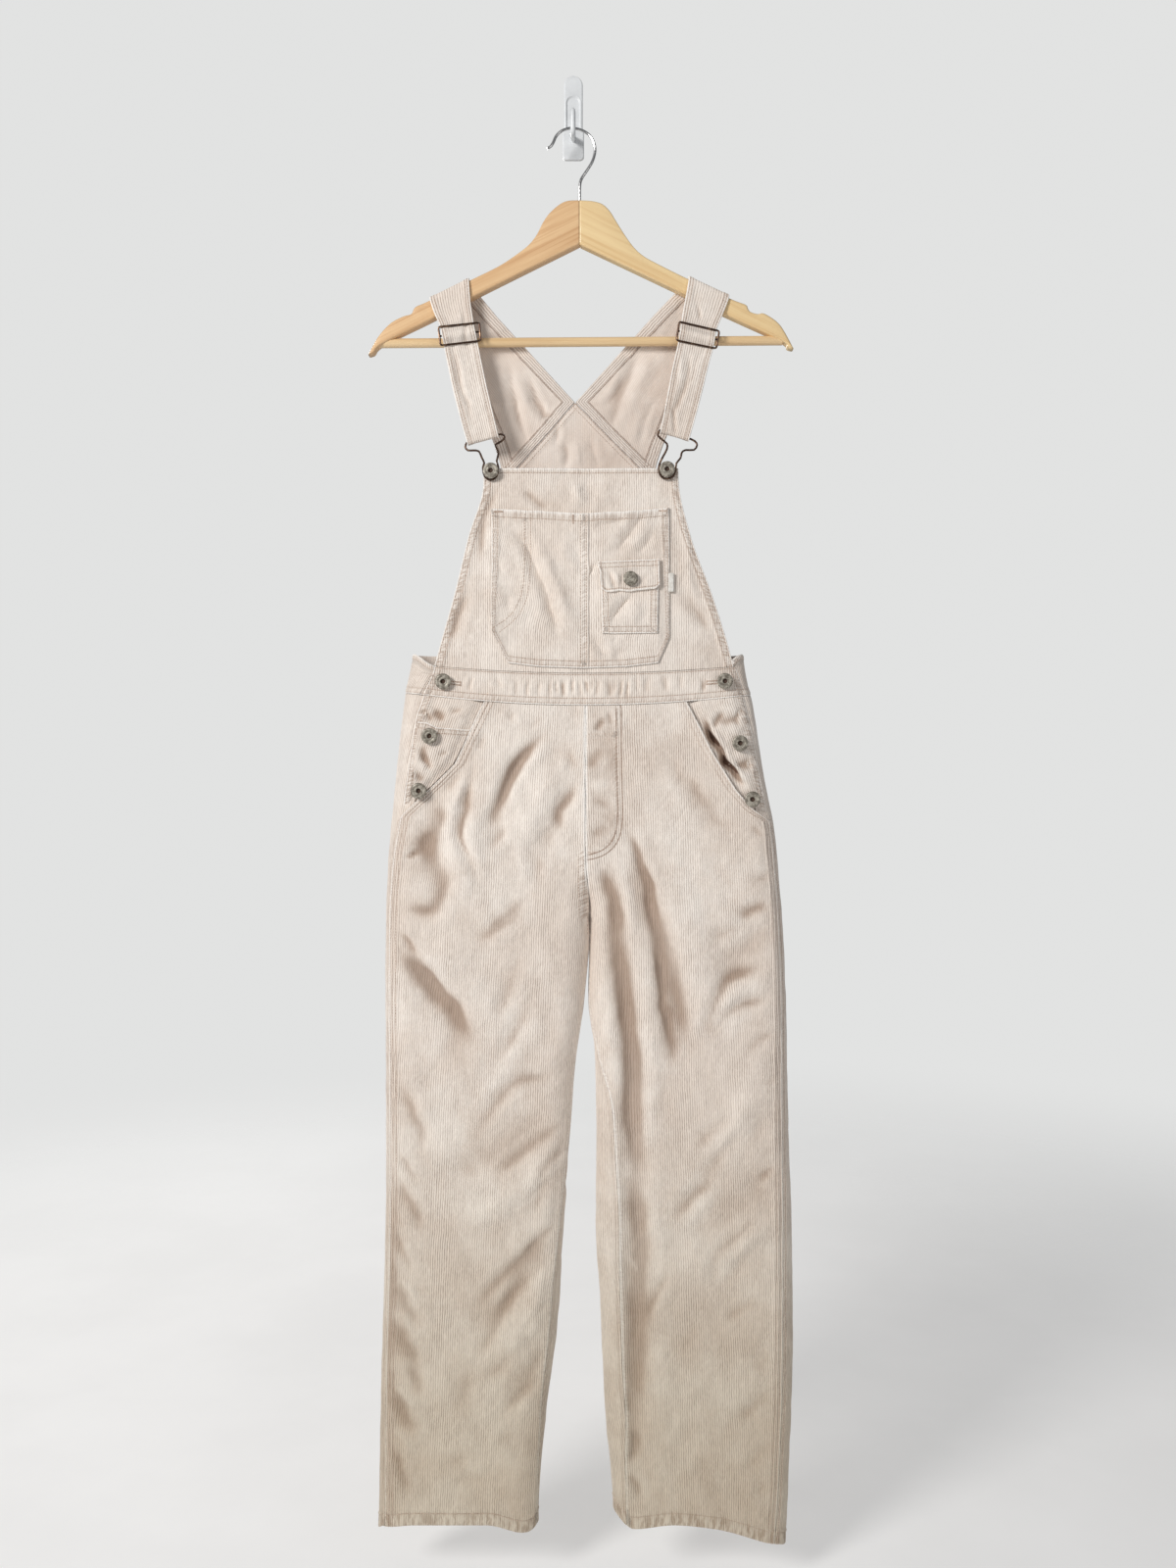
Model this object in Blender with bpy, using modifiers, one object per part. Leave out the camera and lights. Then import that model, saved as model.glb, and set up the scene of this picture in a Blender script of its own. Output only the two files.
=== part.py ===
"""Bib overalls in fine corduroy, hanging from a wooden hanger on an adhesive wall hook.

Frame: the origin is the middle of the wall hook's flat back face, +Z is up and -Y points away from
the wall, so a point's depth in front of the wall is -Y. Tables and functions work in millimetres;
meshes are made in metres. "Left" and "right" are as seen from the front.
"""

from collections import namedtuple
from math import acos, cos, exp, hypot, pi, sin, sqrt

import bmesh
import bpy
from mathutils import Vector

MM = 0.001

# Cloth
CLOTH = 1.5
SEAM_GAP = 0.3
LAYER = CLOTH + SEAM_GAP
EDGE_ROLL = 26.0
MIDDLE = 15.0

# Heights of the garment's levels
BIB_TOP = -388.0
BAND_TOP_SIDE = -595.5
BAND_TOP_MIDDLE = -603.5
BAND_FOOT_SIDE = -627.0
BAND_FOOT_MIDDLE = -637.0
BACK_BAND_TOP = -582.0
LEG_TOP = -637.0
CROTCH = -858.0
HEM = -1490.0
HALF_WAIST = 165.0

# Hanger and hook
WOOD_FRONT = 35.0
WOOD_BACK = 22.0
WOOD_EDGE = 1.6
JOINT_X = 7.0
BAR_RADIUS = 4.9
PLATE_TOP = 45.2
PLATE_FOOT = -46.2
PLATE_HALF_WIDTH = 11.6
PLATE_THICKNESS = 3.0
PEG_HALF_WIDTH = 2.2
WIRE_REST = -25.0
BAR_LEFT = (-205.0, -252.5)
BAR_RIGHT = (221.0, -249.5)
HOOK_WIRE = 1.5
HOOK_DEPTH = 28.5

# Metal
BUTTON_RADIUS = 8.2
SLIDE_WIRE = 1.1
BUCKLE_WIRE = 1.1

Section = namedtuple("Section", "z outer outer_roll inner inner_roll front back")
LEFT_LEG = (
    Section(-570, -168.5, 31.0, 15.5, 0.0, 51, 14),
    Section(-583, -168.5, 27.5, 15.0, 0.0, 53, 14),
    Section(-597, -170.0, 26.5, 14.5, 0.0, 54, 14),
    Section(-627, -174.5, 19.0, 14.0, 0.0, 57, 14),
    Section(-653, -178.0, 13.8, 13.2, 0.0, 59, 14),
    Section(-707, -185.0, 13.0, 13.0, 0.0, 62, 14),
    Section(-752, -189.5, 11.5, 13.0, 0.0, 63, 14),
    Section(-800, -193.5, 7.5, 13.8, 0.0, 63, 14),
    Section(-858, -196.0, 6.0, 18.0, 0.0, 62, 14),
    Section(-942, -197.0, 6.0, 12.1, 0.4, 60, 14),
    Section(-1010, -196.5, 6.0, 2.8, 0.8, 59, 14),
    Section(-1087, -196.5, 6.0, -3.3, 1.6, 58, 14),
    Section(-1150, -196.5, 6.0, -7.2, 3.4, 58, 14),
    Section(-1212, -197.5, 6.0, -11.9, 5.6, 58, 14),
    Section(-1243, -198.0, 6.0, -12.9, 7.8, 58, 14),
    Section(-1304, -200.0, 6.0, -18.0, 8.0, 57, 14),
    Section(-1376, -202.0, 7.0, -28.0, 5.0, 55, 14),
    Section(-1438, -203.5, 8.0, -34.0, 2.0, 52, 14),
    Section(-1500, -204.5, 8.0, -37.5, 1.0, 50, 14),
)
RIGHT_LEG = (
    Section(-570, 178.0, 17.0, 15.5, 0.0, 51, 14),
    Section(-583, 179.0, 14.0, 15.0, 0.0, 53, 14),
    Section(-594, 180.0, 11.4, 14.5, 0.0, 54, 14),
    Section(-622, 184.0, 6.5, 14.0, 0.0, 57, 14),
    Section(-663, 192.5, 5.5, 13.2, 0.0, 60, 14),
    Section(-719, 202.5, 5.5, 13.0, 0.0, 62, 14),
    Section(-769, 211.5, 5.5, 13.0, 0.0, 63, 14),
    Section(-800, 214.5, 5.5, 13.8, 0.0, 63, 14),
    Section(-858, 219.5, 6.0, 18.0, 0.0, 62, 14),
    Section(-942, 223.5, 6.5, 16.5, 0.4, 60, 14),
    Section(-966, 224.2, 7.0, 18.5, 1.0, 60, 14),
    Section(-994, 224.8, 7.5, 22.5, 3.0, 60, 14),
    Section(-1058, 226.0, 8.5, 24.4, 16.6, 60, 14),
    Section(-1109, 227.0, 9.0, 24.4, 20.0, 60, 14),
    Section(-1185, 229.5, 11.0, 24.2, 24.0, 59, 14),
    Section(-1266, 231.3, 13.0, 29.0, 20.5, 58, 14),
    Section(-1327, 231.0, 13.0, 31.5, 20.0, 57, 14),
    Section(-1367, 230.0, 12.5, 33.4, 21.0, 55, 14),
    Section(-1428, 227.5, 12.5, 38.0, 16.5, 52, 14),
    Section(-1500, 222.5, 13.0, 44.0, 12.5, 50, 14),
)

# The lower edge of each leg, from the outseam side inwards or outwards
HemPoint = namedtuple("HemPoint", "x z")
LEFT_HEM = (
    HemPoint(-204, -1486),
    HemPoint(-164, -1490),
    HemPoint(-90, -1490),
    HemPoint(-46, -1499),
    HemPoint(-36, -1488),
)
RIGHT_HEM = (
    HemPoint(40, -1478),
    HemPoint(64, -1494),
    HemPoint(105, -1490),
    HemPoint(148, -1494),
    HemPoint(200, -1508),
    HemPoint(214, -1511),
    HemPoint(224, -1500),
)

# The mouth of each slant pocket, from the waistband down to the side edge
MouthPoint = namedtuple("MouthPoint", "z x")
LEFT_MOUTH = (
    MouthPoint(-637, -91.5),
    MouthPoint(-665, -105.5),
    MouthPoint(-698, -122.0),
    MouthPoint(-719, -143.0),
    MouthPoint(-752, -178.0),
)
RIGHT_MOUTH = (
    MouthPoint(-637, 118.0),
    MouthPoint(-682, 142.0),
    MouthPoint(-725, 169.0),
    MouthPoint(-745, 187.0),
    MouthPoint(-756, 203.5),
)

BibRow = namedtuple("BibRow", "z left right depth")
BIB = (
    BibRow(-388, -93.5, 110.5, 45.0),
    BibRow(-403, -93.5, 111.0, 45.5),
    BibRow(-460, -109.2, 123.6, 47.0),
    BibRow(-519, -123.3, 144.8, 49.0),
    BibRow(-570, -137.3, 160.8, 51.0),
    BibRow(-600, -145.0, 168.3, 54.0),
)

BackRow = namedtuple("BackRow", "z left right depth")
BACK_SIDE_LEFT = (
    BackRow(-190, -155.5, -109.0, 20.2),
    BackRow(-222, -141.5, -80.7, 20.0),
    BackRow(-240, -133.0, -64.2, 19.5),
    BackRow(-276, -118.0, -31.3, 18.5),
    BackRow(-294, -110.0, -14.8, 18.2),
    BackRow(-312, -102.0, 1.8, 18.0),
    BackRow(-328, -95.5, -12.3, 17.8),
    BackRow(-345, -88.5, -26.8, 17.5),
    BackRow(-360, -83.0, -40.4, 17.2),
    BackRow(-376, -78.0, -54.7, 17.0),
    BackRow(-396, -73.5, -73.0, 17.0),
)
BACK_SIDE_RIGHT = (
    BackRow(-185, 117.7, 167.5, 20.2),
    BackRow(-220, 86.1, 152.0, 20.0),
    BackRow(-240, 68.0, 143.5, 19.5),
    BackRow(-276, 35.5, 129.0, 18.5),
    BackRow(-294, 19.2, 121.5, 18.2),
    BackRow(-312, 2.9, 114.0, 18.0),
    BackRow(-328, 18.3, 107.5, 17.8),
    BackRow(-345, 34.6, 101.0, 17.5),
    BackRow(-360, 49.6, 95.0, 17.2),
    BackRow(-376, 65.6, 89.5, 17.0),
    BackRow(-396, 84.8, 85.5, 17.0),
)
BACK_CENTER = (
    BackRow(-313, 1.4, 3.2, 18.0),
    BackRow(-328, -12.3, 18.3, 17.8),
    BackRow(-345, -26.8, 34.6, 17.5),
    BackRow(-360, -40.4, 49.6, 17.2),
    BackRow(-376, -54.7, 65.6, 17.0),
    BackRow(-397, -73.5, 85.6, 17.0),
    BackRow(-430, -80.5, 92.5, 16.5),
    BackRow(-480, -97.0, 108.0, 16.0),
    BackRow(-530, -117.0, 128.0, 15.0),
    BackRow(-565, -132.0, 148.0, 14.3),
    BackRow(-582, -138.0, 156.0, 14.0),
)

# Folds: a trough has a negative height, a ridge a positive one; bow bends the line sideways
Fold = namedtuple("Fold", "x0 z0 x1 z1 bow half_width height")
FRONT_FOLDS = (
    Fold(-35, -672, -92, -785, 6, 13, -5.0),
    Fold(-5, -690, -60, -800, 5, 14, 3.5),
    Fold(6, -712, -34, -800, 4, 10, -3.0),
    Fold(-66, -700, -120, -850, 6, 16, 3.0),
    Fold(-163, -768, -132, -832, -4, 12, -4.5),
    Fold(-184, -872, -108, -1020, -8, 16, -4.0),
    Fold(-150, -860, -70, -990, -8, 18, 3.0),
    Fold(-150, -1130, -6, -1050, 10, 18, -3.5),
    Fold(-120, -1180, -12, -1095, 8, 13, 3.0),
    Fold(-95, -1290, -20, -1180, 6, 12, -5.0),
    Fold(-80, -1330, -22, -1215, 6, 12, 3.5),
    Fold(-70, -1370, -26, -1285, 5, 9, -3.5),
    Fold(-186, -1090, -180, -1440, 8, 13, -4.5),
    Fold(58, -780, 118, -1022, -10, 11, -7.0),
    Fold(84, -790, 150, -990, -10, 20, 3.0),
    Fold(33, -800, 72, -1180, -6, 11, -6.5),
    Fold(58, -1160, 66, -1470, -3, 11, -3.5),
    Fold(135, -930, 212, -846, 8, 14, -3.0),
    Fold(120, -1110, 214, -1010, 8, 16, 2.5),
    Fold(130, -1200, 214, -1100, 8, 15, -2.5),
    Fold(90, -1240, 205, -1150, 8, 17, 2.5),
)
BACK_FOLDS = (
    Fold(-60, -700, -150, -900, 8, 18, -3.5),
    Fold(70, -690, 150, -880, -8, 18, -3.5),
    Fold(-150, -1150, -40, -1040, 8, 18, -3.0),
    Fold(90, -1060, 200, -1160, -8, 18, -3.0),
    Fold(-150, -1380, -60, -1260, 6, 15, -3.0),
    Fold(90, -1290, 190, -1400, -6, 15, -3.0),
)


# ---------------------------------------------------------------- tables and curves


def smooth_step(value):
    """0 below 0, 1 above 1 and an S curve between."""
    t = min(max(value, 0.0), 1.0)
    return t * t * (3.0 - 2.0 * t)


def hermite(x, x0, x1, y0, y1, m0, m1):
    """The cubic from (x0, y0) to (x1, y1) with slopes m0 and m1."""
    h = x1 - x0
    t = (x - x0) / h
    t2 = t * t
    t3 = t2 * t
    start = (2 * t3 - 3 * t2 + 1) * y0 + (t3 - 2 * t2 + t) * h * m0
    end = (3 * t2 - 2 * t3) * y1 + (t3 - t2) * h * m1
    return start + end


def slope_at(xs, ys, i):
    """A slope that lets the curve through the rows neither overshoot nor ripple."""
    if i == 0 or i == len(xs) - 1:
        j = max(i - 1, 0)
        return (ys[j + 1] - ys[j]) / (xs[j + 1] - xs[j])
    before = (ys[i] - ys[i - 1]) / (xs[i] - xs[i - 1])
    after = (ys[i + 1] - ys[i]) / (xs[i + 1] - xs[i])
    if before * after <= 0:
        return 0.0
    return 2 * before * after / (before + after)


def read(table, column, at, key="z"):
    """One column of a table at any height, on a smooth curve through its rows."""
    rows = sorted(table, key=lambda row: getattr(row, key))
    xs = [getattr(row, key) for row in rows]
    ys = [getattr(row, column) for row in rows]
    at = min(max(at, xs[0]), xs[-1])
    i = 0
    while i < len(xs) - 2 and at > xs[i + 1]:
        i += 1
    return hermite(at, xs[i], xs[i + 1], ys[i], ys[i + 1], slope_at(xs, ys, i), slope_at(xs, ys, i + 1))


def straight(table, column, at, key="z"):
    """One column of a table at any height, on straight lines between its rows."""
    rows = sorted(table, key=lambda row: getattr(row, key))
    at = min(max(at, getattr(rows[0], key)), getattr(rows[-1], key))
    for low, high in zip(rows, rows[1:]):
        if at <= getattr(high, key):
            break
    share = (at - getattr(low, key)) / (getattr(high, key) - getattr(low, key))
    return getattr(low, column) * (1 - share) + getattr(high, column) * share


def spread(start, end, count):
    """Evenly spaced numbers from start to end, both included."""
    return [start + (end - start) * i / (count - 1) for i in range(count)]


def fold_height(folds, x, z):
    """How far all the folds together lift the cloth at a place."""
    total = 0.0
    for fold in folds:
        dx = fold.x1 - fold.x0
        dz = fold.z1 - fold.z0
        length = hypot(dx, dz)
        along = ((x - fold.x0) * dx + (z - fold.z0) * dz) / length / length
        if along <= 0.0 or along >= 1.0:
            continue
        across = ((x - fold.x0) * dz - (z - fold.z0) * dx) / length
        across -= fold.bow * sin(pi * along)
        taper = smooth_step(along / 0.3) * smooth_step((1.0 - along) / 0.3)
        total += fold.height * taper * exp(-((across / fold.half_width) ** 2))
    return total


# ---------------------------------------------------------------- the garment's surfaces


def ellipse(distance, roll=EDGE_ROLL):
    """Share of the full half depth at a distance from a rolled edge."""
    t = min(max(distance / roll, 0.0), 1.0)
    return sqrt(1.0 - (1.0 - t) ** 2)


def closing(z):
    """0 where the two legs share one hollow, 1 where each is closed: it grows just above the crotch."""
    if z <= CROTCH:
        return 1.0
    return 0.9 * smooth_step((CROTCH + 55.0 - z) / 52.0)


def ring_depth(leg, x, z, face):
    """Depth of the garment's outer surface: face is 1 for the front and -1 for the back."""
    front = read(leg, "front", z)
    back = read(leg, "back", z)
    outer = read(leg, "outer", z)
    inner = read(leg, "inner", z)
    share = ellipse(abs(x - outer)) * (1.0 - closing(z) * (1.0 - ellipse(abs(x - inner))))
    half = (front - back) / 2.0
    folds = FRONT_FOLDS if face > 0 else BACK_FOLDS
    lift = fold_height(folds, x, z) * share * share
    return back + half + face * (half * share + lift)


def front_depth(x, z):
    """Depth of the front below the bib."""
    middle = read(LEFT_LEG, "inner", max(z, CROTCH))
    return ring_depth(LEFT_LEG if x < middle else RIGHT_LEG, x, z, 1)


def bib_depth(x, z):
    """Depth of the bib: its side edges lie back a little, with a slight crease down its middle."""
    half = (read(BIB, "right", z) - read(BIB, "left", z)) / 2.0
    centre = (read(BIB, "right", z) + read(BIB, "left", z)) / 2.0
    across = (x - centre) / half
    sides = 2.5 * across**4
    crease = 1.2 * exp(-(((x - MIDDLE) / 9.0) ** 2))
    top_hollow = 2.0 * exp(-(((x - MIDDLE) / 55.0) ** 2)) * smooth_step((z + 470.0) / 80.0)
    return read(BIB, "depth", z) - sides - crease - top_hollow


def band_edge(x, side, middle):
    """Height of a waistband edge, which sags a little in the middle."""
    return middle + (side - middle) * ((x - MIDDLE) / HALF_WAIST) ** 2


# ---------------------------------------------------------------- solids


def material(name, colour, roughness, metallic=0.0):
    """A plain Principled material."""
    made = bpy.data.materials.new(name)
    made.use_nodes = True
    shader = made.node_tree.nodes["Principled BSDF"]
    shader.inputs["Base Color"].default_value = (*colour, 1.0)
    shader.inputs["Roughness"].default_value = roughness
    shader.inputs["Metallic"].default_value = metallic
    return made


def new_object(name, mesh, finish, collection):
    """Adds an object that holds a mesh."""
    made = bpy.data.objects.new(name, mesh)
    mesh.materials.clear()
    mesh.materials.append(finish)
    collection.objects.link(made)
    return made


def wall(name, outer, inner, finish, collection):
    """A closed wall between two grids of points in millimetres."""
    rows, columns = len(outer), len(outer[0])
    mesh = bpy.data.meshes.new(name)
    shape = bmesh.new()
    front = [[shape.verts.new([c * MM for c in p]) for p in row] for row in outer]
    back = [[shape.verts.new([c * MM for c in p]) for p in row] for row in inner]
    for i in range(rows - 1):
        for j in range(columns - 1):
            shape.faces.new((front[i][j], front[i + 1][j], front[i + 1][j + 1], front[i][j + 1]))
            shape.faces.new((back[i][j], back[i][j + 1], back[i + 1][j + 1], back[i + 1][j]))
    rim = [(0, j) for j in range(columns)]
    rim += [(i, columns - 1) for i in range(1, rows)]
    rim += [(rows - 1, j) for j in range(columns - 2, -1, -1)]
    rim += [(i, 0) for i in range(rows - 2, 0, -1)]
    for (i, j), (k, m) in zip(rim, rim[1:] + rim[:1]):
        shape.faces.new((front[i][j], front[k][m], back[k][m], back[i][j]))
    bmesh.ops.recalc_face_normals(shape, faces=shape.faces)
    shape.to_mesh(mesh)
    shape.free()
    mesh.shade_smooth()
    mesh.set_sharp_from_angle(angle=0.7)
    return new_object(name, mesh, finish, collection)


def graph_normal(depth, x, z):
    """Outward direction of a surface that is given as a depth at each x and z."""
    step = 2.0
    dx = (depth(x + step, z) - depth(x - step, z)) / (2 * step)
    dz = (depth(x, z + step) - depth(x, z - step)) / (2 * step)
    return Vector((-dx, -1.0, -dz)).normalized()


def graph_grids(depth, places, thickness=CLOTH, lift=0.0, face=1):
    """Outer and inner grids over rows of (x, z) places; face is -1 for cloth that looks at the wall."""
    outer, inner = [], []
    for row in places:
        outer_row, inner_row = [], []
        for x, z in row:
            normal = graph_normal(depth, x, z) * face
            point = Vector((x, -depth(x, z), z))
            outer_row.append(point + normal * lift)
            inner_row.append(point + normal * (lift - thickness))
        outer.append(outer_row)
        inner.append(inner_row)
    return outer, inner


def prism(name, outline, collection):
    """A cutter: an (x, z) outline in millimetres, extruded through the whole depth."""
    mesh = bpy.data.meshes.new(name)
    shape = bmesh.new()
    near = [shape.verts.new((x * MM, -0.12, z * MM)) for x, z in outline]
    far = [shape.verts.new((x * MM, 0.02, z * MM)) for x, z in outline]
    shape.faces.new(near)
    shape.faces.new(far[::-1])
    for i in range(len(outline)):
        k = (i + 1) % len(outline)
        shape.faces.new((near[i], far[i], far[k], near[k]))
    bmesh.ops.recalc_face_normals(shape, faces=shape.faces)
    shape.to_mesh(mesh)
    shape.free()
    made = bpy.data.objects.new(name, mesh)
    collection.objects.link(made)
    made.hide_render = True
    made.display_type = "WIRE"
    return made


def add_boolean(piece, cutter, operation):
    """A Boolean modifier with the exact solver."""
    cut = piece.modifiers.new(operation.title(), "BOOLEAN")
    cut.operation = operation
    cut.solver = "EXACT"
    cut.object = cutter


def wire_curve(name, points, radius, finish, collection, closed=False):
    """A round wire along points in millimetres."""
    data = bpy.data.curves.new(name, "CURVE")
    data.dimensions = "3D"
    data.bevel_depth = radius * MM
    data.bevel_resolution = 2
    data.use_fill_caps = True
    spline = data.splines.new("POLY")
    spline.points.add(len(points) - 1)
    for target, point in zip(spline.points, points):
        target.co = (point[0] * MM, point[1] * MM, point[2] * MM, 1.0)
    spline.use_cyclic_u = closed
    data.materials.append(finish)
    made = bpy.data.objects.new(name, data)
    collection.objects.link(made)
    return made


def as_mesh(curve_object, finish, collection):
    """Replaces a curve object by a mesh with its caps welded."""
    name = curve_object.name
    bpy.context.view_layer.update()
    graph = bpy.context.evaluated_depsgraph_get()
    mesh = bpy.data.meshes.new_from_object(curve_object.evaluated_get(graph))
    place = curve_object.matrix_world.copy()
    bpy.data.objects.remove(curve_object)
    shape = bmesh.new()
    shape.from_mesh(mesh)
    bmesh.ops.remove_doubles(shape, verts=shape.verts, dist=0.00001)
    bmesh.ops.recalc_face_normals(shape, faces=shape.faces)
    shape.to_mesh(mesh)
    shape.free()
    mesh.shade_smooth()
    mesh.set_sharp_from_angle(angle=0.7)
    made = new_object(name, mesh, finish, collection)
    made.matrix_world = place
    return made


def smooth_path(points, steps, closed=False):
    """More points along a smooth curve through the given ones."""
    count = len(points)
    path = []
    for i in range(count if closed else count - 1):
        if closed:
            p0, p1, p2, p3 = (Vector(points[(i + k) % count]) for k in (-1, 0, 1, 2))
        else:
            p0, p1, p2, p3 = (Vector(points[min(max(i + k, 0), count - 1)]) for k in (-1, 0, 1, 2))
        for k in range(steps):
            t = k / steps
            a = 2 * p1 + (p2 - p0) * t
            b = (2 * p0 - 5 * p1 + 4 * p2 - p3) * t * t
            c = (3 * p1 - p0 - 3 * p2 + p3) * t * t * t
            path.append((a + b + c) / 2)
    if not closed:
        path.append(Vector(points[-1]))
    return path


# ---------------------------------------------------------------- legs


def zone(roll_end, seam, steps):
    """Distances from a leg's edge, from seam to roll's end, closest together where the cloth turns."""
    end = max(roll_end, seam + 6.0)
    first = acos(1.0 - min(seam / end, 1.0))
    return [end * (1.0 - cos(angle)) for angle in spread(first, pi / 2, steps + 1)]


def leg_columns(leg, z, mouth):
    """(x, face) of one leg's front and back columns at a height, from outer seam to inner seam."""
    outer = read(leg, "outer", z)
    inner = read(leg, "inner", z)
    inward = 1.0 if inner > outer else -1.0
    outer_seam = read(leg, "outer_roll", z)
    inner_seam = read(leg, "inner_roll", z)
    half_gap = SEAM_GAP / 2
    front_start = outer_seam + half_gap
    if z > mouth[-1].z:
        front_start = max(front_start, abs(straight(mouth, "x", z) - outer))
    outer_zone = zone(EDGE_ROLL, front_start, 3)
    inner_zone = zone(EDGE_ROLL, inner_seam + half_gap, 3)
    left_over = spread(outer + inward * outer_zone[-1], inner - inward * inner_zone[-1], 6)
    front = [(outer + inward * s, 1) for s in outer_zone[:-1]]
    front += [(x, 1) for x in left_over]
    front += [(inner - inward * s, 1) for s in inner_zone[-2::-1]]
    wrap = [s for s in zone(outer_seam - half_gap, 0.0, 2)][::-1]
    arc = zone(EDGE_ROLL, 0.0, 3)
    back = [(outer + inward * min(s, outer_seam - half_gap), 1) for s in wrap[:-1]]
    back += [(outer + inward * s, -1) for s in arc]
    flat_end = inner - inward * EDGE_ROLL
    back += [(x, -1) for x in spread(back[-1][0], flat_end, 5)[1:-1]]
    if z > CROTCH:
        ends = [EDGE_ROLL * (1 - cos(a)) for a in spread(pi / 2, 0.0, 6)]
        ends[-1] = half_gap
        back += [(inner - inward * s, -1) for s in ends]
    else:
        seam = max(inner_seam - half_gap, 0.02)
        turn = acos(1.0 - min(seam / max(seam + 6.0, EDGE_ROLL), 1.0))
        for angle in spread(pi / 2, -turn, 6):
            reach = EDGE_ROLL if angle > 0 else max(seam + 6.0, EDGE_ROLL)
            back.append((inner - inward * reach * (1 - cos(angle)), 1 if angle < 0 else -1))
    return front, back


def level(x, z, hem):
    """Height of a leg row at x: it follows the waistband's foot at the top and the hem at the bottom."""
    at_top = smooth_step(1.0 + (z - LEG_TOP) / 60.0)
    at_foot = smooth_step((HEM + 120.0 - z) / 120.0)
    top_shift = band_edge(x, BAND_FOOT_SIDE, BAND_FOOT_MIDDLE) - LEG_TOP
    foot_shift = read(hem, "z", x, "x") - HEM
    return z + at_top * top_shift + at_foot * foot_shift


def leg_heights():
    """Heights of the rows: closer at the pocket, the crotch and the hem."""
    heights = spread(LEG_TOP - SEAM_GAP, -756.0, 7)
    heights += spread(-776.0, CROTCH + 4.0, 5)
    heights += spread(CROTCH, HEM + 24.0, 22)
    heights += [HEM + 11.0, HEM]
    return heights


def make_leg(side, leg, mouth, hem, finish, collection):
    """The front and back panels of one leg, which share their normals where they meet."""
    front_rows, back_rows = [], []
    for z in leg_heights():
        front, back = leg_columns(leg, z, mouth)
        front_rows.append([leg_point(leg, x, z, face, hem) for x, face in front])
        back_rows.append([leg_point(leg, x, z, face, hem) for x, face in back])
    inner_x = [read(leg, "inner", z) for z in leg_heights()]
    front_normals, back_normals = [], []
    for i, z in enumerate(leg_heights()):
        ring = back_rows[i][::-1] + front_rows[i]
        above = max(i - 1, 0)
        below = min(i + 1, len(front_rows) - 1)
        up = back_rows[above][::-1] + front_rows[above]
        down = back_rows[below][::-1] + front_rows[below]
        normals = ring_normals(ring, up, down, inner_x[i], z > CROTCH)
        turn = len(back_rows[i])
        back_normals.append(normals[:turn][::-1])
        front_normals.append(normals[turn:])
    meet = len(leg_heights())
    for i in range(meet):
        share_seam(front_normals[i], back_normals[i], leg_heights()[i] <= CROTCH)
    sign = 1.0 if leg is LEFT_LEG else -1.0
    for name, rows, normals in (("front", front_rows, front_normals), ("back", back_rows, back_normals)):
        inner = [[p - n * sign * CLOTH for p, n in zip(r, m)] for r, m in zip(rows, normals)]
        wall(f"{name}_leg_{side}", rows, inner, finish, collection)


def leg_point(leg, x, z, face, hem):
    """A point of a leg's outer surface."""
    return Vector((x, -ring_depth(leg, x, z, face), level(x, z, hem)))


def ring_normals(ring, up, down, inner_x, is_open):
    """Outward directions round one leg: back panel from inseam to outseam, then front panel."""
    count = len(ring)
    normals = []
    for k in range(count):
        before = ring[(k - 1) % count]
        after = ring[(k + 1) % count]
        if is_open and k == 0:
            before = Vector((2 * inner_x - after.x, after.y, after.z))
        if is_open and k == count - 1:
            after = Vector((2 * inner_x - before.x, before.y, before.z))
        along = after - before
        down_line = down[k] - up[k]
        normals.append(down_line.cross(along).normalized())
    return normals


def share_seam(front, back, closed):
    """Gives both panels one direction at their outer seam, and at the inner seam below the crotch."""
    outer = (front[0] + back[0]).normalized()
    front[0] = outer
    back[0] = outer
    if closed:
        inner = (front[-1] + back[-1]).normalized()
        front[-1] = inner
        back[-1] = inner


# ---------------------------------------------------------------- front pieces


def rows_between(left, right, top, foot, columns, rows):
    """Rows of (x, z) places over a panel whose sides are functions of z and whose ends are functions of x."""
    places = []
    for v in spread(0.0, 1.0, rows):
        row = []
        for u in spread(0.0, 1.0, columns):
            z = 0.0
            x = 0.0
            for _ in range(4):
                z = top(x) + (foot(x) - top(x)) * v
                x = left(z) + (right(z) - left(z)) * u
            row.append((x, z))
        places.append(row)
    return places


def edge_of(leg, sign):
    """The front panel's outer edge on one side, as a function of z."""
    return lambda z: read(leg, "outer", z) + sign * (read(leg, "outer_roll", z) + SEAM_GAP / 2)


def make_bib(finish, collection):
    """The bib and the grids that the pieces on it are made from."""
    places = rows_between(
        lambda z: read(BIB, "left", z),
        lambda z: read(BIB, "right", z),
        lambda x: BIB_TOP,
        lambda x: band_edge(x, BAND_TOP_SIDE, BAND_TOP_MIDDLE) + SEAM_GAP,
        15,
        11,
    )
    outer, inner = graph_grids(bib_depth, places)
    wall("bib_front", outer, inner, finish, collection)
    return places


def applied(name, places, level_number, outline, finish, collection, cutters):
    """A piece sewn on the bib: the bib's own points moved out by whole layers, cut to an outline."""
    lift = level_number * LAYER
    outer, inner = graph_grids(bib_depth, places, CLOTH, lift)
    piece = wall(name, outer, inner, finish, collection)
    add_boolean(piece, prism(f"{name}_outline", outline, cutters), "INTERSECT")
    return piece


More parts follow.
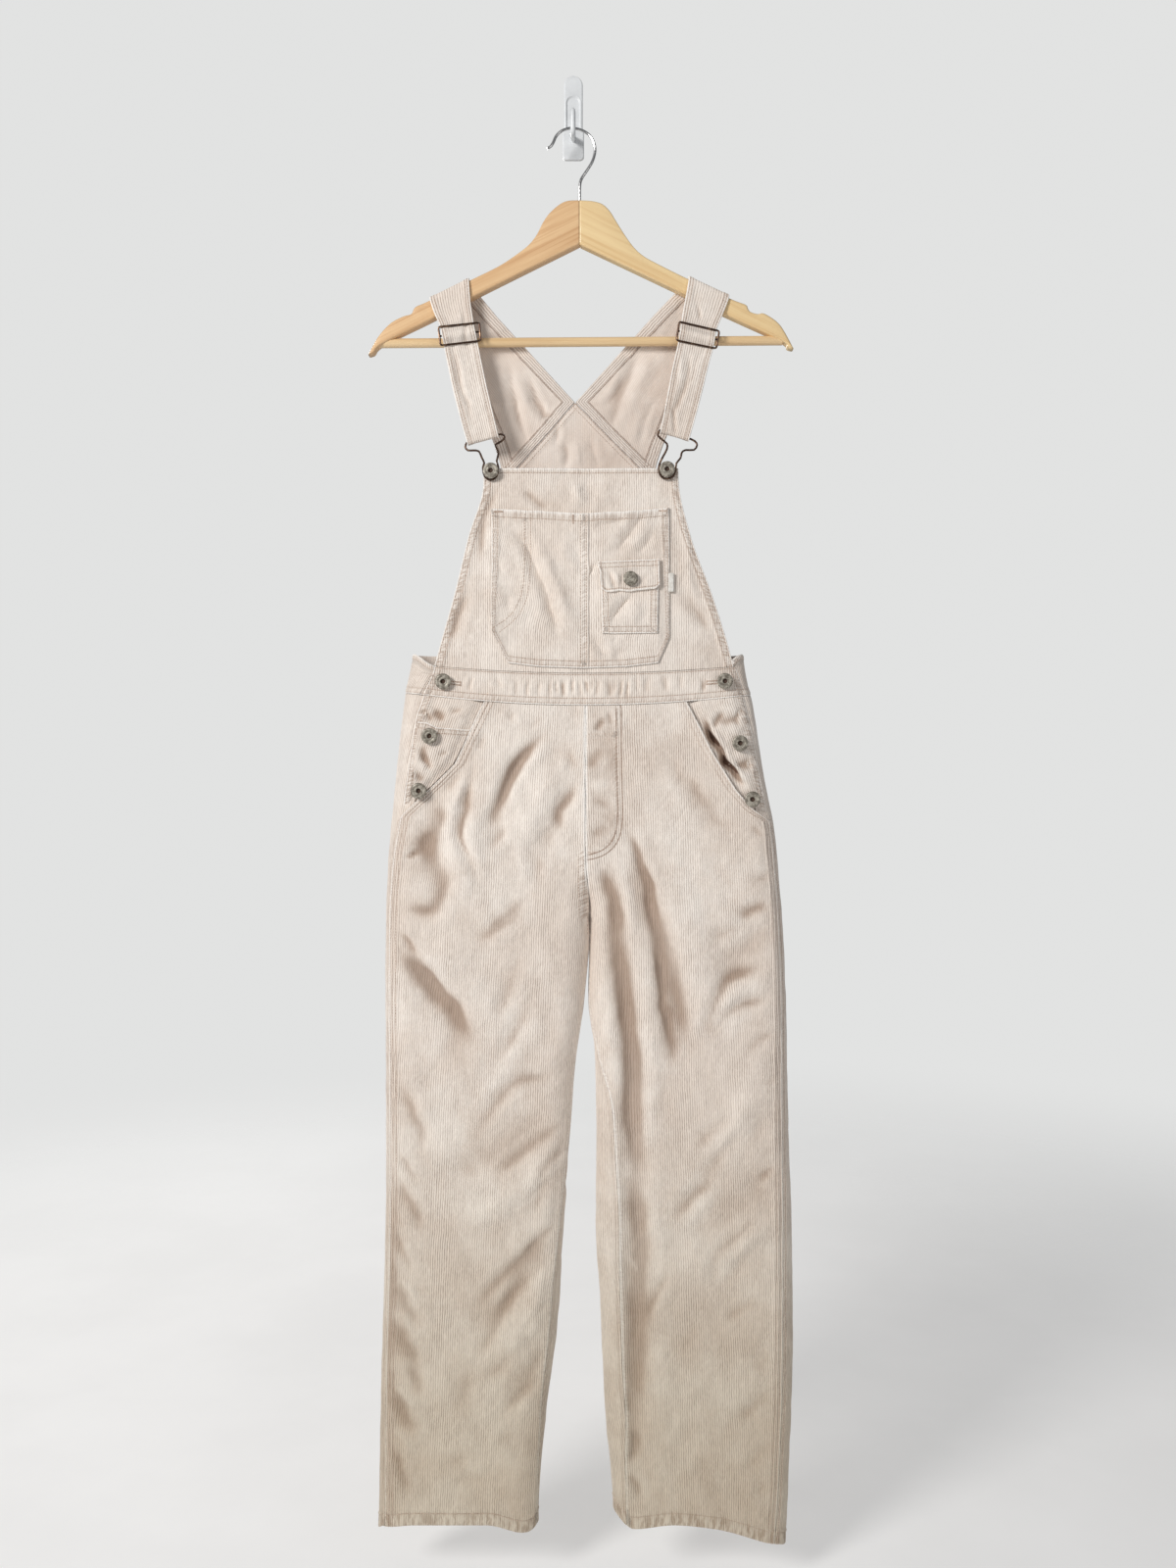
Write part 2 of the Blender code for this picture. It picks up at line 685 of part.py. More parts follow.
def make_bib_pieces(places, finish, collection, cutters):
    """Pocket, patch pocket, flap and label on the bib."""
    pocket = ((-84.5, -431), (-30, -434), (8, -436), (55, -434), (100.5, -430), (100.5, -566), (88.5, -593))
    pocket += ((55, -597), (10, -598.5), (-35, -597), (-67, -593), (-84.5, -559))
    patch = ((29, -494), (89.5, -492), (88, -562), (31, -562.5))
    flap = ((26.5, -487.5), (90, -484.5), (90.5, -512), (87, -516), (60, -518.5), (35, -520), (30.5, -516))
    label = ((99.2, -499), (105.2, -499), (105.2, -518.5), (99.2, -518.5))
    applied("bib_pocket", places, 1, pocket, finish["cloth"], collection, cutters)
    applied("patch_pocket", places, 2, patch, finish["cloth"], collection, cutters)
    applied("pocket_flap", places, 3, flap, finish["cloth"], collection, cutters)
    applied("label_tab", places, 2, label, finish["label"], collection, cutters)


def make_front_band(finish, collection):
    """The waistband across the front."""
    places = rows_between(
        edge_of(LEFT_LEG, 1.0),
        edge_of(RIGHT_LEG, -1.0),
        lambda x: band_edge(x, BAND_TOP_SIDE, BAND_TOP_MIDDLE),
        lambda x: band_edge(x, BAND_FOOT_SIDE, BAND_FOOT_MIDDLE) + SEAM_GAP / 2,
        23,
        4,
    )
    outer, inner = graph_grids(front_depth, places)
    wall("waistband_front", outer, inner, finish, collection)


def make_facing(side, leg, mouth, finish, collection):
    """The hip facing behind a slant pocket: level with the front, a layer lower under the leg."""
    sign = 1.0 if leg is LEFT_LEG else -1.0
    edge = edge_of(leg, sign)
    drop = CLOTH + 8 * SEAM_GAP

    def mouth_x(z):
        return straight(mouth, "x", z)

    def depth(x, z):
        inside = (mouth_x(z) - x) * sign
        return front_depth(x, z) - drop * (1.0 - smooth_step((inside - 3.0) / 14.0))

    places = rows_between(
        lambda z: edge(z) + sign * 4 * SEAM_GAP,
        lambda z: mouth_x(z) + sign * 7.0,
        lambda x: band_edge(x, BAND_FOOT_SIDE, BAND_FOOT_MIDDLE) - SEAM_GAP / 2,
        lambda x: mouth[-1].z + 12.0,
        9,
        8,
    )
    outer, inner = graph_grids(depth, places)
    wall(f"pocket_facing_{side}", outer, inner, finish, collection)
    return places, depth


def make_coin_pocket(places, depth, finish, collection, cutters):
    """The coin pocket on the left facing: the facing's own points moved out, inside the mouth."""
    outer, inner = graph_grids(depth, places, 1.2, 1.5)
    piece = wall("coin_pocket", outer, inner, finish, collection)
    outline = [(-159.5, -654), (-150, -655), (-140, -660), (-108.5, -662)]
    outline += [(straight(LEFT_MOUTH, "x", z) - 1.5, z) for z in (-680, -698, -719, -727)]
    outline += [(-163.0, -727), (-163.6, -700)]
    add_boolean(piece, prism("coin_pocket_outline", outline, cutters), "INTERSECT")


# ---------------------------------------------------------------- back pieces


def back_depth(_, z):
    """Depth of the back bib's outer face, towards the wall."""
    return read(BACK_CENTER, "depth", z)


def level_rows(table, columns, inset):
    """Rows of places across a back piece, one at each of its table's heights."""
    places = []
    for row in table:
        z = BACK_BAND_TOP + SEAM_GAP if row is BACK_CENTER[-1] else row.z
        places.append([(x, z) for x in spread(row.left + inset, row.right - inset, columns)])
    return places


def make_back(finish, collection):
    """The pointed back bib and the two side pieces that run up to the hanger."""
    outer, inner = graph_grids(back_depth, level_rows(BACK_CENTER, 9, SEAM_GAP), CLOTH, 0.0, -1)
    wall("back_center", outer, inner, finish, collection)
    for side, table, strap in (("l", BACK_SIDE_LEFT, STRAP_LEFT[0]), ("r", BACK_SIDE_RIGHT, STRAP_RIGHT[0])):
        places = level_rows(table, 6, 0.0)
        slope = strap.half_z / strap.half_x
        first, last = strap.x - strap.half_x, strap.x + strap.half_x
        places[0] = [(x, strap.z - 2 * SEAM_GAP + slope * (x - strap.x)) for x in spread(first, last, 6)]
        outer, inner = graph_grids(lambda x, z, rows=table: read(rows, "depth", z), places, CLOTH, 0.0, -1)
        wall(f"back_side_{side}", outer, inner, finish, collection)


def make_back_band(finish, collection):
    """The back waistband, round both sides to the front's edges."""
    heights = spread(BACK_BAND_TOP - SEAM_GAP / 2, LEG_TOP + SEAM_GAP / 2, 4)
    rows = []
    for z in heights:
        _, left = leg_columns(LEFT_LEG, z, LEFT_MOUTH)
        _, right = leg_columns(RIGHT_LEG, z, RIGHT_MOUTH)
        row = [band_point(LEFT_LEG, x, z, face) for x, face in left[:-5]]
        row += [band_point(RIGHT_LEG, x, z, face) for x, face in right[-6::-1]]
        rows.append(row)
    inner = []
    for i, row in enumerate(rows):
        up = rows[max(i - 1, 0)]
        down = rows[min(i + 1, len(rows) - 1)]
        inner_row = []
        for k, point in enumerate(row):
            along = row[min(k + 1, len(row) - 1)] - row[max(k - 1, 0)]
            normal = along.cross(down[k] - up[k]).normalized()
            inner_row.append(point - normal * CLOTH)
        inner.append(inner_row)
    wall("waistband_back", rows, inner, finish, collection)


def band_point(leg, x, z, face):
    """A point of the back waistband's outer surface."""
    share = (z - LEG_TOP) / (BACK_BAND_TOP - LEG_TOP)
    foot = band_edge(x, BAND_FOOT_SIDE, BAND_FOOT_MIDDLE) - LEG_TOP
    return Vector((x, -ring_depth(leg, x, z, face), z + foot * (1.0 - share)))


# ---------------------------------------------------------------- straps and their metal

StrapRow = namedtuple("StrapRow", "x z depth half_x half_z")
STRAP_LEFT = (
    StrapRow(-127.5, -207.0, 20.2, 20.5, 10.2),
    StrapRow(-129.0, -201.5, 20.2, 20.6, 10.2),
    StrapRow(-130.0, -196.6, 21.2, 20.7, 10.3),
    StrapRow(-130.3, -195.4, 28.5, 20.7, 10.3),
    StrapRow(-130.2, -196.3, 35.8, 20.7, 10.3),
    StrapRow(-129.6, -201.0, 37.1, 20.5, 10.0),
    StrapRow(-126.6, -218.0, 38.4, 19.3, 5.5),
    StrapRow(-122.8, -232.0, 39.8, 18.0, 2.8),
    StrapRow(-121.6, -237.2, 39.9, 17.6, 2.3),
    StrapRow(-120.9, -240.2, 40.7, 17.6, 2.2),
    StrapRow(-120.2, -243.6, 43.4, 17.6, 2.2),
    StrapRow(-119.5, -246.9, 44.7, 17.6, 2.2),
    StrapRow(-118.8, -250.2, 43.4, 17.6, 2.2),
    StrapRow(-118.1, -253.6, 40.7, 17.6, 2.2),
    StrapRow(-117.6, -256.6, 39.8, 17.6, 2.2),
    StrapRow(-116.4, -263.0, 40.2, 17.7, 2.5),
    StrapRow(-114.0, -275.0, 41.2, 17.6, 3.0),
    StrapRow(-107.5, -305.0, 43.5, 17.4, 3.6),
    StrapRow(-99.6, -337.0, 46.0, 16.8, 4.2),
    StrapRow(-94.2, -357.6, 47.5, 16.2, 4.3),
)
STRAP_RIGHT = (
    StrapRow(141.0, -204.8, 20.2, 21.0, -9.8),
    StrapRow(142.3, -199.3, 20.2, 21.2, -9.9),
    StrapRow(143.1, -194.2, 21.2, 21.4, -10.0),
    StrapRow(143.4, -193.0, 28.5, 21.4, -10.0),
    StrapRow(143.3, -193.9, 35.8, 21.4, -10.0),
    StrapRow(142.8, -198.6, 37.1, 21.2, -9.9),
    StrapRow(138.0, -217.0, 38.4, 20.3, -6.6),
    StrapRow(133.4, -233.0, 39.8, 19.0, -4.6),
    StrapRow(132.0, -238.9, 39.9, 18.4, -4.3),
    StrapRow(131.5, -241.9, 40.7, 18.4, -4.3),
    StrapRow(131.0, -245.2, 43.4, 18.4, -4.3),
    StrapRow(130.5, -248.4, 44.7, 18.4, -4.3),
    StrapRow(130.0, -251.6, 43.4, 18.4, -4.2),
    StrapRow(129.4, -254.9, 40.7, 18.4, -4.1),
    StrapRow(128.9, -257.9, 39.8, 18.3, -4.0),
    StrapRow(127.2, -265.0, 40.2, 18.0, -4.0),
    StrapRow(124.2, -277.0, 41.2, 17.8, -4.0),
    StrapRow(118.0, -305.0, 43.5, 17.2, -4.2),
    StrapRow(111.2, -335.0, 46.0, 16.0, -4.3),
    StrapRow(106.8, -353.2, 47.5, 15.2, -4.3),
)
FOLD_RADIUS = BUCKLE_WIRE + SEAM_GAP


def strap_rows(table):
    """The strap's rows, its foot folded round the buckle's bar and its end laid behind."""
    rows = list(table)
    foot = table[-1]
    above = table[-2]
    run = Vector((foot.x - above.x, foot.z - above.z)).normalized()
    radius = FOLD_RADIUS + CLOTH
    for angle in spread(pi / 6, pi, 6):
        reach = radius * sin(angle)
        depth = foot.depth - radius * (1.0 - cos(angle))
        rows.append(StrapRow(foot.x + run.x * reach, foot.z + run.y * reach, depth, foot.half_x, foot.half_z))
    behind = [row for row in table[::-1] if row.z < BAR_LEFT[1] - 14.0][1:]
    for row in behind:
        rows.append(row._replace(depth=row.depth - 2 * radius + 0.8 * smooth_step((row.z + 330.0) / 50.0)))
    return rows


def make_strap(side, table, finish, collection):
    """A strap: over the hanger, through the slide, round the buckle's bar and back up."""
    outer, inner = [], []
    rows = strap_rows(table)
    centres = [Vector((row.x, -row.depth, row.z)) for row in rows]
    for i, row in enumerate(rows):
        run = centres[min(i + 1, len(rows) - 1)] - centres[max(i - 1, 0)]
        half = Vector((row.half_x, 0.0, row.half_z))
        normal = half.cross(run).normalized()
        outer.append([centres[i] + half * u for u in (-1.0, 0.0, 1.0)])
        inner.append([p + normal * CLOTH for p in outer[-1]])
    wall(f"strap_{side}", outer, inner, finish, collection)


def make_slide(side, corners, depth, finish, collection, cutters):
    """The wire slide: a rectangle in front of the strap with a middle bar behind its raised part."""
    loop = []
    for k, (x, z) in enumerate(corners):
        before = Vector(corners[k - 1])
        after = Vector(corners[(k + 1) % 4])
        here = Vector((x, z))
        for t in spread(0.0, 1.0, 4):
            start = here + (before - here).normalized() * 2.5
            end = here + (after - here).normalized() * 2.5
            bend = start * (1 - t) ** 2 + here * 2 * t * (1 - t) + end * t * t
            loop.append((bend.x, -depth, bend.y))
    frame = as_mesh(
        wire_curve(f"adjuster_{side}", loop, SLIDE_WIRE, finish, collection, closed=True), finish, collection
    )
    left = (Vector(corners[0]) + Vector(corners[3])) / 2
    right = (Vector(corners[1]) + Vector(corners[2])) / 2
    ends = ((left.x, -depth, left.y), (right.x, -depth, right.y))
    bar = wire_curve(f"adjuster_bar_{side}", ends, SLIDE_WIRE * 0.95, finish, cutters)
    bar = as_mesh(bar, finish, cutters)
    bar.hide_render = True
    bar.display_type = "WIRE"
    add_boolean(frame, bar, "UNION")


BuckleRow = namedtuple("BuckleRow", "x z depth")
BUCKLE_LEFT = (
    BuckleRow(-73.5, -353.2, 45.0),
    BuckleRow(-71.2, -356.2, 45.6),
    BuckleRow(-74.2, -360.4, 46.0),
    BuckleRow(-80.8, -364.4, 46.4),
    BuckleRow(-79.0, -369.0, 46.6),
    BuckleRow(-77.7, -374.5, 46.8),
    BuckleRow(-79.4, -381.6, 46.9),
    BuckleRow(-77.6, -388.0, 46.9),
    BuckleRow(-79.4, -397.5, 46.9),
    BuckleRow(-85.5, -401.2, 46.9),
    BuckleRow(-91.8, -397.8, 46.9),
    BuckleRow(-93.8, -388.5, 46.9),
    BuckleRow(-92.4, -383.5, 46.9),
    BuckleRow(-95.0, -377.7, 46.8),
    BuckleRow(-98.0, -371.2, 46.6),
    BuckleRow(-104.0, -370.2, 46.2),
    BuckleRow(-109.5, -370.0, 45.8),
    BuckleRow(-112.3, -366.4, 45.2),
)
BUCKLE_RIGHT = (
    BuckleRow(127.5, -360.2, 45.0),
    BuckleRow(129.8, -364.4, 45.6),
    BuckleRow(126.6, -369.6, 46.0),
    BuckleRow(118.0, -369.8, 46.4),
    BuckleRow(113.8, -372.4, 46.6),
    BuckleRow(112.4, -378.4, 46.8),
    BuckleRow(108.0, -384.0, 46.9),
    BuckleRow(107.4, -391.0, 46.9),
    BuckleRow(104.6, -397.4, 46.9),
    BuckleRow(98.3, -399.8, 46.9),
    BuckleRow(92.0, -397.4, 46.9),
    BuckleRow(89.6, -389.0, 46.9),
    BuckleRow(91.6, -382.0, 46.9),
    BuckleRow(94.6, -376.0, 46.8),
    BuckleRow(98.2, -369.0, 46.6),
    BuckleRow(98.4, -363.4, 46.2),
    BuckleRow(93.4, -358.8, 45.8),
    BuckleRow(88.8, -354.0, 45.2),
)


def make_buckle(side, bends, strap, finish, collection):
    """A wire buckle: its bar lies inside the strap's fold and its lower loop round a bib button's stem."""
    foot = strap[-1]
    depth = foot.depth - CLOTH - FOLD_RADIUS
    reach = 1.05
    ends = [(foot.x + u * reach * foot.half_x, -depth, foot.z + u * reach * foot.half_z) for u in (-1.0, 1.0)]
    loop = smooth_path([ends[1]] + [(row.x, -row.depth, row.z) for row in bends] + [ends[0]], 2)
    wire_curve(f"buckle_{side}", loop, BUCKLE_WIRE, finish, collection, closed=True)


ButtonPart = namedtuple("ButtonPart", "radius height")


def make_button(name, x, z, base, stem, radius, finish, collection):
    """A shank button: a stem on the cloth and a ringed head with a hollow middle."""
    head = stem + 3.6
    profile = (
        ButtonPart(0.0, head - 2.2),
        ButtonPart(radius * 0.27, head - 2.0),
        ButtonPart(radius * 0.36, head - 0.4),
        ButtonPart(radius * 0.5, head),
        ButtonPart(radius * 0.86, head - 0.2),
        ButtonPart(radius, head - 1.3),
        ButtonPart(radius * 0.97, stem + 0.6),
        ButtonPart(radius * 0.88, stem),
        ButtonPart(2.6, stem),
        ButtonPart(2.6, 0.0),
        ButtonPart(0.0, 0.0),
    )
    mesh = bpy.data.meshes.new(name)
    verts = [(part.radius * MM, 0.0, part.height * MM) for part in profile]
    mesh.from_pydata(verts, [(i, i + 1) for i in range(len(verts) - 1)], [])
    made = new_object(name, mesh, finish, collection)
    made.rotation_euler = (pi / 2, 0.0, 0.0)
    made.location = (x * MM, -base * MM, z * MM)
    turn = made.modifiers.new("Screw", "SCREW")
    turn.axis = "Z"
    turn.steps = 10
    turn.render_steps = 10
    turn.use_merge_vertices = True
    turn.merge_threshold = 0.00002
    return made


# ---------------------------------------------------------------- hanger and hook

ARM_LEFT_TOP = (
    (7.0, -103.0),
    (-6.0, -103.6),
    (-15.0, -108.0),
    (-25.0, -117.0),
    (-31.6, -126.5),
    (-38.1, -139.3),
    (-46.0, -149.5),
    (-57.8, -159.0),
    (-77.6, -172.2),
    (-107.2, -186.9),
    (-153.3, -209.8),
    (-166.0, -215.5),
    (-169.5, -222.0),
    (-172.5, -223.8),
    (-179.5, -225.7),
    (-192.7, -233.0),
    (-205.9, -247.8),
    (-215.7, -265.9),
)
ARM_LEFT_FOOT = ((-209.0, -263.5), (-199.2, -254.0), (-146.6, -228.1), (-107.2, -206.8), (7.0, -149.8))
ARM_RIGHT_TOP = (
    (7.0, -103.0),
    (20.0, -103.8),
    (31.1, -107.0),
    (39.0, -114.5),
    (44.2, -122.8),
    (54.0, -138.5),
    (64.0, -152.4),
    (74.0, -161.5),
    (87.0, -168.9),
    (119.9, -185.3),
    (165.9, -206.8),
    (182.4, -213.2),
    (184.6, -217.5),
    (187.5, -220.8),
    (195.4, -223.0),
    (202.0, -222.5),
    (218.5, -234.6),
    (232.6, -259.4),
)
ARM_RIGHT_FOOT = ((226.0, -257.5), (218.5, -250.5), (159.3, -223.2), (119.9, -203.5), (7.0, -149.8))


def make_arm(side, top, foot, finish, collection, cutters):
    """One arm of the hanger: a flat board with rounded edges, drilled for the hook and the bar."""
    shift = -SEAM_GAP / 2 if side == "l" else SEAM_GAP / 2
    outline = [(x, z) for x, z in top + foot]
    outline = [(x + shift if abs(x - JOINT_X) < 0.01 else x, z) for x, z in outline]
    data = bpy.data.curves.new(f"hanger_arm_{side}", "CURVE")
    data.dimensions = "2D"
    data.fill_mode = "BOTH"
    data.extrude = ((WOOD_FRONT - WOOD_BACK) / 2 - WOOD_EDGE) * MM
    data.bevel_depth = WOOD_EDGE * MM
    data.bevel_resolution = 1
    data.offset = -WOOD_EDGE * MM
    spline = data.splines.new("POLY")
    spline.points.add(len(outline) - 1)
    for target, (x, z) in zip(spline.points, outline):
        target.co = (x * MM, z * MM, 0.0, 1.0)
    spline.use_cyclic_u = True
    board = bpy.data.objects.new(f"hanger_arm_{side}", data)
    collection.objects.link(board)
    board.rotation_euler = (pi / 2, 0.0, 0.0)
    board.location = (0.0, -(WOOD_FRONT + WOOD_BACK) / 2 * MM, 0.0)
    arm = as_mesh(board, finish, collection)
    for cutter in cutters:
        add_boolean(arm, cutter, "DIFFERENCE")


def make_rod(name, start, end, radius, sides, finish, collection, cutter=False):
    """A straight round rod between two points in millimetres."""
    start = Vector(start)
    end = Vector(end)
    bpy.ops.mesh.primitive_cylinder_add(vertices=sides, radius=radius * MM, depth=(end - start).length * MM)
    made = bpy.context.object
    made.name = name
    made.data.name = name
    made.location = (start + end) / 2 * MM
    made.rotation_mode = "QUATERNION"
    made.rotation_quaternion = (end - start).to_track_quat("Z", "Y")
    made.data.materials.append(finish)
    for holder in list(made.users_collection):
        holder.objects.unlink(made)
    collection.objects.link(made)
    if cutter:
        made.hide_render = True
        made.display_type = "WIRE"
    else:
        made.data.shade_smooth()
        made.data.set_sharp_from_angle(angle=0.7)
    return made


def make_hanger(finish, collection, cutters):
    """Both arms, the bar between their tips and the wire hook in its hole."""
    middle = -(WOOD_FRONT + WOOD_BACK) / 2
    bar = [(x, middle, z) for x, z in (BAR_LEFT, BAR_RIGHT)]
    hole = ((JOINT_X, -HOOK_DEPTH, -123.0), (JOINT_X, -HOOK_DEPTH, -95.0))
    left_end = (BAR_LEFT[0] - SEAM_GAP, middle, BAR_LEFT[1])
    right_end = (BAR_RIGHT[0] + SEAM_GAP, middle, BAR_RIGHT[1])
    socket_ends = (left_end, right_end)
    socket = make_rod("bar_socket", *socket_ends, BAR_RADIUS + SEAM_GAP, 16, finish["wood"], cutters, True)
    drill = make_rod("hook_hole", *hole, HOOK_WIRE + 0.4, 12, finish["wood"], cutters, True)
    make_arm("l", ARM_LEFT_TOP, ARM_LEFT_FOOT, finish["wood"], collection, (socket, drill))
    make_arm("r", ARM_RIGHT_TOP, ARM_RIGHT_FOOT, finish["wood"], collection, (socket, drill))
    make_rod("hanger_bar", *bar, BAR_RADIUS, 16, finish["wood"], collection)
    make_hook(finish["steel"], collection)


HOOK_PATH = (
    (7.0, -122.0),
    (7.0, -100.0),
    (7.2, -86.0),
    (9.0, -78.5),
    (14.5, -70.0),
    (20.5, -60.0),
    (23.3, -49.0),
    (21.8, -39.5),
    (16.5, -31.3),
    (7.0, -26.2),
    (-3.5, -25.0),
    (-12.0, -27.8),
    (-17.6, -33.0),
    (-20.9, -40.0),
    (-23.5, -44.0),
    (-27.2, -46.3),
)


def make_hook(finish, collection):
    """The hanger's wire hook with its small ball end."""
    points = smooth_path([(x, -HOOK_DEPTH, z) for x, z in HOOK_PATH], 3)
    hook = as_mesh(wire_curve("hanger_hook", points, HOOK_WIRE, finish, collection), finish, collection)
    return hook


def outline_solid(name, near, far, finish, collection):
    """A closed solid between two like outlines of points in millimetres."""
    mesh = bpy.data.meshes.new(name)
    shape = bmesh.new()
    one = [shape.verts.new((x * MM, y * MM, z * MM)) for x, y, z in near]
    two = [shape.verts.new((x * MM, y * MM, z * MM)) for x, y, z in far]
    shape.faces.new(one)
    shape.faces.new(two[::-1])
    for i in range(len(one)):
        k = (i + 1) % len(one)
        shape.faces.new((one[i], two[i], two[k], one[k]))
    bmesh.ops.recalc_face_normals(shape, faces=shape.faces)
    shape.to_mesh(mesh)
    shape.free()
    return new_object(name, mesh, finish, collection)


def make_wall_hook(finish, collection, cutters):
    """The adhesive plate and its peg: the hanger's wire rests on the peg, behind its upright lip."""
    outline = []
    for centre_z, start in ((PLATE_TOP - PLATE_HALF_WIDTH, 0.0), (PLATE_FOOT + PLATE_HALF_WIDTH, pi)):
        for turn in spread(start, start + pi, 9):
            outline.append((PLATE_HALF_WIDTH * cos(turn), centre_z + PLATE_HALF_WIDTH * sin(turn)))
    near = [(x, -PLATE_THICKNESS, z) for x, z in outline]
    far = [(x, 0.0, z) for x, z in outline]
    plate = outline_solid("wall_hook", near, far, finish, collection)
    saddle = WIRE_REST - HOOK_WIRE - SEAM_GAP
    peg = ((1.0, -20.0), (24.0, saddle), (30.8, saddle), (31.5, -9.0), (33.0, -6.0))
    peg += ((35.5, -7.0), (36.2, -24.0), (34.0, -35.0), (27.0, -38.0), (1.0, -26.5))
    left = [(-PEG_HALF_WIDTH, -depth, z) for depth, z in peg]
    right = [(PEG_HALF_WIDTH, -depth, z) for depth, z in peg]
    prong = outline_solid("peg", left, right, finish, cutters)
    prong.hide_render = True
    prong.display_type = "WIRE"
    add_boolean(plate, prong, "UNION")


def clear_scene():
    """Removes every object of the scene."""
    for old in list(bpy.data.objects):
        bpy.data.objects.remove(old)


def make_finishes():
    """The materials."""
    return {
        "cloth": material("corduroy", (0.66, 0.55, 0.45), 0.95),
        "label": material("label_weave", (0.85, 0.83, 0.78), 0.9),
        "bronze": material("bronze_wire", (0.09, 0.06, 0.045), 0.4, 0.9),
        "pewter": material("pewter", (0.35, 0.33, 0.29), 0.35, 0.9),
        "wood": material("hanger_wood", (0.72, 0.48, 0.27), 0.5),
        "steel": material("hook_steel", (0.55, 0.55, 0.56), 0.25, 1.0),
        "plastic": material("hook_plastic", (0.86, 0.87, 0.87), 0.45),
    }


def make_straps(finish, collection, cutters):
    """Straps, slides and buckles."""
    make_strap("l", STRAP_LEFT, finish["cloth"], collection)
    make_strap("r", STRAP_RIGHT, finish["cloth"], collection)
    left = ((-141.0, -239.5), (-98.0, -235.0), (-96.5, -254.0), (-138.5, -259.0))
    right = ((111.5, -234.0), (153.5, -243.8), (150.3, -262.2), (108.5, -253.5))
    make_slide("l", left, 41.4, finish["bronze"], collection, cutters)
    make_slide("r", right, 41.4, finish["bronze"], collection, cutters)


def make_buttons(finish, collection):
    """The bib, side and flap buttons."""
    base = bib_depth(-85.7, -391.5) + SEAM_GAP
    make_button("bib_button_l", -85.5, -392.0, base, 4.4, BUTTON_RADIUS, finish, collection)
    base = bib_depth(98.3, -391.0) + SEAM_GAP
    make_button("bib_button_r", 98.3, -390.5, base, 4.4, BUTTON_RADIUS, finish, collection)
    base = bib_depth(60.0, -505.5) + 3 * LAYER + SEAM_GAP
    make_button("flap_button", 60.0, -505.5, base, 1.0, 7.6, finish, collection)
    places = (
        ("side_button_l1", -133.9, -612.4, 0.0),
        ("side_button_l2", -147.3, -669.1, 1.5),
        ("side_button_l3", -158.0, -725.5, 1.5),
        ("side_button_r1", 157.4, -612.0, 0.0),
        ("side_button_r2", 172.5, -676.4, 0.0),
        ("side_button_r3", 185.1, -734.2, 0.0),
    )
    for name, x, z, lift in places:
        base = front_depth(x, z) + lift + SEAM_GAP + 0.3
        make_button(name, x, z, base, 2.4, BUTTON_RADIUS, finish, collection)


def main():
    """Builds every piece."""
    clear_scene()
    collection = bpy.data.collections.new("bib_overalls")
    cutters = bpy.data.collections.new("cutters")
    bpy.context.scene.collection.children.link(collection)
    bpy.context.scene.collection.children.link(cutters)
    finish = make_finishes()
    cloth = finish["cloth"]
    make_leg("l", LEFT_LEG, LEFT_MOUTH, LEFT_HEM, cloth, collection)
    make_leg("r", RIGHT_LEG, RIGHT_MOUTH, RIGHT_HEM, cloth, collection)
    places = make_bib(cloth, collection)
    make_bib_pieces(places, finish, collection, cutters)
    make_front_band(cloth, collection)
    left_places, left_depth = make_facing("l", LEFT_LEG, LEFT_MOUTH, cloth, collection)
    make_facing("r", RIGHT_LEG, RIGHT_MOUTH, cloth, collection)
    make_coin_pocket(left_places, left_depth, cloth, collection, cutters)
    make_back(cloth, collection)
    make_back_band(cloth, collection)
    make_straps(finish, collection, cutters)
    make_buckle("l", BUCKLE_LEFT, STRAP_LEFT, finish["bronze"], collection)
    make_buckle("r", BUCKLE_RIGHT, STRAP_RIGHT, finish["bronze"], collection)
    make_buttons(finish["pewter"], collection)
    make_hanger(finish, collection, cutters)
    make_wall_hook(finish["plastic"], collection, cutters)


main()
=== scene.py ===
"""Looks of the bib overalls: cloth, sewing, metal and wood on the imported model.

Lengths are in millimetres in tables and functions, and in metres in meshes. "Left" and "right" are as
seen from the front; a point's depth in front of the wall is -Y.
"""

from collections import namedtuple
from math import cos, pi, sin

import bmesh
import bpy
import numpy as np
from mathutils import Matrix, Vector
from mathutils.bvhtree import BVHTree


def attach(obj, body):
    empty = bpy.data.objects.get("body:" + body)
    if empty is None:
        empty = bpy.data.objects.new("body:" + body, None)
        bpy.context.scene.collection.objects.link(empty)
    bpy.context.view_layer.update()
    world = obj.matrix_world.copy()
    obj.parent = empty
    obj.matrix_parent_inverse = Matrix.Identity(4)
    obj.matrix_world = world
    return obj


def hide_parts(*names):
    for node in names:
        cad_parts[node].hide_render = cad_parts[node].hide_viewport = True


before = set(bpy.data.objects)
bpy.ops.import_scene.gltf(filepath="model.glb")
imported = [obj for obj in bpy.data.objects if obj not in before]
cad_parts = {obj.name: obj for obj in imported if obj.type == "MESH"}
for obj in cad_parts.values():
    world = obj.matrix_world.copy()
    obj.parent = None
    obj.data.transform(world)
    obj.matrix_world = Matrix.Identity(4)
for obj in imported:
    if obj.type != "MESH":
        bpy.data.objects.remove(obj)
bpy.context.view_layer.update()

MM = 0.001
CLOTH = 1.5
SEAM_GAP = 0.3
LAYER = CLOTH + SEAM_GAP
EDGE_ROLL = 26.0
MIDDLE = 15.0

# Heights of the garment's levels
BIB_TOP = -388.0
BAND_TOP_SIDE = -595.5
BAND_TOP_MIDDLE = -603.5
BAND_FOOT_SIDE = -627.0
BAND_FOOT_MIDDLE = -637.0
BACK_BAND_TOP = -582.0
LEG_TOP = -637.0
CROTCH = -858.0
HEM = -1490.0
HALF_WAIST = 165.0

# Metal
BUTTON_RADIUS = 8.2
BUCKLE_WIRE = 1.1
BAR_LEVEL = -252.5


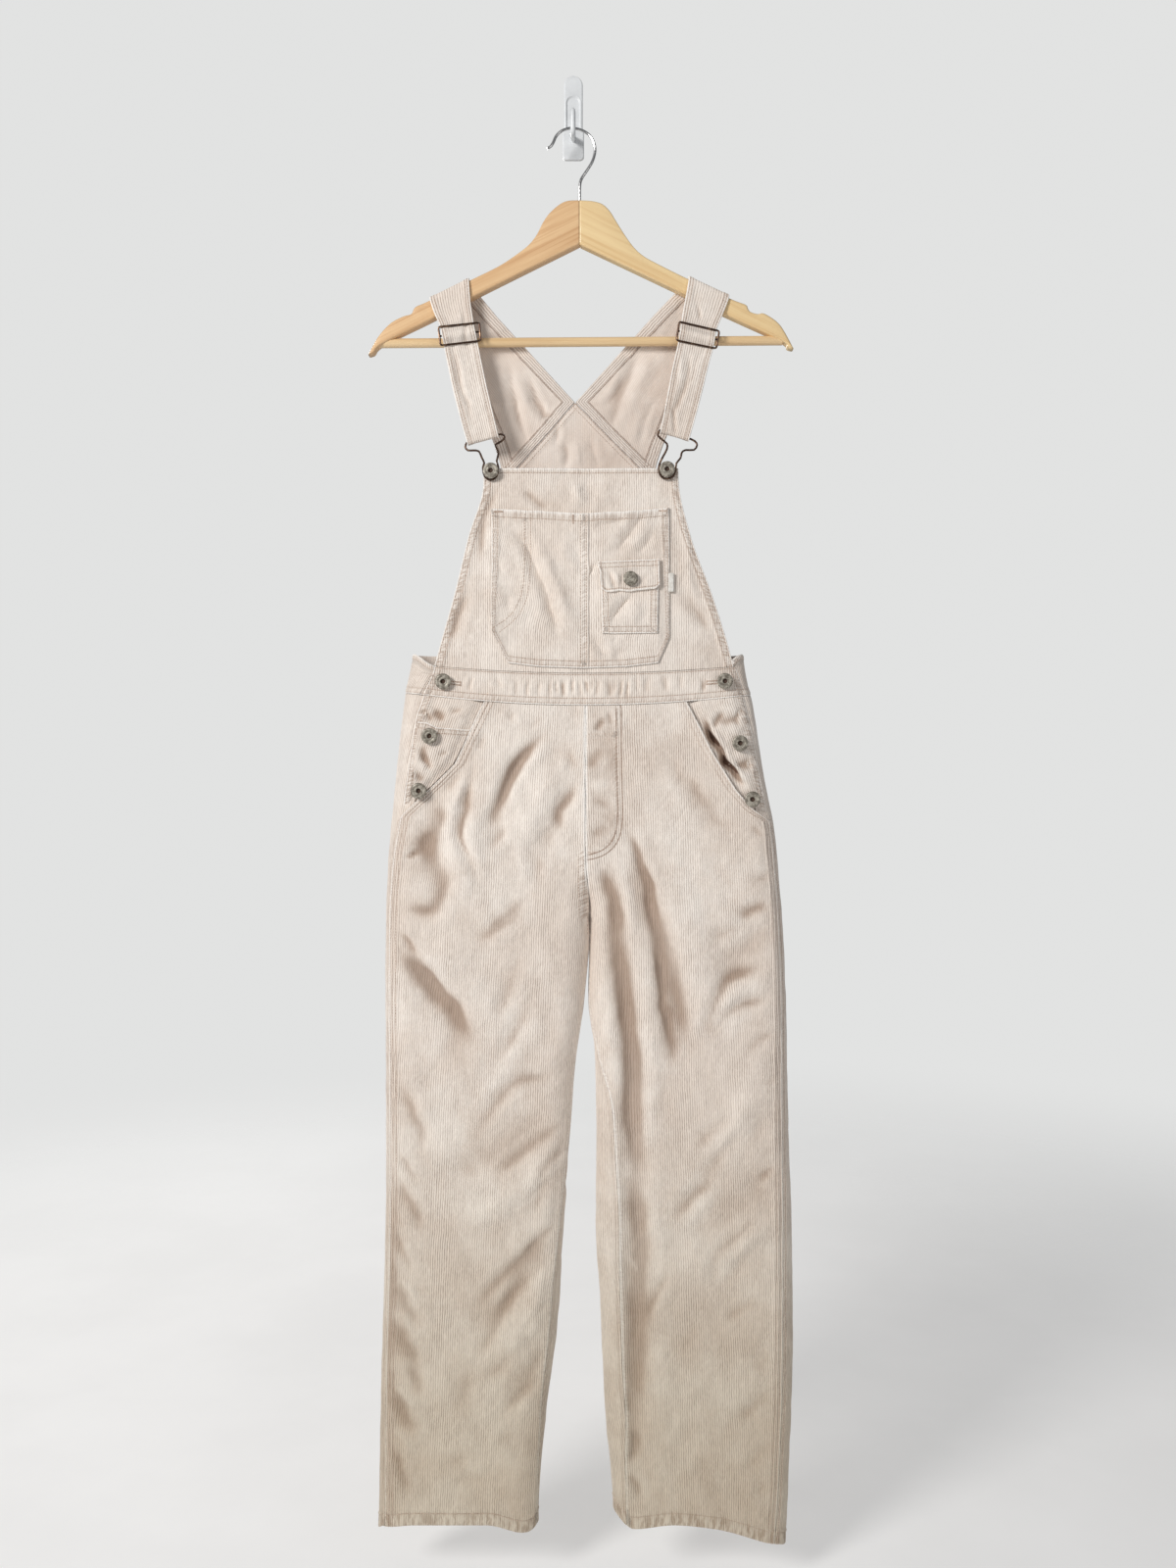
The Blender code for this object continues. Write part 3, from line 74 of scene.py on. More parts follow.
def numbers(text):
    """Plain numbers from a text."""
    return [float(word) for word in text.split()]


def places(text):
    """Pairs of numbers from a text, mostly x and z."""
    values = numbers(text)
    return tuple(zip(values[::2], values[1::2]))


def rows_of(kind, text):
    """A table from a text with one row a line."""
    return tuple(kind(*numbers(line)) for line in text.strip().splitlines())


# A soft trough (negative height) or ridge along a line of places
Crease = namedtuple("Crease", "half_width height line")


def creases_of(text):
    """Creases from a text, one a line: half width, height and the places of its line."""
    rows = [line.split(None, 2) for line in text.strip().splitlines()]
    return tuple(Crease(float(width), float(height), places(rest)) for width, height, rest in rows)


# ---------------------------------------------------------------- shapes in numbers

# A leg at one level: its outer and inner edge, how far from them the front's seams lie, and its two depths
Section = namedtuple("Section", "z outer outer_roll inner inner_roll front back")
LEFT_LEG = rows_of(Section, """
-570 -168.5 31 15.5 0 51 14
-583 -168.5 27.5 15 0 53 14
-597 -170 26.5 14.5 0 54 14
-627 -174.5 19 14 0 57 14
-653 -178 13.8 13.2 0 59 14
-707 -185 13 13 0 62 14
-752 -189.5 11.5 13 0 63 14
-800 -193.5 7.5 13.8 0 63 14
-858 -196 6 18 0 62 14
-942 -197 6 12.1 0.4 60 14
-1010 -196.5 6 2.8 0.8 59 14
-1087 -196.5 6 -3.3 1.6 58 14
-1150 -196.5 6 -7.2 3.4 58 14
-1212 -197.5 6 -11.9 5.6 58 14
-1243 -198 6 -12.9 7.8 58 14
-1304 -200 6 -18 8 57 14
-1376 -202 7 -28 5 55 14
-1438 -203.5 8 -34 2 52 14
-1500 -204.5 8 -37.5 1 50 14
""")
RIGHT_LEG = rows_of(Section, """
-570 178 17 15.5 0 51 14
-583 179 14 15 0 53 14
-594 180 11.4 14.5 0 54 14
-622 184 6.5 14 0 57 14
-663 192.5 5.5 13.2 0 60 14
-719 202.5 5.5 13 0 62 14
-769 211.5 5.5 13 0 63 14
-800 214.5 5.5 13.8 0 63 14
-858 219.5 6 18 0 62 14
-942 223.5 6.5 16.5 0.4 60 14
-966 224.2 7 18.5 1 60 14
-994 224.8 7.5 22.5 3 60 14
-1058 226 8.5 24.4 16.6 60 14
-1109 227 9 24.4 20 60 14
-1185 229.5 11 24.2 24 59 14
-1266 231.3 13 29 20.5 58 14
-1327 231 13 31.5 20 57 14
-1367 230 12.5 33.4 21 55 14
-1428 227.5 12.5 38 16.5 52 14
-1500 222.5 13 44 12.5 50 14
""")

# The lower edge of each leg, from the outseam side inwards or outwards
HemPoint = namedtuple("HemPoint", "x z")
LEFT_HEM = rows_of(HemPoint, """
-205 -1501
-198 -1494
-164 -1490
-90 -1490
-46 -1499
-36 -1494
""")
RIGHT_HEM = rows_of(HemPoint, """
40 -1478
64 -1494
105 -1490
148 -1494
200 -1508
214 -1512
223 -1517
""")

# The mouth of each slant pocket, from the waistband down to the side edge
MouthPoint = namedtuple("MouthPoint", "z x")
LEFT_MOUTH = rows_of(MouthPoint, """
-637 -91.5
-665 -105.5
-698 -122
-719 -143
-752 -178
""")
RIGHT_MOUTH = rows_of(MouthPoint, """
-637 118
-682 142
-725 169
-745 187
-756 203.5
""")

BibRow = namedtuple("BibRow", "z left right depth")
BIB = rows_of(BibRow, """
-388 -93.5 110.5 45
-403 -93.5 111 45.5
-460 -109.2 123.6 47
-519 -123.3 144.8 49
-570 -137.3 160.8 51
-600 -145 168.3 54
""")

BackRow = namedtuple("BackRow", "z left right depth")
BACK_SIDE_LEFT = rows_of(BackRow, """
-190 -155.5 -109 20.2
-222 -141.5 -80.7 20
-240 -133 -64.2 19.5
-276 -118 -31.3 18.5
-294 -110 -14.8 18.2
-312 -102 1.8 18
-328 -95.5 -12.3 17.8
-345 -88.5 -26.8 17.5
-360 -83 -40.4 17.2
-376 -78 -54.7 17
-396 -73.5 -73 17
""")
BACK_SIDE_RIGHT = rows_of(BackRow, """
-185 117.7 167.5 20.2
-220 86.1 152 20
-240 68 143.5 19.5
-276 35.5 129 18.5
-294 19.2 121.5 18.2
-312 2.9 114 18
-328 18.3 107.5 17.8
-345 34.6 101 17.5
-360 49.6 95 17.2
-376 65.6 89.5 17
-396 84.8 85.5 17
""")
BACK_CENTER = rows_of(BackRow, """
-313 1.4 3.2 18
-328 -12.3 18.3 17.8
-345 -26.8 34.6 17.5
-360 -40.4 49.6 17.2
-376 -54.7 65.6 17
-397 -73.5 85.6 17
-430 -80.5 92.5 16.5
-480 -97 108 16
-530 -117 128 15
-565 -132 148 14.3
-582 -138 156 14
""")

# Folds: a trough has a negative height, a ridge a positive one; bow bends the line sideways
Fold = namedtuple("Fold", "x0 z0 x1 z1 bow half_width height")
FRONT_FOLDS = rows_of(Fold, """
-35 -672 -92 -785 6 13 -5
-5 -690 -60 -800 5 14 3.5
6 -712 -34 -800 4 10 -3
-66 -700 -120 -850 6 16 3
-163 -768 -132 -832 -4 12 -4.5
-184 -872 -108 -1020 -8 16 -4
-150 -860 -70 -990 -8 18 3
-150 -1130 -6 -1050 10 18 -3.5
-120 -1180 -12 -1095 8 13 3
-95 -1290 -20 -1180 6 12 -5
-80 -1330 -22 -1215 6 12 3.5
-70 -1370 -26 -1285 5 9 -3.5
-186 -1090 -180 -1440 8 13 -4.5
58 -780 118 -1022 -10 11 -7
84 -790 150 -990 -10 20 3
33 -800 72 -1180 -6 11 -6.5
58 -1160 66 -1470 -3 11 -3.5
135 -930 212 -846 8 14 -3
120 -1110 214 -1010 8 16 2.5
130 -1200 214 -1100 8 15 -2.5
90 -1240 205 -1150 8 17 2.5
""")
BACK_FOLDS = rows_of(Fold, """
-60 -700 -150 -900 8 18 -3.5
70 -690 150 -880 -8 18 -3.5
-150 -1150 -40 -1040 8 18 -3
90 -1060 200 -1160 -8 18 -3
-150 -1380 -60 -1260 6 15 -3
90 -1290 190 -1400 -6 15 -3
""")

StrapRow = namedtuple("StrapRow", "x z depth half_x half_z")
STRAP_LEFT = rows_of(StrapRow, """
-127.5 -207 20.2 20.5 10.2
-129 -201.5 20.2 20.6 10.2
-130 -196.6 21.2 20.7 10.3
-130.3 -195.4 28.5 20.7 10.3
-130.2 -196.3 35.8 20.7 10.3
-129.6 -201 37.1 20.5 10
-126.6 -218 38.4 19.3 5.5
-122.8 -232 39.8 18 2.8
-121.6 -237.2 39.9 17.6 2.3
-120.9 -240.2 40.7 17.6 2.2
-120.2 -243.6 43.4 17.6 2.2
-119.5 -246.9 44.7 17.6 2.2
-118.8 -250.2 43.4 17.6 2.2
-118.1 -253.6 40.7 17.6 2.2
-117.6 -256.6 39.8 17.6 2.2
-116.4 -263 40.2 17.7 2.5
-114 -275 41.2 17.6 3
-107.5 -305 43.5 17.4 3.6
-99.6 -337 46 16.8 4.2
-94.2 -357.6 47.5 16.2 4.3
""")
STRAP_RIGHT = rows_of(StrapRow, """
141 -204.8 20.2 21 -9.8
142.3 -199.3 20.2 21.2 -9.9
143.1 -194.2 21.2 21.4 -10
143.4 -193 28.5 21.4 -10
143.3 -193.9 35.8 21.4 -10
142.8 -198.6 37.1 21.2 -9.9
138 -217 38.4 20.3 -6.6
133.4 -233 39.8 19 -4.6
132 -238.9 39.9 18.4 -4.3
131.5 -241.9 40.7 18.4 -4.3
131 -245.2 43.4 18.4 -4.3
130.5 -248.4 44.7 18.4 -4.3
130 -251.6 43.4 18.4 -4.2
129.4 -254.9 40.7 18.4 -4.1
128.9 -257.9 39.8 18.3 -4
127.2 -265 40.2 18 -4
124.2 -277 41.2 17.8 -4
118 -305 43.5 17.2 -4.2
111.2 -335 46 16 -4.3
106.8 -353.2 47.5 15.2 -4.3
""")
FOLD_RADIUS = BUCKLE_WIRE + SEAM_GAP

ARM_LEFT_TOP = places("""
7 -103 -6 -103.6 -15 -108 -25 -117 -31.6 -126.5 -38.1 -139.3 -46 -149.5 -57.8 -159 -77.6 -172.2
-107.2 -186.9 -153.3 -209.8 -166 -215.5 -169.5 -222 -172.5 -223.8 -179.5 -225.7 -192.7 -233
-205.9 -247.8 -215.7 -265.9
""")
ARM_LEFT_FOOT = places("-209 -263.5 -199.2 -254 -146.6 -228.1 -107.2 -206.8 7 -149.8")
ARM_RIGHT_TOP = places("""
7 -103 20 -103.8 31.1 -107 39 -114.5 44.2 -122.8 54 -138.5 64 -152.4 74 -161.5 87 -168.9 119.9 -185.3
165.9 -206.8 182.4 -213.2 184.6 -217.5 187.5 -220.8 195.4 -223 202 -222.5 218.5 -234.6 232.6 -259.4
""")
ARM_RIGHT_FOOT = places("226 -257.5 218.5 -250.5 159.3 -223.2 119.9 -203.5 7 -149.8")


# ---------------------------------------------------------------- tables and curves


def smooth_step(value):
    """0 below 0, 1 above 1 and an S curve between."""
    t = np.clip(value, 0.0, 1.0)
    return t * t * (3.0 - 2.0 * t)


def bell(value):
    """1 at 0, falling smoothly to near 0 at 2 on either side."""
    return np.exp(-(value**2))


def columns_of(table, column, key):
    """Keys and values of one column, in rising order of the key."""
    rows = sorted(table, key=lambda row: getattr(row, key))
    keys = np.array([float(getattr(row, key)) for row in rows])
    values = np.array([float(getattr(row, column)) for row in rows])
    return keys, values


def read(table, column, at, key="z"):
    """One column of a table at any height, on a smooth curve through its rows."""
    xs, ys = columns_of(table, column, key)
    slopes = np.diff(ys) / np.diff(xs)
    ends = np.empty(len(xs))
    ends[0], ends[-1] = slopes[0], slopes[-1]
    for i in range(1, len(xs) - 1):
        before, after = slopes[i - 1], slopes[i]
        ends[i] = 0.0 if before * after <= 0 else 2 * before * after / (before + after)
    at = np.clip(at, xs[0], xs[-1])
    i = np.clip(np.searchsorted(xs, at, side="left") - 1, 0, len(xs) - 2)
    h = xs[i + 1] - xs[i]
    t = (at - xs[i]) / h
    start = (2 * t**3 - 3 * t**2 + 1) * ys[i] + (t**3 - 2 * t**2 + t) * h * ends[i]
    return start + (3 * t**2 - 2 * t**3) * ys[i + 1] + (t**3 - t**2) * h * ends[i + 1]


def straight(table, column, at):
    """One column of a table at any height, on straight lines between its rows."""
    xs, ys = columns_of(table, column, "z")
    return np.interp(at, xs, ys)


def fold_height(folds, x, z):
    """How far all the folds together lift the cloth at a place."""
    total = np.zeros(np.broadcast(x, z).shape)
    for fold in folds:
        dx, dz = fold.x1 - fold.x0, fold.z1 - fold.z0
        length = np.hypot(dx, dz)
        along = ((x - fold.x0) * dx + (z - fold.z0) * dz) / length / length
        across = ((x - fold.x0) * dz - (z - fold.z0) * dx) / length
        inside = np.clip(along, 0.0, 1.0)
        across = across - fold.bow * np.sin(pi * inside)
        taper = smooth_step(along / 0.3) * smooth_step((1.0 - along) / 0.3)
        total = total + fold.height * taper * bell(across / fold.half_width)
    return total


def round_curve(points, steps):
    """A Catmull-Rom curve through points of any number of values."""
    points = np.asarray(points, float)
    padded = np.concatenate([points[:1], points, points[-1:]])
    result = []
    for i in range(1, len(padded) - 2):
        p0, p1, p2, p3 = padded[i - 1 : i + 3]
        for k in range(steps):
            t = k / steps
            square, cube = 2 * p0 - 5 * p1 + 4 * p2 - p3, 3 * p1 - p0 - 3 * p2 + p3
            result.append(0.5 * (2 * p1 + (p2 - p0) * t + square * t**2 + cube * t**3))
    result.append(points[-1])
    return np.array(result)


def nearest_on(line, x, z):
    """Distance from a line of places, the run to the nearest place, the line's length, the side (1 or -1)."""
    line = np.array(line, float)
    steps = np.hypot(*(line[1:] - line[:-1]).T)
    shape = np.broadcast(x, z).shape
    run, best, at, side = 0.0, np.full(shape, 1e9), np.zeros(shape), np.ones(shape)
    for (x0, z0), (x1, z1), step in zip(line[:-1], line[1:], steps):
        dx, dz, from_x, from_z = x1 - x0, z1 - z0, x - x0, z - z0
        share = np.clip((from_x * dx + from_z * dz) / step**2, 0.0, 1.0)
        away = np.hypot(from_x - dx * share, from_z - dz * share)
        closer = away < best
        at = np.where(closer, run + share * step, at)
        side = np.where(closer, np.sign(dx * from_z - dz * from_x), side)
        best = np.minimum(best, away)
        run += step
    return best, at, run, side


def bent(line):
    """A line of places rounded at its corners."""
    return round_curve(line, 4) if len(line) > 2 else line


def crease_height(creases, x, z):
    """How far thin creases along lines of places lift the cloth; the lines wander and fade a little."""
    total = np.zeros(np.broadcast(x, z).shape)
    wander = 1.1 * unevenness(x, z, 91, 24.0)
    strength = (0.95 + 0.25 * unevenness(x, z, 57, 40.0)) * (1.0 + 0.4 * smooth_step((z + 1040.0) / 120.0))
    x = x + wander
    z = z + 0.6 * wander
    for crease in creases:
        best, at, length, _ = nearest_on(bent(crease.line), x, z)
        at = at / length
        taper = smooth_step(at / 0.34) * smooth_step((1.0 - at) / 0.34)
        far = best / crease.half_width
        near = smooth_step(2.6 - far * 0.7)
        profile = 0.74 * bell(far) + 0.22 * bell(far / 0.42)
        profile = profile - 0.22 * bell((far - 2.0) / 0.9)
        total = total + crease.height * taper * profile * near
    return total * strength


def unevenness(x, z, seed, size):
    """Soft waves without a visible repeat, between about -1 and 1."""
    turn = np.random.default_rng(seed)
    total = np.zeros(np.broadcast(x, z).shape)
    for _ in range(7):
        angle = turn.uniform(0, 2 * pi)
        step = size * turn.uniform(0.7, 1.8)
        shift = turn.uniform(0, 2 * pi)
        wave = np.sin((x * cos(angle) + z * sin(angle)) * 2 * pi / step + shift)
        total = total + wave * turn.uniform(0.2, 0.5)
    return total / 1.6


# ---------------------------------------------------------------- the garment's surfaces


def ellipse(distance):
    """Share of the full half depth at a distance from a rolled edge."""
    t = np.clip(distance / EDGE_ROLL, 0.0, 1.0)
    return np.sqrt(1.0 - (1.0 - t) ** 2)


def closing(z):
    """0 where the two legs share one hollow, 1 where each is closed: it grows just above the crotch."""
    return np.where(z <= CROTCH, 1.0, 0.9 * smooth_step((CROTCH + 55.0 - z) / 52.0))


def ring_depth(leg, x, z, face):
    """Depth of the garment's outer surface: face is 1 for the front and -1 for the back."""
    front, back = read(leg, "front", z), read(leg, "back", z)
    outer, inner = read(leg, "outer", z), read(leg, "inner", z)
    share = ellipse(np.abs(x - outer)) * (1.0 - closing(z) * (1.0 - ellipse(np.abs(x - inner))))
    half = (front - back) / 2.0
    lift = np.where(face > 0, fold_height(FRONT_FOLDS, x, z), fold_height(BACK_FOLDS, x, z))
    return back + half + face * (half * share + lift * share * share)


def front_depth(x, z):
    """Depth of the front below the bib."""
    middle = read(LEFT_LEG, "inner", np.maximum(z, CROTCH))
    return np.where(x < middle, ring_depth(LEFT_LEG, x, z, 1), ring_depth(RIGHT_LEG, x, z, 1))


def bib_depth(x, z):
    """Depth of the bib."""
    left, right = read(BIB, "left", z), read(BIB, "right", z)
    across = (x - (right + left) / 2.0) / ((right - left) / 2.0)
    crease = 1.2 * bell((x - MIDDLE) / 9.0)
    hollow = 2.0 * bell((x - MIDDLE) / 55.0) * smooth_step((z + 470.0) / 80.0)
    return read(BIB, "depth", z) - 2.5 * across**4 - crease - hollow


def band_edge(x, side, middle):
    """Height of a waistband edge, which sags a little in the middle."""
    return middle + (side - middle) * ((x - MIDDLE) / HALF_WAIST) ** 2


def band_top(x):
    """Height of the front waistband's upper edge."""
    return band_edge(x, BAND_TOP_SIDE, BAND_TOP_MIDDLE)


def band_foot(x):
    """Height of the front waistband's lower edge."""
    return band_edge(x, BAND_FOOT_SIDE, BAND_FOOT_MIDDLE)


# ---------------------------------------------------------------- panels

# What runs along one edge of a panel: distances of its stitch lines, width and height of its extra layers,
# how much it puckers, whether the edge is round, where it is (a share for each height), how much its rounded
# edge is painted paler (rubbing and painted highlight), how much painted shade darkens its band, how deep
# the stitches cut, and the pitch, width and slant of its puckers
Seam = namedtuple(
    "Seam",
    "lines width height pucker round_edge where wear tint cut pitch rope upright",
    defaults=((), 0.0, 0.0, 0.0, True, None, 1.0, 0.0, 0.4, 1.0, None, 0.0),
)
SIDES = ("left", "right", "top", "foot")
PLAIN = Seam()
OUTSEAM = {
    "l": Seam((1.6, 5.2, 9.2), 11.2, 0.9, 0.0, tint=0.16, cut=0.9),
    "r": Seam((3.4, 8.0), 9.4, 0.7, 0.2, tint=0.1, cut=0.6),
}
TWIN = Seam((1.8, 7.0), 8.4, 0.6, 0.45)
ROPED = Seam((1.8, 7.6), 9.0, 0.8, 1.0, pitch=0.8, rope=6.0)
SINGLE = Seam((5.0,), 6.4, 0.55, 0.4)
HEMMED = Seam((12.6,), 13.8, 0.9, 1.0, wear=0.0, cut=0.9, pitch=0.5, rope=10.5, upright=1.8)
FACED = Seam((13.0,), 13.6, 0.9, 1.0)
UNDER = Seam(round_edge=False)
BAND_SEWN = Seam((1.8, 7.2), 8.2, 0.5, 0.4)
STRAP_SEAM = Seam((2.0, 5.0), 6.2, 0.45, 0.3)
FLAP_SEAM = Seam((3.0,), 3.2, 1.3, 0.3, cut=0.8)
OVERLAP = Seam((3.0,), 5.0, 0.3, 0.2, False)
SEAM_STEP = 1.6
RIDGE_PLACES = (-2.0, -1.1, -0.5, -0.1, 0.25, 0.7, 1.5)


def around(*seams):
    """Seams of a panel's left, right, upper and lower edge."""
    return dict(zip(SIDES, seams))


def seam_share(seam, z):
    """How much of a seam there is at each height."""
    return np.ones(z.shape) if seam.where is None else seam.where(z)


def seam_places(seam):
    """Distances from an edge where a panel needs points for its seam."""
    if seam.width <= 0:
        return [0.0, 0.35, 0.9] if seam.round_edge else [0.0, 0.6]
    wanted = [0.0, 0.25, 0.7, 1.25, seam.width, seam.width + SEAM_STEP]
    wanted += [line + away for line in seam.lines for away in (-0.95, -0.3, 0.3, 0.95)]
    kept = [0.0]
    for place in sorted(wanted)[1:]:
        if place - kept[-1] >= 0.24:
            kept.append(place)
    return kept


def spaced(length, step, seams, ridges=()):
    """Shares of a length, close together at the seams at its two ends and at ridges, and even between."""
    head, tail = seam_places(seams[0]), seam_places(seams[1])
    room = length - head[-1] - tail[-1]
    count = max(int(room / step), 2)
    if room < step:
        squeeze = (length - step) / (head[-1] + tail[-1])
        head, tail = [h * squeeze for h in head], [t * squeeze for t in tail]
        room = step
    middle = [head[-1] + room * i / count for i in range(1, count)]
    for ridge in ridges:
        middle = [place for place in middle if abs(place - ridge) > 2.2] + [ridge + d for d in RIDGE_PLACES]
    return np.array(head + sorted(middle) + [length - t for t in tail[::-1]]) / length


def along_rows(grid):
    """Running length along each row of a grid of points."""
    steps = np.linalg.norm(np.diff(grid, axis=1), axis=2)
    return np.concatenate([np.zeros((len(grid), 1)), np.cumsum(steps, axis=1)], axis=1)


def down_columns(grid):
    """Running length down each column of a grid of points."""
    return along_rows(np.transpose(grid, (1, 0, 2))).T


def edge_distances(grid):
    """Distance of each point of a grid from each edge."""
    across, down = along_rows(grid), down_columns(grid)
    return {"left": across, "right": across[:, -1:] - across, "top": down, "foot": down[-1:, :] - down}


def resample(grid, step, seams):
    """Each row of a grid at new places, which suit the seams at its two ends."""
    lengths = along_rows(grid)
    shares = spaced(float(np.median(lengths[:, -1])), step, seams)
    result = np.empty((len(grid), len(shares), 3))
    for i, row in enumerate(grid):
        for k in range(3):
            result[i, :, k] = np.interp(shares * lengths[i, -1], lengths[i], row[:, k])
    return result


def normals_of(grid, look):
    """Unit directions square to a grid of points, on the side that look says."""
    across = np.gradient(grid, axis=1)
    down = np.gradient(grid, axis=0)
    normal = np.cross(down, across)
    size = np.linalg.norm(normal, axis=2, keepdims=True)
    normal = normal / np.maximum(size, 1e-9)
    middle = normal[len(grid) // 2, grid.shape[1] // 2]
    return normal if float(np.dot(middle, look)) > 0 else -normal


def rounding(distance, radius):
    """How far a cloth's face falls back at a distance from its rounded edge."""
    left = np.clip(radius - distance, 0.0, radius)
    return radius - np.sqrt(np.maximum(radius**2 - left**2, 0.0))


def across_at(x, row, across):
    """Run along a row where it crosses x; only the row's middle part is searched."""
    count = len(row)
    part = slice(count // 5, count - count // 5)
    row, across = row[part], across[part]
    return np.interp(x, row, across) if row[0] < row[-1] else np.interp(x, row[::-1], across[::-1])


FREE = 1.8  # from here on, in widths of a seam, the cloth is free of its puckers
MARKS = ("hollow", "stitched", "worn", "drawn")
FORWARD = (0, -1, 0)
BACKWARD = (0, 1, 0)


class Panel:
    """One cut piece of cloth: a base grid of points, its face and back, and what runs along its edges."""

    def __init__(self, name, base, look, seams, grain, thickness=CLOTH, relief=0.0, folds=0.0, inner=()):
        self.name = name
        self.base = base
        self.seams = seams
        self.normal = normals_of(base, look)
        self.edge = edge_distances(base)
        self.across, down = self.edge["left"], self.edge["top"]
        self.run = around(down, down, self.across, self.across)
        lift = self.seam_lift()
        drop = np.zeros(base.shape[:2])
        radius = thickness * 0.62
        for side, seam in seams.items():
            if seam.round_edge:
                share = 0.2 + 0.8 * seam_share(seam, base[..., 2])
                drop = np.maximum(drop, rounding(self.edge[side], radius) * share)
        face = lift - drop + relief
        back = -thickness + drop + relief
        # hollow is the relief and the colour-only folds: the material paints shade where it is low and paler
        # places where it is high
        self.hollow = relief + folds + np.zeros(base.shape[:2])
        # A paler band along rounded edges: rubbing and painted highlight
        self.worn = np.zeros(base.shape[:2])
        for side, seam in seams.items():
            if seam.round_edge:
                self.worn = np.maximum(self.worn, seam.wear * bell(self.edge[side] / 1.9))
        self.face = base + self.normal * face[..., None]
        self.back = base + self.normal * back[..., None]
        grain = np.broadcast_to(grain, len(base))
        grain_at = np.array([across_at(g, x, a) for g, x, a in zip(grain, base[..., 0], self.across)])
        self.weave = np.stack([self.across - grain_at[:, None], base[..., 2]], axis=2)
        self.seam_map = self.nearest_seam(inner)

    def seam_lift(self):
        """Extra layers of cloth, the stitches' grooves and the pull of the sewing along the edges."""
        total = np.zeros(self.base.shape[:2])
        self.stitched = np.zeros(self.base.shape[:2])
        self.drawn = np.zeros(self.base.shape[:2])
        for number, (side, seam) in enumerate(self.seams.items()):
            if seam.width <= 0:
                continue
            distance = self.edge[side]
            share = seam_share(seam, self.base[..., 2])
            band = 1.0 - smooth_step((distance - seam.width) / SEAM_STEP)
            raised = share * seam.height * band
            groove = np.zeros(distance.shape)
            for line in seam.lines:
                groove = groove + bell((distance - line) / 0.75)
            run = self.run[side]
            wave = np.sin(run * 0.83 + 1.7 * np.sin(run * 0.071 + number)) * 0.6
            wave = wave + np.sin(run * 0.47 + 2.0 * np.sin(run * 0.043 + 2 * number)) * 0.4
            window = bell((distance - seam.width * 0.55) / (seam.width * 0.8))
            pull = 0.2 * seam.pucker * wave * window * share
            total = np.maximum(total, raised - seam.cut * groove * share) + pull
            # Painted shade for the material over the stitch grooves, and faintly over the whole band of some
            # seams
            self.stitched = np.maximum(self.stitched, (groove + seam.tint * band) * share)
        return total

    def nearest_seam(self, inner):
        """For the material: distance to the nearest seam in widths of it, and the place along it."""
        best = np.full(self.base.shape[:2], 9.0)
        run = np.zeros(self.base.shape[:2])
        found = []
        for side, seam in self.seams.items():
            if seam.width > 0 and seam.pucker > 0:
                share = seam.pucker * seam_share(seam, self.base[..., 2])
                away = FREE - (FREE - self.edge[side] / (seam.rope or seam.width)) * share
                found.append((away, self.run[side] * seam.pitch - seam.upright * away))
        for line, width, pucker in inner:
            away, at, _, side = nearest_on(line, self.base[..., 0], self.base[..., 2])
            at = at + np.minimum(side * away, 0.0) * 6.5 * pucker / width
            found.append((FREE - (FREE - away / width) * pucker, at))
        for number, (distance, at) in enumerate(found):
            closer = distance < best
            best = np.where(closer, distance, best)
            run = np.where(closer, at + 400.0 * number, run)
        return np.stack([best, run], axis=2)

    def line_at(self, side, distance):
        """Points of the face at a distance from one edge."""
        rows, away = self.face, self.edge[side]
        if side in ("top", "foot"):
            rows, away = np.transpose(rows, (1, 0, 2)), away.T
        points = []
        for row, measured in zip(rows, away):
            order = np.argsort(measured)
            points.append([np.interp(distance, measured[order], row[order, k]) for k in range(3)])
        return np.array(points)


def new_mesh(name, points, quads, weave=None, seam_map=None, finishes=None, marks=None):
    """A mesh object from arrays of points in millimetres and faces of four."""
    mesh = bpy.data.meshes.new(name)
    mesh.vertices.add(len(points))
    mesh.vertices.foreach_set("co", (np.asarray(points, np.float32) * MM).ravel())
    mesh.loops.add(quads.size)
    mesh.loops.foreach_set("vertex_index", quads.ravel().astype(np.int32))
    mesh.polygons.add(len(quads))
    mesh.polygons.foreach_set("loop_start", np.arange(0, quads.size, 4, dtype=np.int32))
    mesh.update(calc_edges=True)
    for layer_name, layer in (("weave", weave), ("seam", seam_map)):
        if layer is not None:
            uv = mesh.uv_layers.new(name=layer_name)
            uv.data.foreach_set("uv", (layer[quads.ravel()] / 100.0).astype(np.float32).ravel())
    for mark, values in (marks or {}).items():
        mesh.attributes.new(mark, "FLOAT", "POINT").data.foreach_set("value", values.astype(np.float32))
    if finishes is not None:
        mesh.polygons.foreach_set("material_index", finishes.astype(np.int32))
    mesh.shade_smooth()
    mesh.validate()
    made = bpy.data.objects.new(name, mesh)
    bpy.context.scene.collection.objects.link(made)
    return made


def turned(rows, turns, place, flip=False):
    """Rings of points, one a row, and their faces; place makes a point of a row, a cosine and a sine."""
    angles = [2 * pi * k / turns for k in range(turns)]
    points = [place(row, cos(angle), sin(angle)) for row in rows for angle in angles]
    quads = []
    for i in range(len(rows) - 1):
        for k in range(turns):
            a, b = i * turns + k, i * turns + (k + 1) % turns
            quads.append((a, a + turns, b + turns, b) if flip else (a, b, b + turns, a + turns))
    return np.array(points), np.array(quads)


def grid_quads(rows, columns, start=0, flip=False):
    """Faces of a grid of points."""
    index = np.arange(rows * columns).reshape(rows, columns) + start
    quads = np.stack([index[:-1, :-1], index[1:, :-1], index[1:, 1:], index[:-1, 1:]], axis=2).reshape(-1, 4)
    return quads[:, ::-1] if flip else quads


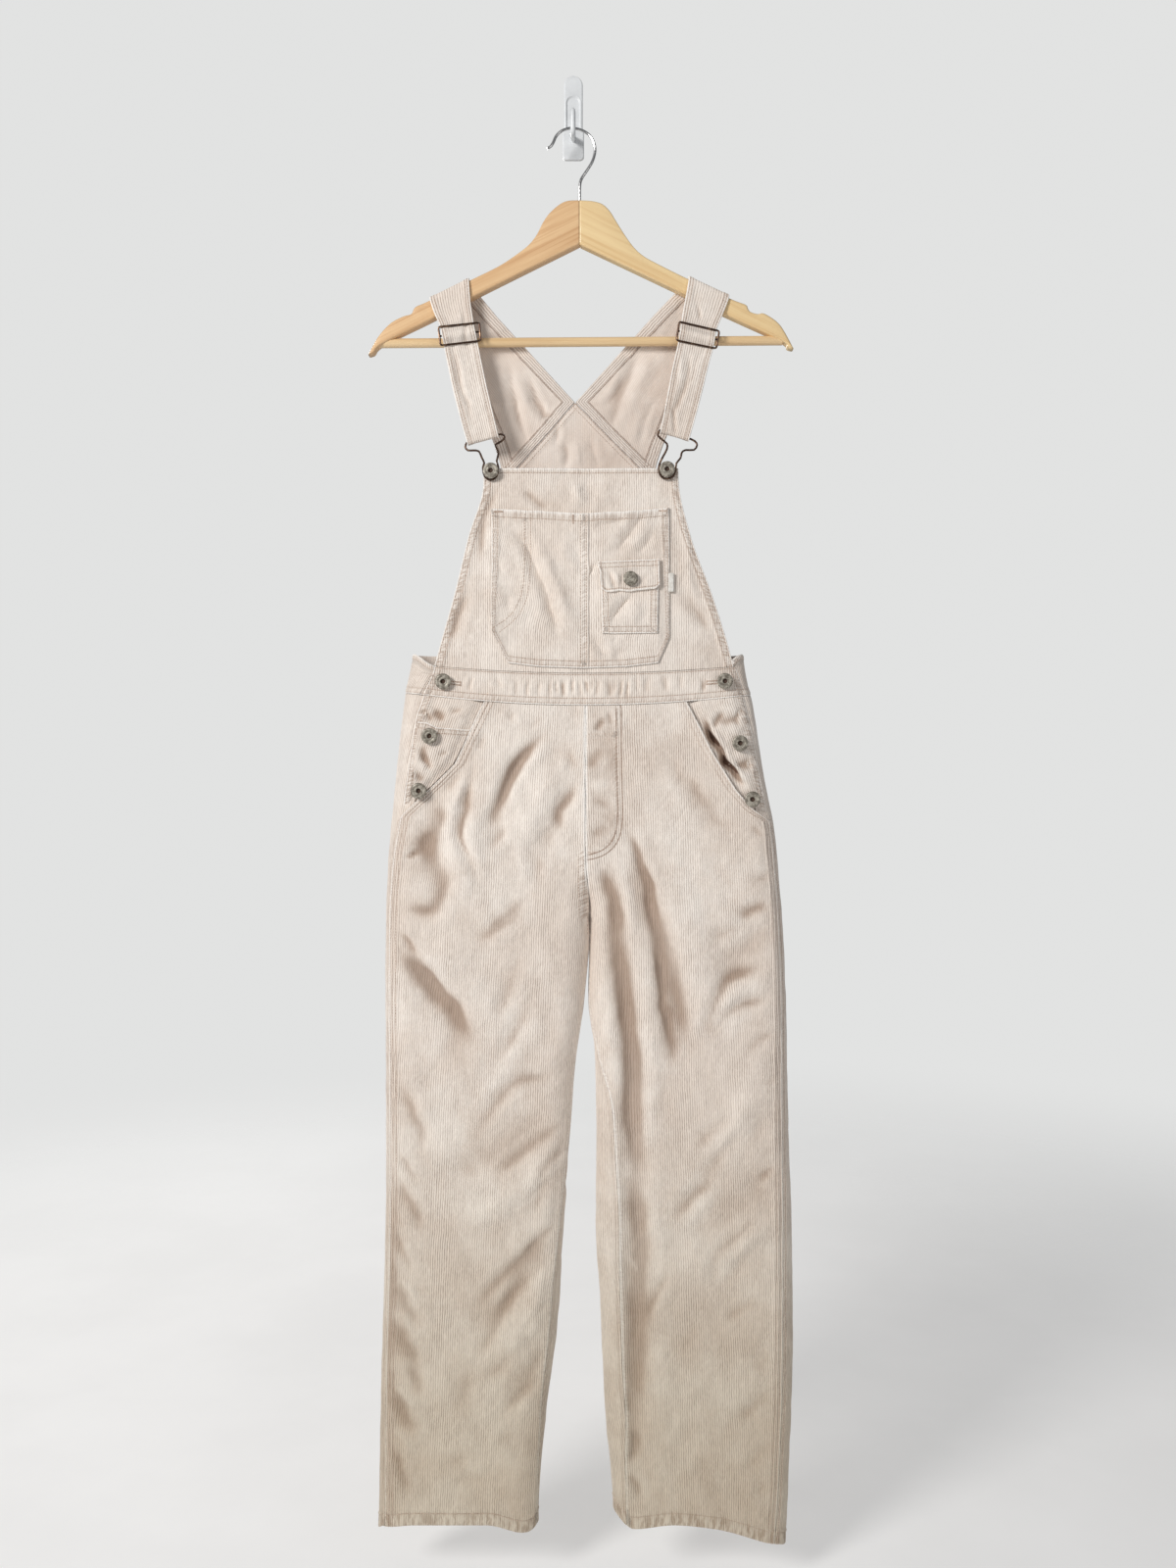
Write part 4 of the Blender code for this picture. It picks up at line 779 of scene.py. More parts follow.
def shell(name, face, back, weave, seam_map, finishes, nodes, slot, wrong_side=1, marks=None):
    """A closed thin wall between the face and the back grids."""
    rows, columns = face.shape[:2]
    count = rows * columns
    outer = grid_quads(rows, columns)
    inner = grid_quads(rows, columns, count, True)
    index = np.arange(count).reshape(rows, columns)
    rim = np.concatenate([index[0, :-1], index[:-1, -1], index[-1, :0:-1], index[:0:-1, 0]])
    after = np.roll(rim, -1)
    sides = np.stack([rim, after, after + count, rim + count], axis=1)
    quads = np.concatenate([outer, inner, sides])
    slots = np.concatenate([np.zeros(len(outer)), np.full(len(inner), wrong_side), np.zeros(len(sides))])
    points = np.concatenate([face.reshape(-1, 3), back.reshape(-1, 3)])
    doubled = [np.concatenate([m.reshape(-1, 2)] * 2) for m in (weave, seam_map)]
    middle = face[rows // 2, columns // 2] - back[rows // 2, columns // 2]
    a, b, c = (points[quads[len(outer) // 2][k]] for k in (0, 1, 2))
    if float(np.dot(np.cross(b - a, c - a), middle)) < 0:
        quads = quads[:, ::-1]
    marks = {mark: np.concatenate([values.ravel()] * 2) for mark, values in (marks or {}).items()}
    return dress(new_mesh(name, points, quads, *doubled, slots, marks), nodes, slot, finishes)


def dress(made, nodes, slot, finishes):
    """Gives an object its materials and its body, and hides the CAD nodes that it stands for; slot is not
    used.
    """
    for finish in finishes:
        made.data.materials.append(finish)
    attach(made, "root")
    if nodes:
        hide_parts(*nodes)
    return made


# Each panel's surface, and the rows of stitches on them
TREES = {}
RUNS = []


def add_cloth(panel, finishes, node, held, rests_on, wrong_side=1, slot="corduroy", marks=MARKS):
    """Makes a panel's object, which stands for a CAD node."""
    marks = {mark: getattr(panel, mark) for mark in marks}
    layers = (panel.face, panel.back, panel.weave, panel.seam_map)
    made = shell(panel.name, *layers, finishes, [node], slot, wrong_side, marks)
    quads = grid_quads(*panel.face.shape[:2])
    TREES[panel.name] = BVHTree.FromPolygons(panel.face.reshape(-1, 3).tolist(), quads.tolist())


def make_piece(name, node, base, seams, grain, finishes, held, rests_on, sewn=SIDES, **values):
    """A cloth piece that looks forward: its panel, its object and the stitches along its edges."""
    panel = Panel(name, base, FORWARD, seams, grain, **values)
    add_cloth(panel, finishes, node, held, rests_on)
    sew_edges(panel, sewn)


# ---------------------------------------------------------------- sewing


def resample_line(points, step):
    """Points at even steps along a line."""
    points = np.asarray(points, float)
    lengths = np.concatenate([[0.0], np.cumsum(np.linalg.norm(np.diff(points, axis=0), axis=1))])
    count = max(int(lengths[-1] / step), 2)
    at = np.linspace(0.0, lengths[-1], count)
    return np.stack([np.interp(at, lengths, points[:, k]) for k in range(3)], axis=1)


def sew(panel_name, points, pitch=3.0, length=2.45, width=0.31):
    """A row of stitches along points that lie on a panel."""
    tree = TREES[panel_name]
    line = resample_line(points, pitch)
    middle = (line[1:] + line[:-1]) / 2.0
    run = line[1:] - line[:-1]
    size = np.linalg.norm(run, axis=1, keepdims=True)
    run = run / np.maximum(size, 1e-6)
    hits = [tree.find_nearest(point.tolist()) for point in middle]
    placed, normals = (np.array([hit[k] for hit in hits]) for k in (0, 1))
    RUNS.append((placed, run, normals, length, width, panel_name))


def project(panel_name, line):
    """Places in x and z, laid on a panel's face from the front."""
    way = Vector((0, 1, 0))
    hits = [TREES[panel_name].ray_cast(Vector((x, -300.0, z)), way)[0] for x, z in line]
    return [tuple(hit) for hit in hits if hit is not None]


def sew_on(panel_name, line):
    """A row of stitches through places in x and z."""
    dense = resample_line(np.array([(x, 0.0, z) for x, z in line], float), 2.0)
    points = project(panel_name, dense[:, ::2])
    if len(points) > 2:
        sew(panel_name, points)


def sew_edges(panel, sides):
    """Stitches along a panel's edges, at its seams' lines."""
    for side in sides:
        for line in panel.seams[side].lines:
            sew(panel.name, panel.line_at(side, line))


def bar_tack(panel_name, x, z, dx, dz, width=2.4):
    """A short dense row of stitches across a line from (x, z)."""
    size = float(np.hypot(dx, dz))
    ux, uz = dx / size, dz / size
    count = max(int(size / 0.75), 3)
    for i in range(count):
        cx, cz = x + dx * i / (count - 1), z + dz * i / (count - 1)
        ends = [(cx - uz * width / 2, cz + ux * width / 2), (cx + uz * width / 2, cz - ux * width / 2)]
        points = project(panel_name, ends)
        if len(points) == 2:
            sew(panel_name, points, pitch=width * 0.6, length=width, width=0.34)


def capsule():
    """One stitch: a slim four-sided grain along X, on Z = 0."""
    rings = ((-0.5, 0.25), (-0.3, 1.0), (0.3, 1.0), (0.5, 0.25))
    points, quads = turned(rings, 4, lambda ring, c, s: (ring[0], c * ring[1], s * ring[1]))
    return points, np.concatenate([quads, [(3, 2, 1, 0), (12, 13, 14, 15)]])


def make_stitches(name, panel_names, finish):
    """All rows of stitches of some panels as one mesh."""
    grain, faces = capsule()
    points, quads = [], []
    start = 0
    wobble = np.random.default_rng(7)
    for placed, run, normal, length, width, owner in RUNS:
        if owner not in panel_names:
            continue
        side = np.cross(normal, run)
        side /= np.maximum(np.linalg.norm(side, axis=1, keepdims=True), 1e-6)
        way = np.cross(side, normal)
        count = len(placed)
        long = length * wobble.uniform(0.88, 1.06, count)
        thick = width * wobble.uniform(0.85, 1.12, count)
        skew = wobble.uniform(-0.08, 0.08, count)
        way = way + side * skew[:, None]
        ways = (way * long[:, None], side * thick[:, None], normal * thick[:, None] * 0.75)
        body = sum(grain[None, :, k : k + 1] * ways[k][:, None, :] for k in range(3))
        body = body + (placed + normal * 0.12)[:, None, :]
        points.append(body.reshape(-1, 3))
        offsets = (np.arange(count) * len(grain))[:, None, None] + start
        quads.append((faces[None] + offsets).reshape(-1, 4))
        start += count * len(grain)
    dress(new_mesh(name, np.concatenate(points), np.concatenate(quads)), (), "corduroy", [finish])


# ---------------------------------------------------------------- cut sizes and creases

# Where each leg's lengthwise thread runs, at the hem and at the waist
GRAIN = {"l": (-120.0, -86.0), "r": (132.0, 108.0)}

# Creases of each piece
LEFT_CREASES = creases_of("""
5.5 -2.6 -194 -1180 -192 -1230 -196 -1300 -199 -1380 -200 -1470
5.5 -2.8 -21 -658 -35 -672 -53 -693 -62 -706 -73 -733 -82 -753 -92 -773
8 1.3 -15 -668 -40 -695 -53 -717 -71 -751
5 -1.9 9 -715 -8 -738 -15 -749 -10 -771
5 -3.2 -100 -691 -105 -713 -110 -742 -115 -760 -116 -773 -109 -789 -104 -802 -98 -818 -92 -831
10 2.2 -99 -693 -114 -722 -127 -751 -130 -773 -120 -796 -109 -818
6 -1.6 -111 -704 -123 -717 -130 -731
12 -2.8 -138 -733 -134 -755 -143 -773 -163 -791
3 -2 -172 -796 -158 -786
9 -2.4 -125 -802 -134 -831 -147 -849 -178 -843
7 -1.6 -91 -869 -62 -849 -51 -834
5 -1.3 -67 -760 -80 -778 -91 -789
5 -1.2 -6 -682 5 -704
4 -1.2 -61 -642 -66 -657
4 -1.2 -31 -646 -44 -663
5 -1.2 -89 -666 -99 -686
5 -1.4 -31 -787 -35 -809 -31 -831
6 1.2 -49 -773 -53 -800 -49 -825
9.5 -3 -181 -893 -154 -914 -135 -936 -120 -955 -110 -977 -109 -999
12 2 -166 -875 -135 -914 -110 -938 -98 -965
3.5 -2 -180 -871 -171 -880 -160 -896
6 -1.5 -103 -882 -71 -865 -52 -853
8 -1.4 -49 -892 -61 -914 -71 -948 -76 -970
7 -1.7 -35 -921 -49 -953 -61 -982 -76 -1007 -93 -1026 -113 -1048
8 1.4 -20 -948 -52 -987 -81 -1016 -108 -1068
6.5 -1.9 0 -1004 -27 -1021 -56 -1026 -81 -1053 -100 -1082 -113 -1104
5.5 -2.5 -3 -1064 -27 -1082 -47 -1097 -71 -1116 -83 -1133
4.5 -2.3 -3 -1093 -22 -1109 -39 -1131
6 -1.3 -180 -1004 -164 -1021 -142 -1038
7 -2.3 -180 -1024 -166 -1058 -156 -1082 -160 -1107
8 1.3 -177 -997 -159 -1033 -148 -1073
5 -2.3 -180 -1097 -171 -1116 -156 -1136
6 -2.5 -183 -1119 -174 -1142 -165 -1160 -153 -1186
5 -2.3 -183 -1182 -176 -1204 -164 -1229
8 -2.8 -183 -1231 -174 -1258 -163 -1271 -155 -1287
3 1.2 -181 -1231 -167 -1240 -160 -1260
3 1.1 -178 -1265 -163 -1288
11 -3.2 -184 -1269 -176 -1294 -163 -1316 -160 -1332
7 -2.2 -22 -1122 -33 -1142 -39 -1166
6.5 -3.2 -14 -1172 -29 -1184 -42 -1200 -56 -1215 -74 -1231 -91 -1249 -103 -1269
3 -1.4 -15 -1173 -33 -1191
6 -1.8 -49 -1222 -65 -1253 -78 -1280 -91 -1300 -105 -1318
3 -2.3 -22 -1253 -38 -1267 -49 -1285 -57 -1298
8 1.6 -21 -1206 -42 -1240 -65 -1267 -89 -1296
7 -1.8 -27 -1285 -56 -1305 -82 -1329 -114 -1343
12 -1.6 -101 -1310 -107 -1330 -112 -1346 -124 -1388
5 -1.7 -33 -1331 -53 -1353 -67 -1366 -75 -1384
8 -2.8 -176 -1319 -163 -1337 -162 -1359
3.5 1.8 -184 -1340 -172 -1353 -162 -1368
8 -2.8 -188 -1349 -174 -1375 -161 -1397
4 1.5 -189 -1385 -174 -1397 -162 -1415
6 -2.4 -189 -1403 -181 -1424 -176 -1442 -171 -1462
8 -1 -82 -1411 -114 -1420 -143 -1435
6 -1.1 -62 -1384 -82 -1417
6 -1 -134 -1451 -107 -1442 -74 -1447
""")
RIGHT_CREASES = creases_of("""
11.5 -3.2 58 -1090 64 -1130 69 -1186 72 -1267 68 -1350 66 -1400
5 -3 54 -755 69 -796 80 -829 84 -881
7 -3.2 28 -796 37 -822 44 -845 49 -881
5 1.7 45 -782 57 -829 66 -881
9 -1.7 115 -697 126 -722 140 -742 165 -776
6 -1 104 -691 114 -722
4 -1.4 182 -760 198 -773
7 -2.3 170 -861 185 -849 205 -842
5 -1.3 185 -818 206 -814
3 -1.8 21 -665 36 -648
3 -1.2 38 -641 40 -659
5 -1.5 16 -704 31 -680
5 -1 18 -733 40 -742
5 -1.2 18 -773 38 -761
5 1 18 -722 39 -717
5 -3 84 -860 91 -912 94 -948 103 -987 103 -1021
8 -3.2 37 -863 52 -912 57 -960 62 -1009 59 -1058 64 -1094 67 -1133
7 2 67 -875 79 -948 86 -1021 79 -1070 81 -1119
6.5 -2.2 209 -903 191 -909 162 -919 152 -936 137 -977 131 -999
6 -1.9 211 -940 191 -943 172 -948 157 -960 141 -990
4 -1.7 208 -974 191 -985 180 -999
3.5 -1.6 211 -1021 197 -1032
6.5 -2.3 176 -1055 157 -1070 137 -1085 124 -1104
6.5 -1.8 184 -1060 162 -1090 142 -1119 135 -1133
10 1.7 207 -985 186 -1021 176 -1051 150 -1109
4 -1.6 209 -1115 192 -1127
6 -1 207 -1063 176 -1097
6 -1.3 179 -863 152 -875 144 -883
8 1.2 206 -924 176 -933 157 -953
6.5 -2.5 147 -1119 138 -1135 127 -1144 116 -1157 100 -1175
8 1.5 154 -1126 133 -1155 113 -1184
6.5 -2.5 199 -1160 185 -1173 171 -1186 151 -1204 145 -1222 144 -1242
8 1.4 205 -1173 183 -1195 160 -1220
6 -1.3 198 -1189 178 -1209 158 -1242
4.5 -2.3 101 -1222 91 -1240 80 -1262 74 -1278
4 -1.3 205 -1122 190 -1129
5 -1.6 198 -1253 183 -1258 165 -1269 156 -1276
10 -3 60 -1122 66 -1160 69 -1204 62 -1224
5 -1.8 63 -1238 66 -1271 64 -1305
3 1.2 63 -1189 60 -1209 72 -1233
6 -1 207 -1305 186 -1327
7 -1 138 -1271 120 -1294 111 -1316
7 -1.5 206 -1345 187 -1366 167 -1384
6.5 -1.7 213 -1401 196 -1415 179 -1435
4 -1.2 204 -1445 190 -1461
5 -2.6 58 -1388 66 -1404 56 -1431
5 -2.2 55 -1432 66 -1451 72 -1467
5 -1.8 56 -1344 60 -1375
8 -0.9 138 -1375 116 -1402 100 -1433
""")
BACK_CREASES = creases_of("""
9 -2 -20 -900 -70 -940 -140 -955
8 -1.8 40 -905 100 -945 170 -960
9 1.6 -30 -840 -90 -890 -150 -910
9 1.6 50 -850 110 -895 180 -915
8 -1.8 -170 -1090 -110 -1120 -50 -1115
8 -1.8 200 -1095 140 -1130 75 -1122
8 1.5 -175 -1150 -115 -1185 -60 -1180
8 1.5 200 -1150 140 -1190 80 -1182
7 -1.8 -180 -1340 -130 -1385
7 -1.8 205 -1330 150 -1380
""")
BIB_CREASES = creases_of("""
6 -3.5 -71 -439 -58 -456 -50 -469 -41 -484 -36 -497 -28 -515 -23 -532 -18 -555 -10 -580
8 2.2 -41 -464 -22 -502 -5 -539 7 -567
5 -2.2 20 -452 35 -448 58 -442
5 -2.7 78 -433 63 -453 53 -467 43 -480
5 -1.5 86 -451 79 -466 66 -482
3 -1.8 17 -501 25 -487
4.5 -3.5 65 -520 51 -534 38 -553
6 1.5 70 -529 58 -552
5 -2.2 20 -564 30 -580 36 -588
5 -1.6 45 -592 51 -578
4 -1.5 -68 -519 -68 -540
5 -1.6 -81 -481 -73 -502
6 -1.6 2 -464 7 -492
8 -0.8 -35 -416 -22 -426 -5 -433
8 -0.8 58 -418 38 -429 22 -434
7 1.6 2 -403 8 -418 12 -429
5 -1.8 -54 -410 -25 -433
6 -2.2 -108 -514 -132 -576
6 -2.2 118 -514 143 -565
5 -1.6 -70 -400 -92 -440 -98 -500
5 1.4 118 -440 122 -500 134 -560
""")
BAND_CREASES = creases_of("""
1.8 -1.3 -22 -607 -23 -619 -24.4 -632
1.6 -1.5 -15.5 -610 -16 -618 -16.1 -627
2.5 -2.2 -8.5 -608 -10 -619 -10.2 -631
1.7 -1.9 1.7 -606 0 -616 -0.7 -626
2.6 -1.1 6.5 -609 8 -620 8.3 -631
1.9 -2.4 14 -609 14 -617 14.8 -626
2.6 -1.3 20.5 -608 19 -618 18 -628
2.2 -1.8 26 -607 25 -620 24.1 -632
2.7 -1.9 36.2 -608 38 -619 38.4 -631
2.7 -1.3 42.5 -609 43 -618 42.9 -626
2.2 -1.6 50 -608 50 -619 49.5 -630
1.7 -1.5 57.6 -609 57 -621 56.4 -633
2.4 -1.1 66 -603 67 -614 67.76 -625
2.1 -1.1 -34 -610 -35 -621 -34.9 -631
2 -1.5 -46 -608 -47 -619 -47.8 -631
2 -1.1 -60 -607 -59 -618 -58.5 -629
3.5 -1.3 80 -602 77 -615 74.72 -627
3.3 -1.3 95 -603 96 -615 96.54 -626
2.5 -1 112 -602 112 -613 111.56 -623
3.5 -1 -80 -606 -76 -613 -74.06 -621
2.3 -1.3 -104 -607 -106 -615 -106.86 -623
2.8 -1.5 131 -605 135 -614 136.94 -622
2.7 -1.1 140 -604 137 -616 135.82 -628
""")
HIP_CREASES = creases_of("""
3 -11 131 -647 139 -660 149.5 -681.5 163 -702 179 -724
3.5 -2.8 158 -641 150 -652 146 -664
3 -2.2 176 -640 170 -650 174 -660
3 -2 150 -690 160 -700
3 -2.5 -160 -640 -149 -648 -146 -657
2.6 -2 -128 -644 -112 -640
3 -2.2 -158 -684 -150 -694 -147 -706
2.4 -1.7 -140 -690 -128 -684
2.6 -2 -168 -655 -160 -662
6 -3.1 -146.7 -642.2 -131.4 -652.3
5.5 -2.8 -157 -677 -149 -698
5 -2.2 -166 -706 -152 -716
6 -2.5 150 -655 172 -650
6 -2.5 166 -700 188 -697
""")
INSIDE_CREASES = creases_of("""
4 -2.6 -51 -278 -42 -302 -29 -331 -19 -357
5 1.6 -62 -282 -52 -308 -39 -339
4 -2 -70 -259 -65 -295 -58 -331 -45 -363
3.5 -1.8 -25 -312 -17 -335 -19 -361
5 -2.2 72 -254 57 -290 44 -321 36 -351
6 1.8 85 -259 69 -298 57 -331
4 -1.8 57 -280 44 -305 28 -321
3.5 -1.6 89 -302 77 -331 69 -363
4 -1.4 -10 -351 -7 -372 -11 -386
4 -1.4 18 -347 22 -368 28 -386
5 1.4 4 -351 8 -382
10 -1.8 -80 -470 10 -500 90 -478
10 1.6 -90 -505 5 -530 105 -508
""")
FLAP_CREASES = creases_of("""
2.4 -1.5 36 -494 41 -507 47 -518
2.2 -0.9 50 -499 50 -516
2.4 1.1 44 -498 49 -512
2.2 -1 31 -515 41 -518
3 -0.8 79 -499 70 -512
4 0.8 58 -494 68 -496
""")
STRAP_CREASES = {
"l": creases_of("""
2.6 -1.3 -127 -239 -121 -285 -109 -326 -100 -351
2.4 0.8 -135 -254 -125 -305 -115 -346
2.2 -1 -140 -227 -135 -261 -128 -282
2.4 -1 -117 -208 -114 -231 -109 -270
"""),
"r": creases_of("""
2.2 -1.6 131 -198 131 -217 134 -235
2.4 0.9 138 -200 140 -219
2.4 -1.5 121 -259 122 -282 117 -306 106 -329 98 -341
2.4 1 114 -261 112 -296 102 -321
2 -1.2 130 -266 126 -290 121 -305
2 -1.3 104 -321 107 -346 104 -358
"""),
}

# Lines of stitches within the pieces
FLY_EDGE_BIB = 16.9
POCKET_FOOT = places("-84.5 -559 -67 -593 -35 -597 10 -598.5 55 -597 88.5 -593 100.5 -566")
PENCIL_LINE = places("-50 -436 -50 -480 -51 -508 -54 -524 -62 -540 -72 -549 -80 -554 -83 -556")
FLY_CURVE = places("45.1 -640 45.3 -700 46.5 -745 45 -765 40 -778 30 -787 16.5 -791.5")
FLY_BAR = ((15.9, -667.0), (46.0, -666.5))


# ---------------------------------------------------------------- legs

LEG_STEP = 3.4
LEG_ROWS_STEP = 3.3
MIDDLE_POINTS = {"front": 70, "back": 60}


def arc_shares(first, last, count):
    """Distances from a rolled edge, even in angle, between two distances."""
    a = np.arccos(1.0 - np.clip(first / EDGE_ROLL, 0.0, 1.0))
    b = np.arccos(1.0 - np.clip(last / EDGE_ROLL, 0.0, 1.0))
    turn = a[:, None] + (b - a)[:, None] * np.linspace(0.0, 1.0, count)[None, :]
    return EDGE_ROLL * (1.0 - np.cos(turn))


def leg_levels():
    """Heights of a leg's rows, closer together at the hem's stitches."""
    height = LEG_TOP - SEAM_GAP - HEM
    shares = spaced(height, LEG_ROWS_STEP, (UNDER, HEMMED))
    return LEG_TOP - SEAM_GAP - height * shares


def level(x, z, hem):
    """Height of a leg row at x: it follows the waistband's foot at the top and the hem at the bottom."""
    at_top = smooth_step(1.0 + (z - LEG_TOP) / 60.0)
    at_foot = smooth_step((HEM + 120.0 - z) / 120.0)
    top_shift = band_foot(x) - LEG_TOP
    foot_shift = read(hem, "z", x, "x") - HEM
    return z + at_top * top_shift + at_foot * foot_shift


def leg_edges(leg, levels):
    """A leg's outer and inner edge as columns with a row a level, and the way from the outer to the inner."""
    outer, inner = (read(leg, column, levels)[:, None] for column in ("outer", "inner"))
    return outer, inner, 1.0 if inner[0] > outer[0] else -1.0


def leg_front_base(leg, mouth, hem, levels):
    """The front panel's rows from its outer to its inner edge."""
    outer, inner, inward = leg_edges(leg, levels)
    start = read(leg, "outer_roll", levels) + SEAM_GAP / 2
    at_mouth = np.abs(straight(mouth, "x", levels) - outer[:, 0])
    start = np.where(levels > mouth[-1].z, np.maximum(start, at_mouth), start)
    full = np.full(len(levels), EDGE_ROLL)
    near = arc_shares(np.minimum(start, EDGE_ROLL), full, 24)
    near = outer + inward * np.where((start > EDGE_ROLL)[:, None], start[:, None], near)
    far = arc_shares(read(leg, "inner_roll", levels) + SEAM_GAP / 2, full, 30)[:, ::-1]
    a, b = near[:, -1:], inner - inward * EDGE_ROLL
    middle = a + (b - a) * np.linspace(0.0, 1.0, MIDDLE_POINTS["front"])[None, 1:-1]
    x = np.concatenate([near, middle, inner - inward * far], axis=1)
    z = np.broadcast_to(levels[:, None], x.shape)
    return np.stack([x, -ring_depth(leg, x, z, 1), level(x, z, hem)], axis=2)


INNER_WRAP = 14
UNDERLAP = 13.0
UNDERLAP_SHARES = np.array([1.0, 0.85, 0.7, 0.55, 0.4, 0.25, 0.12, 0.04])


def back_surface(leg, levels, reach, wrap, arc, others, inner_face=None):
    """Places and depths of a back piece's rows, from what lies under the front's edge round to the flat back.

    reach says how far it lies under, wrap and arc count the points up to the edge and behind it, others are
    the places further in, and inner_face says where the last ones look.
    """
    outer, _, inward = leg_edges(leg, levels)
    start, zero = read(leg, "outer_roll", levels) - SEAM_GAP / 2, np.zeros(len(levels))
    away = reach[:, None] * UNDERLAP_SHARES[None, :]
    parts = [start[:, None] + away, arc_shares(start, zero, wrap), arc_shares(zero, zero + EDGE_ROLL, arc)]
    x = np.concatenate([outer + inward * part for part in parts] + others, axis=1)
    face = np.full(x.shape, -1.0)
    face[:, : wrap + away.shape[1]] = 1.0
    if inner_face is not None:
        face[:, -INNER_WRAP:] = inner_face[:, None]
    z = np.broadcast_to(levels[:, None], x.shape)
    depth = ring_depth(leg, x, z, face)
    depth[:, : away.shape[1]] -= 2.6 * smooth_step(away / 4.0)
    return x, z, depth, face


def leg_back_base(leg, mouth, hem, levels):
    """The back panel's rows, round both edges of the leg to its seams."""
    outer, inner, inward = leg_edges(leg, levels)
    full = np.full(len(levels), EDGE_ROLL)
    closed = levels <= CROTCH
    end = np.where(closed, 0.0, SEAM_GAP / 2)
    reach = np.where(closed, np.maximum(read(leg, "inner_roll", levels) - SEAM_GAP / 2, 0.02), end)
    arcs = arc_shares(full, end, 26), arc_shares(end, reach, INNER_WRAP)
    inside = [inner - inward * away for away in arcs]
    a, b = outer + inward * EDGE_ROLL, inner - inward * EDGE_ROLL
    middle = a + (b - a) * np.linspace(0.0, 1.0, MIDDLE_POINTS["back"])[None, 1:-1]
    under = UNDERLAP * smooth_step((levels - mouth[-1].z + 6.0) / 12.0)
    looks = np.where(closed, 1.0, -1.0)
    x, z, depth, _ = back_surface(leg, levels, under, 16, 26, [middle, *inside], looks)
    return np.stack([x, -depth, level(x, z, hem)], axis=2)


def relief_at(base, creases, seed):
    """Scene-only creases and a slight unevenness over a base grid."""
    x, z = base[..., 0], base[..., 2]
    lift = crease_height(creases, x, z)
    lift = lift + 0.45 * unevenness(x, z * 0.7, seed, 70.0)
    lift = lift + 0.34 * unevenness(x + 0.4 * z, z * 0.22, seed + 2, 21.0)
    return lift + 0.2 * unevenness(x, z, seed + 1, 26.0)


def fade_at_edges(grid, relief, reach=7.0, sides=SIDES):
    """Lets a relief die out towards a base grid's edges, so that neighbours still meet."""
    away = edge_distances(grid)
    for side in sides:
        relief = relief * smooth_step(away[side] / reach)
    return relief


FLY_SPREAD = 5.2


def fly_lines():
    """The fly's double stitching: the curve down to the middle and the bar across, twice each."""
    lines = []
    for shift in (0.0, FLY_SPREAD):
        down = [0.0, 0.0, 0.0, 0.3, 0.8, 1.0, 1.0]
        aside = [1.0, 1.0, 1.0, 1.0, 0.7, 0.3, 0.0]
        curve = [(x + shift * a, z - shift * d) for (x, z), a, d in zip(FLY_CURVE, aside, down)]
        lines += [round_curve(curve, 4), [(x, z - shift * 1.1) for x, z in FLY_BAR]]
    return lines


def make_leg(side, leg, mouth, hem, creases, finishes):
    """The front and back panels of one leg with their felled seams and hems."""
    levels = leg_levels()
    below = lambda z: smooth_step((CROTCH + 14.0 - z) / 12.0)
    inseam = Seam((), 5.5, 0.7, 0.5, where=below, rope=3.4)
    seams = around(OUTSEAM[side], inseam, UNDER, HEMMED)
    base = resample(leg_front_base(leg, mouth, hem, levels), LEG_STEP, (OUTSEAM[side], inseam))
    x, z = base[..., 0], base[..., 2]
    grain = np.interp(levels, (HEM, LEG_TOP), GRAIN[side])
    relief = relief_at(base, creases, 3 if side == "l" else 5)
    relief = fade_at_edges(base, relief, sides=("left", "top", "foot"))
    # folds only colour the cloth: painted shade in their troughs and paler places on their ridges
    folds = 0.5 * fold_height(FRONT_FOLDS, x, z)
    away = np.abs(x - x[:, -1:])
    upper = smooth_step((z - CROTCH - 4.0) / 10.0)
    if side == "l":
        step, bead = 1.0 - smooth_step((away - 7.0) / 2.0), bell((away - 1.0) / 1.1)
        relief = relief + upper * (0.35 * step + 0.35 * bead)
        inner = ((((11.5, CROTCH + 70.0), (12.5, CROTCH)), 6.0, 0.6),)
    else:
        relief = relief - upper * 0.15 * (1.0 - smooth_step(away / 3.0))
        gape = smooth_step((-648.0 - z) / 16.0) * smooth_step((z + 742.0) / 30.0)
        relief = relief + 2.4 * gape * bell(np.abs(x - x[:, :1]) / 7.0)
        inner = tuple((line, 2.8, 0.4) for line in (FLY_CURVE, FLY_BAR))
        relief = relief + crease_height([Crease(1.4, -0.7, line) for line in (FLY_CURVE, FLY_BAR)], x, z)
        # Painted shade over the fly's box
        fly = smooth_step((x - 12.0) / 2.0) * smooth_step((47.0 - x) / 6.0)
        folds = folds - 1.1 * fly * smooth_step((z + 790.0) / 8.0)
    front = Panel(f"front_{side}", base, FORWARD, seams, grain, relief=relief, folds=folds, inner=inner)
    if side == "r":
        # Distance to the fly's stitch rows, along which the material paints lines of shade
        away, _, _, turn = nearest_on(fly_lines()[0], x, z)
        front.drawn = 1.0 + np.clip(away * turn, -9.0, 9.0) / 10.0
    add_cloth(front, finishes, f"front_leg_{side}", "hung", ("waistband_front_cloth",))
    base = resample(leg_back_base(leg, mouth, hem, levels), LEG_STEP, (OVERLAP, OVERLAP))
    shifted = lambda line: [(x + 5.0, z - 37.0) for x, z in line]
    similar = [Crease(c.half_width, 0.6 * c.height, shifted(c.line)) for c in creases]
    relief = fade_at_edges(base, relief_at(base, list(BACK_CREASES) + similar, 11 if side == "l" else 13))
    seams = around(OVERLAP, OVERLAP, UNDER, HEMMED)
    back = Panel(f"back_{side}", base, BACKWARD, seams, grain, relief=relief)
    add_cloth(back, finishes, f"back_leg_{side}", "hung", ("waistband_back_cloth",))
    return front, back


# ---------------------------------------------------------------- flat-cut pieces


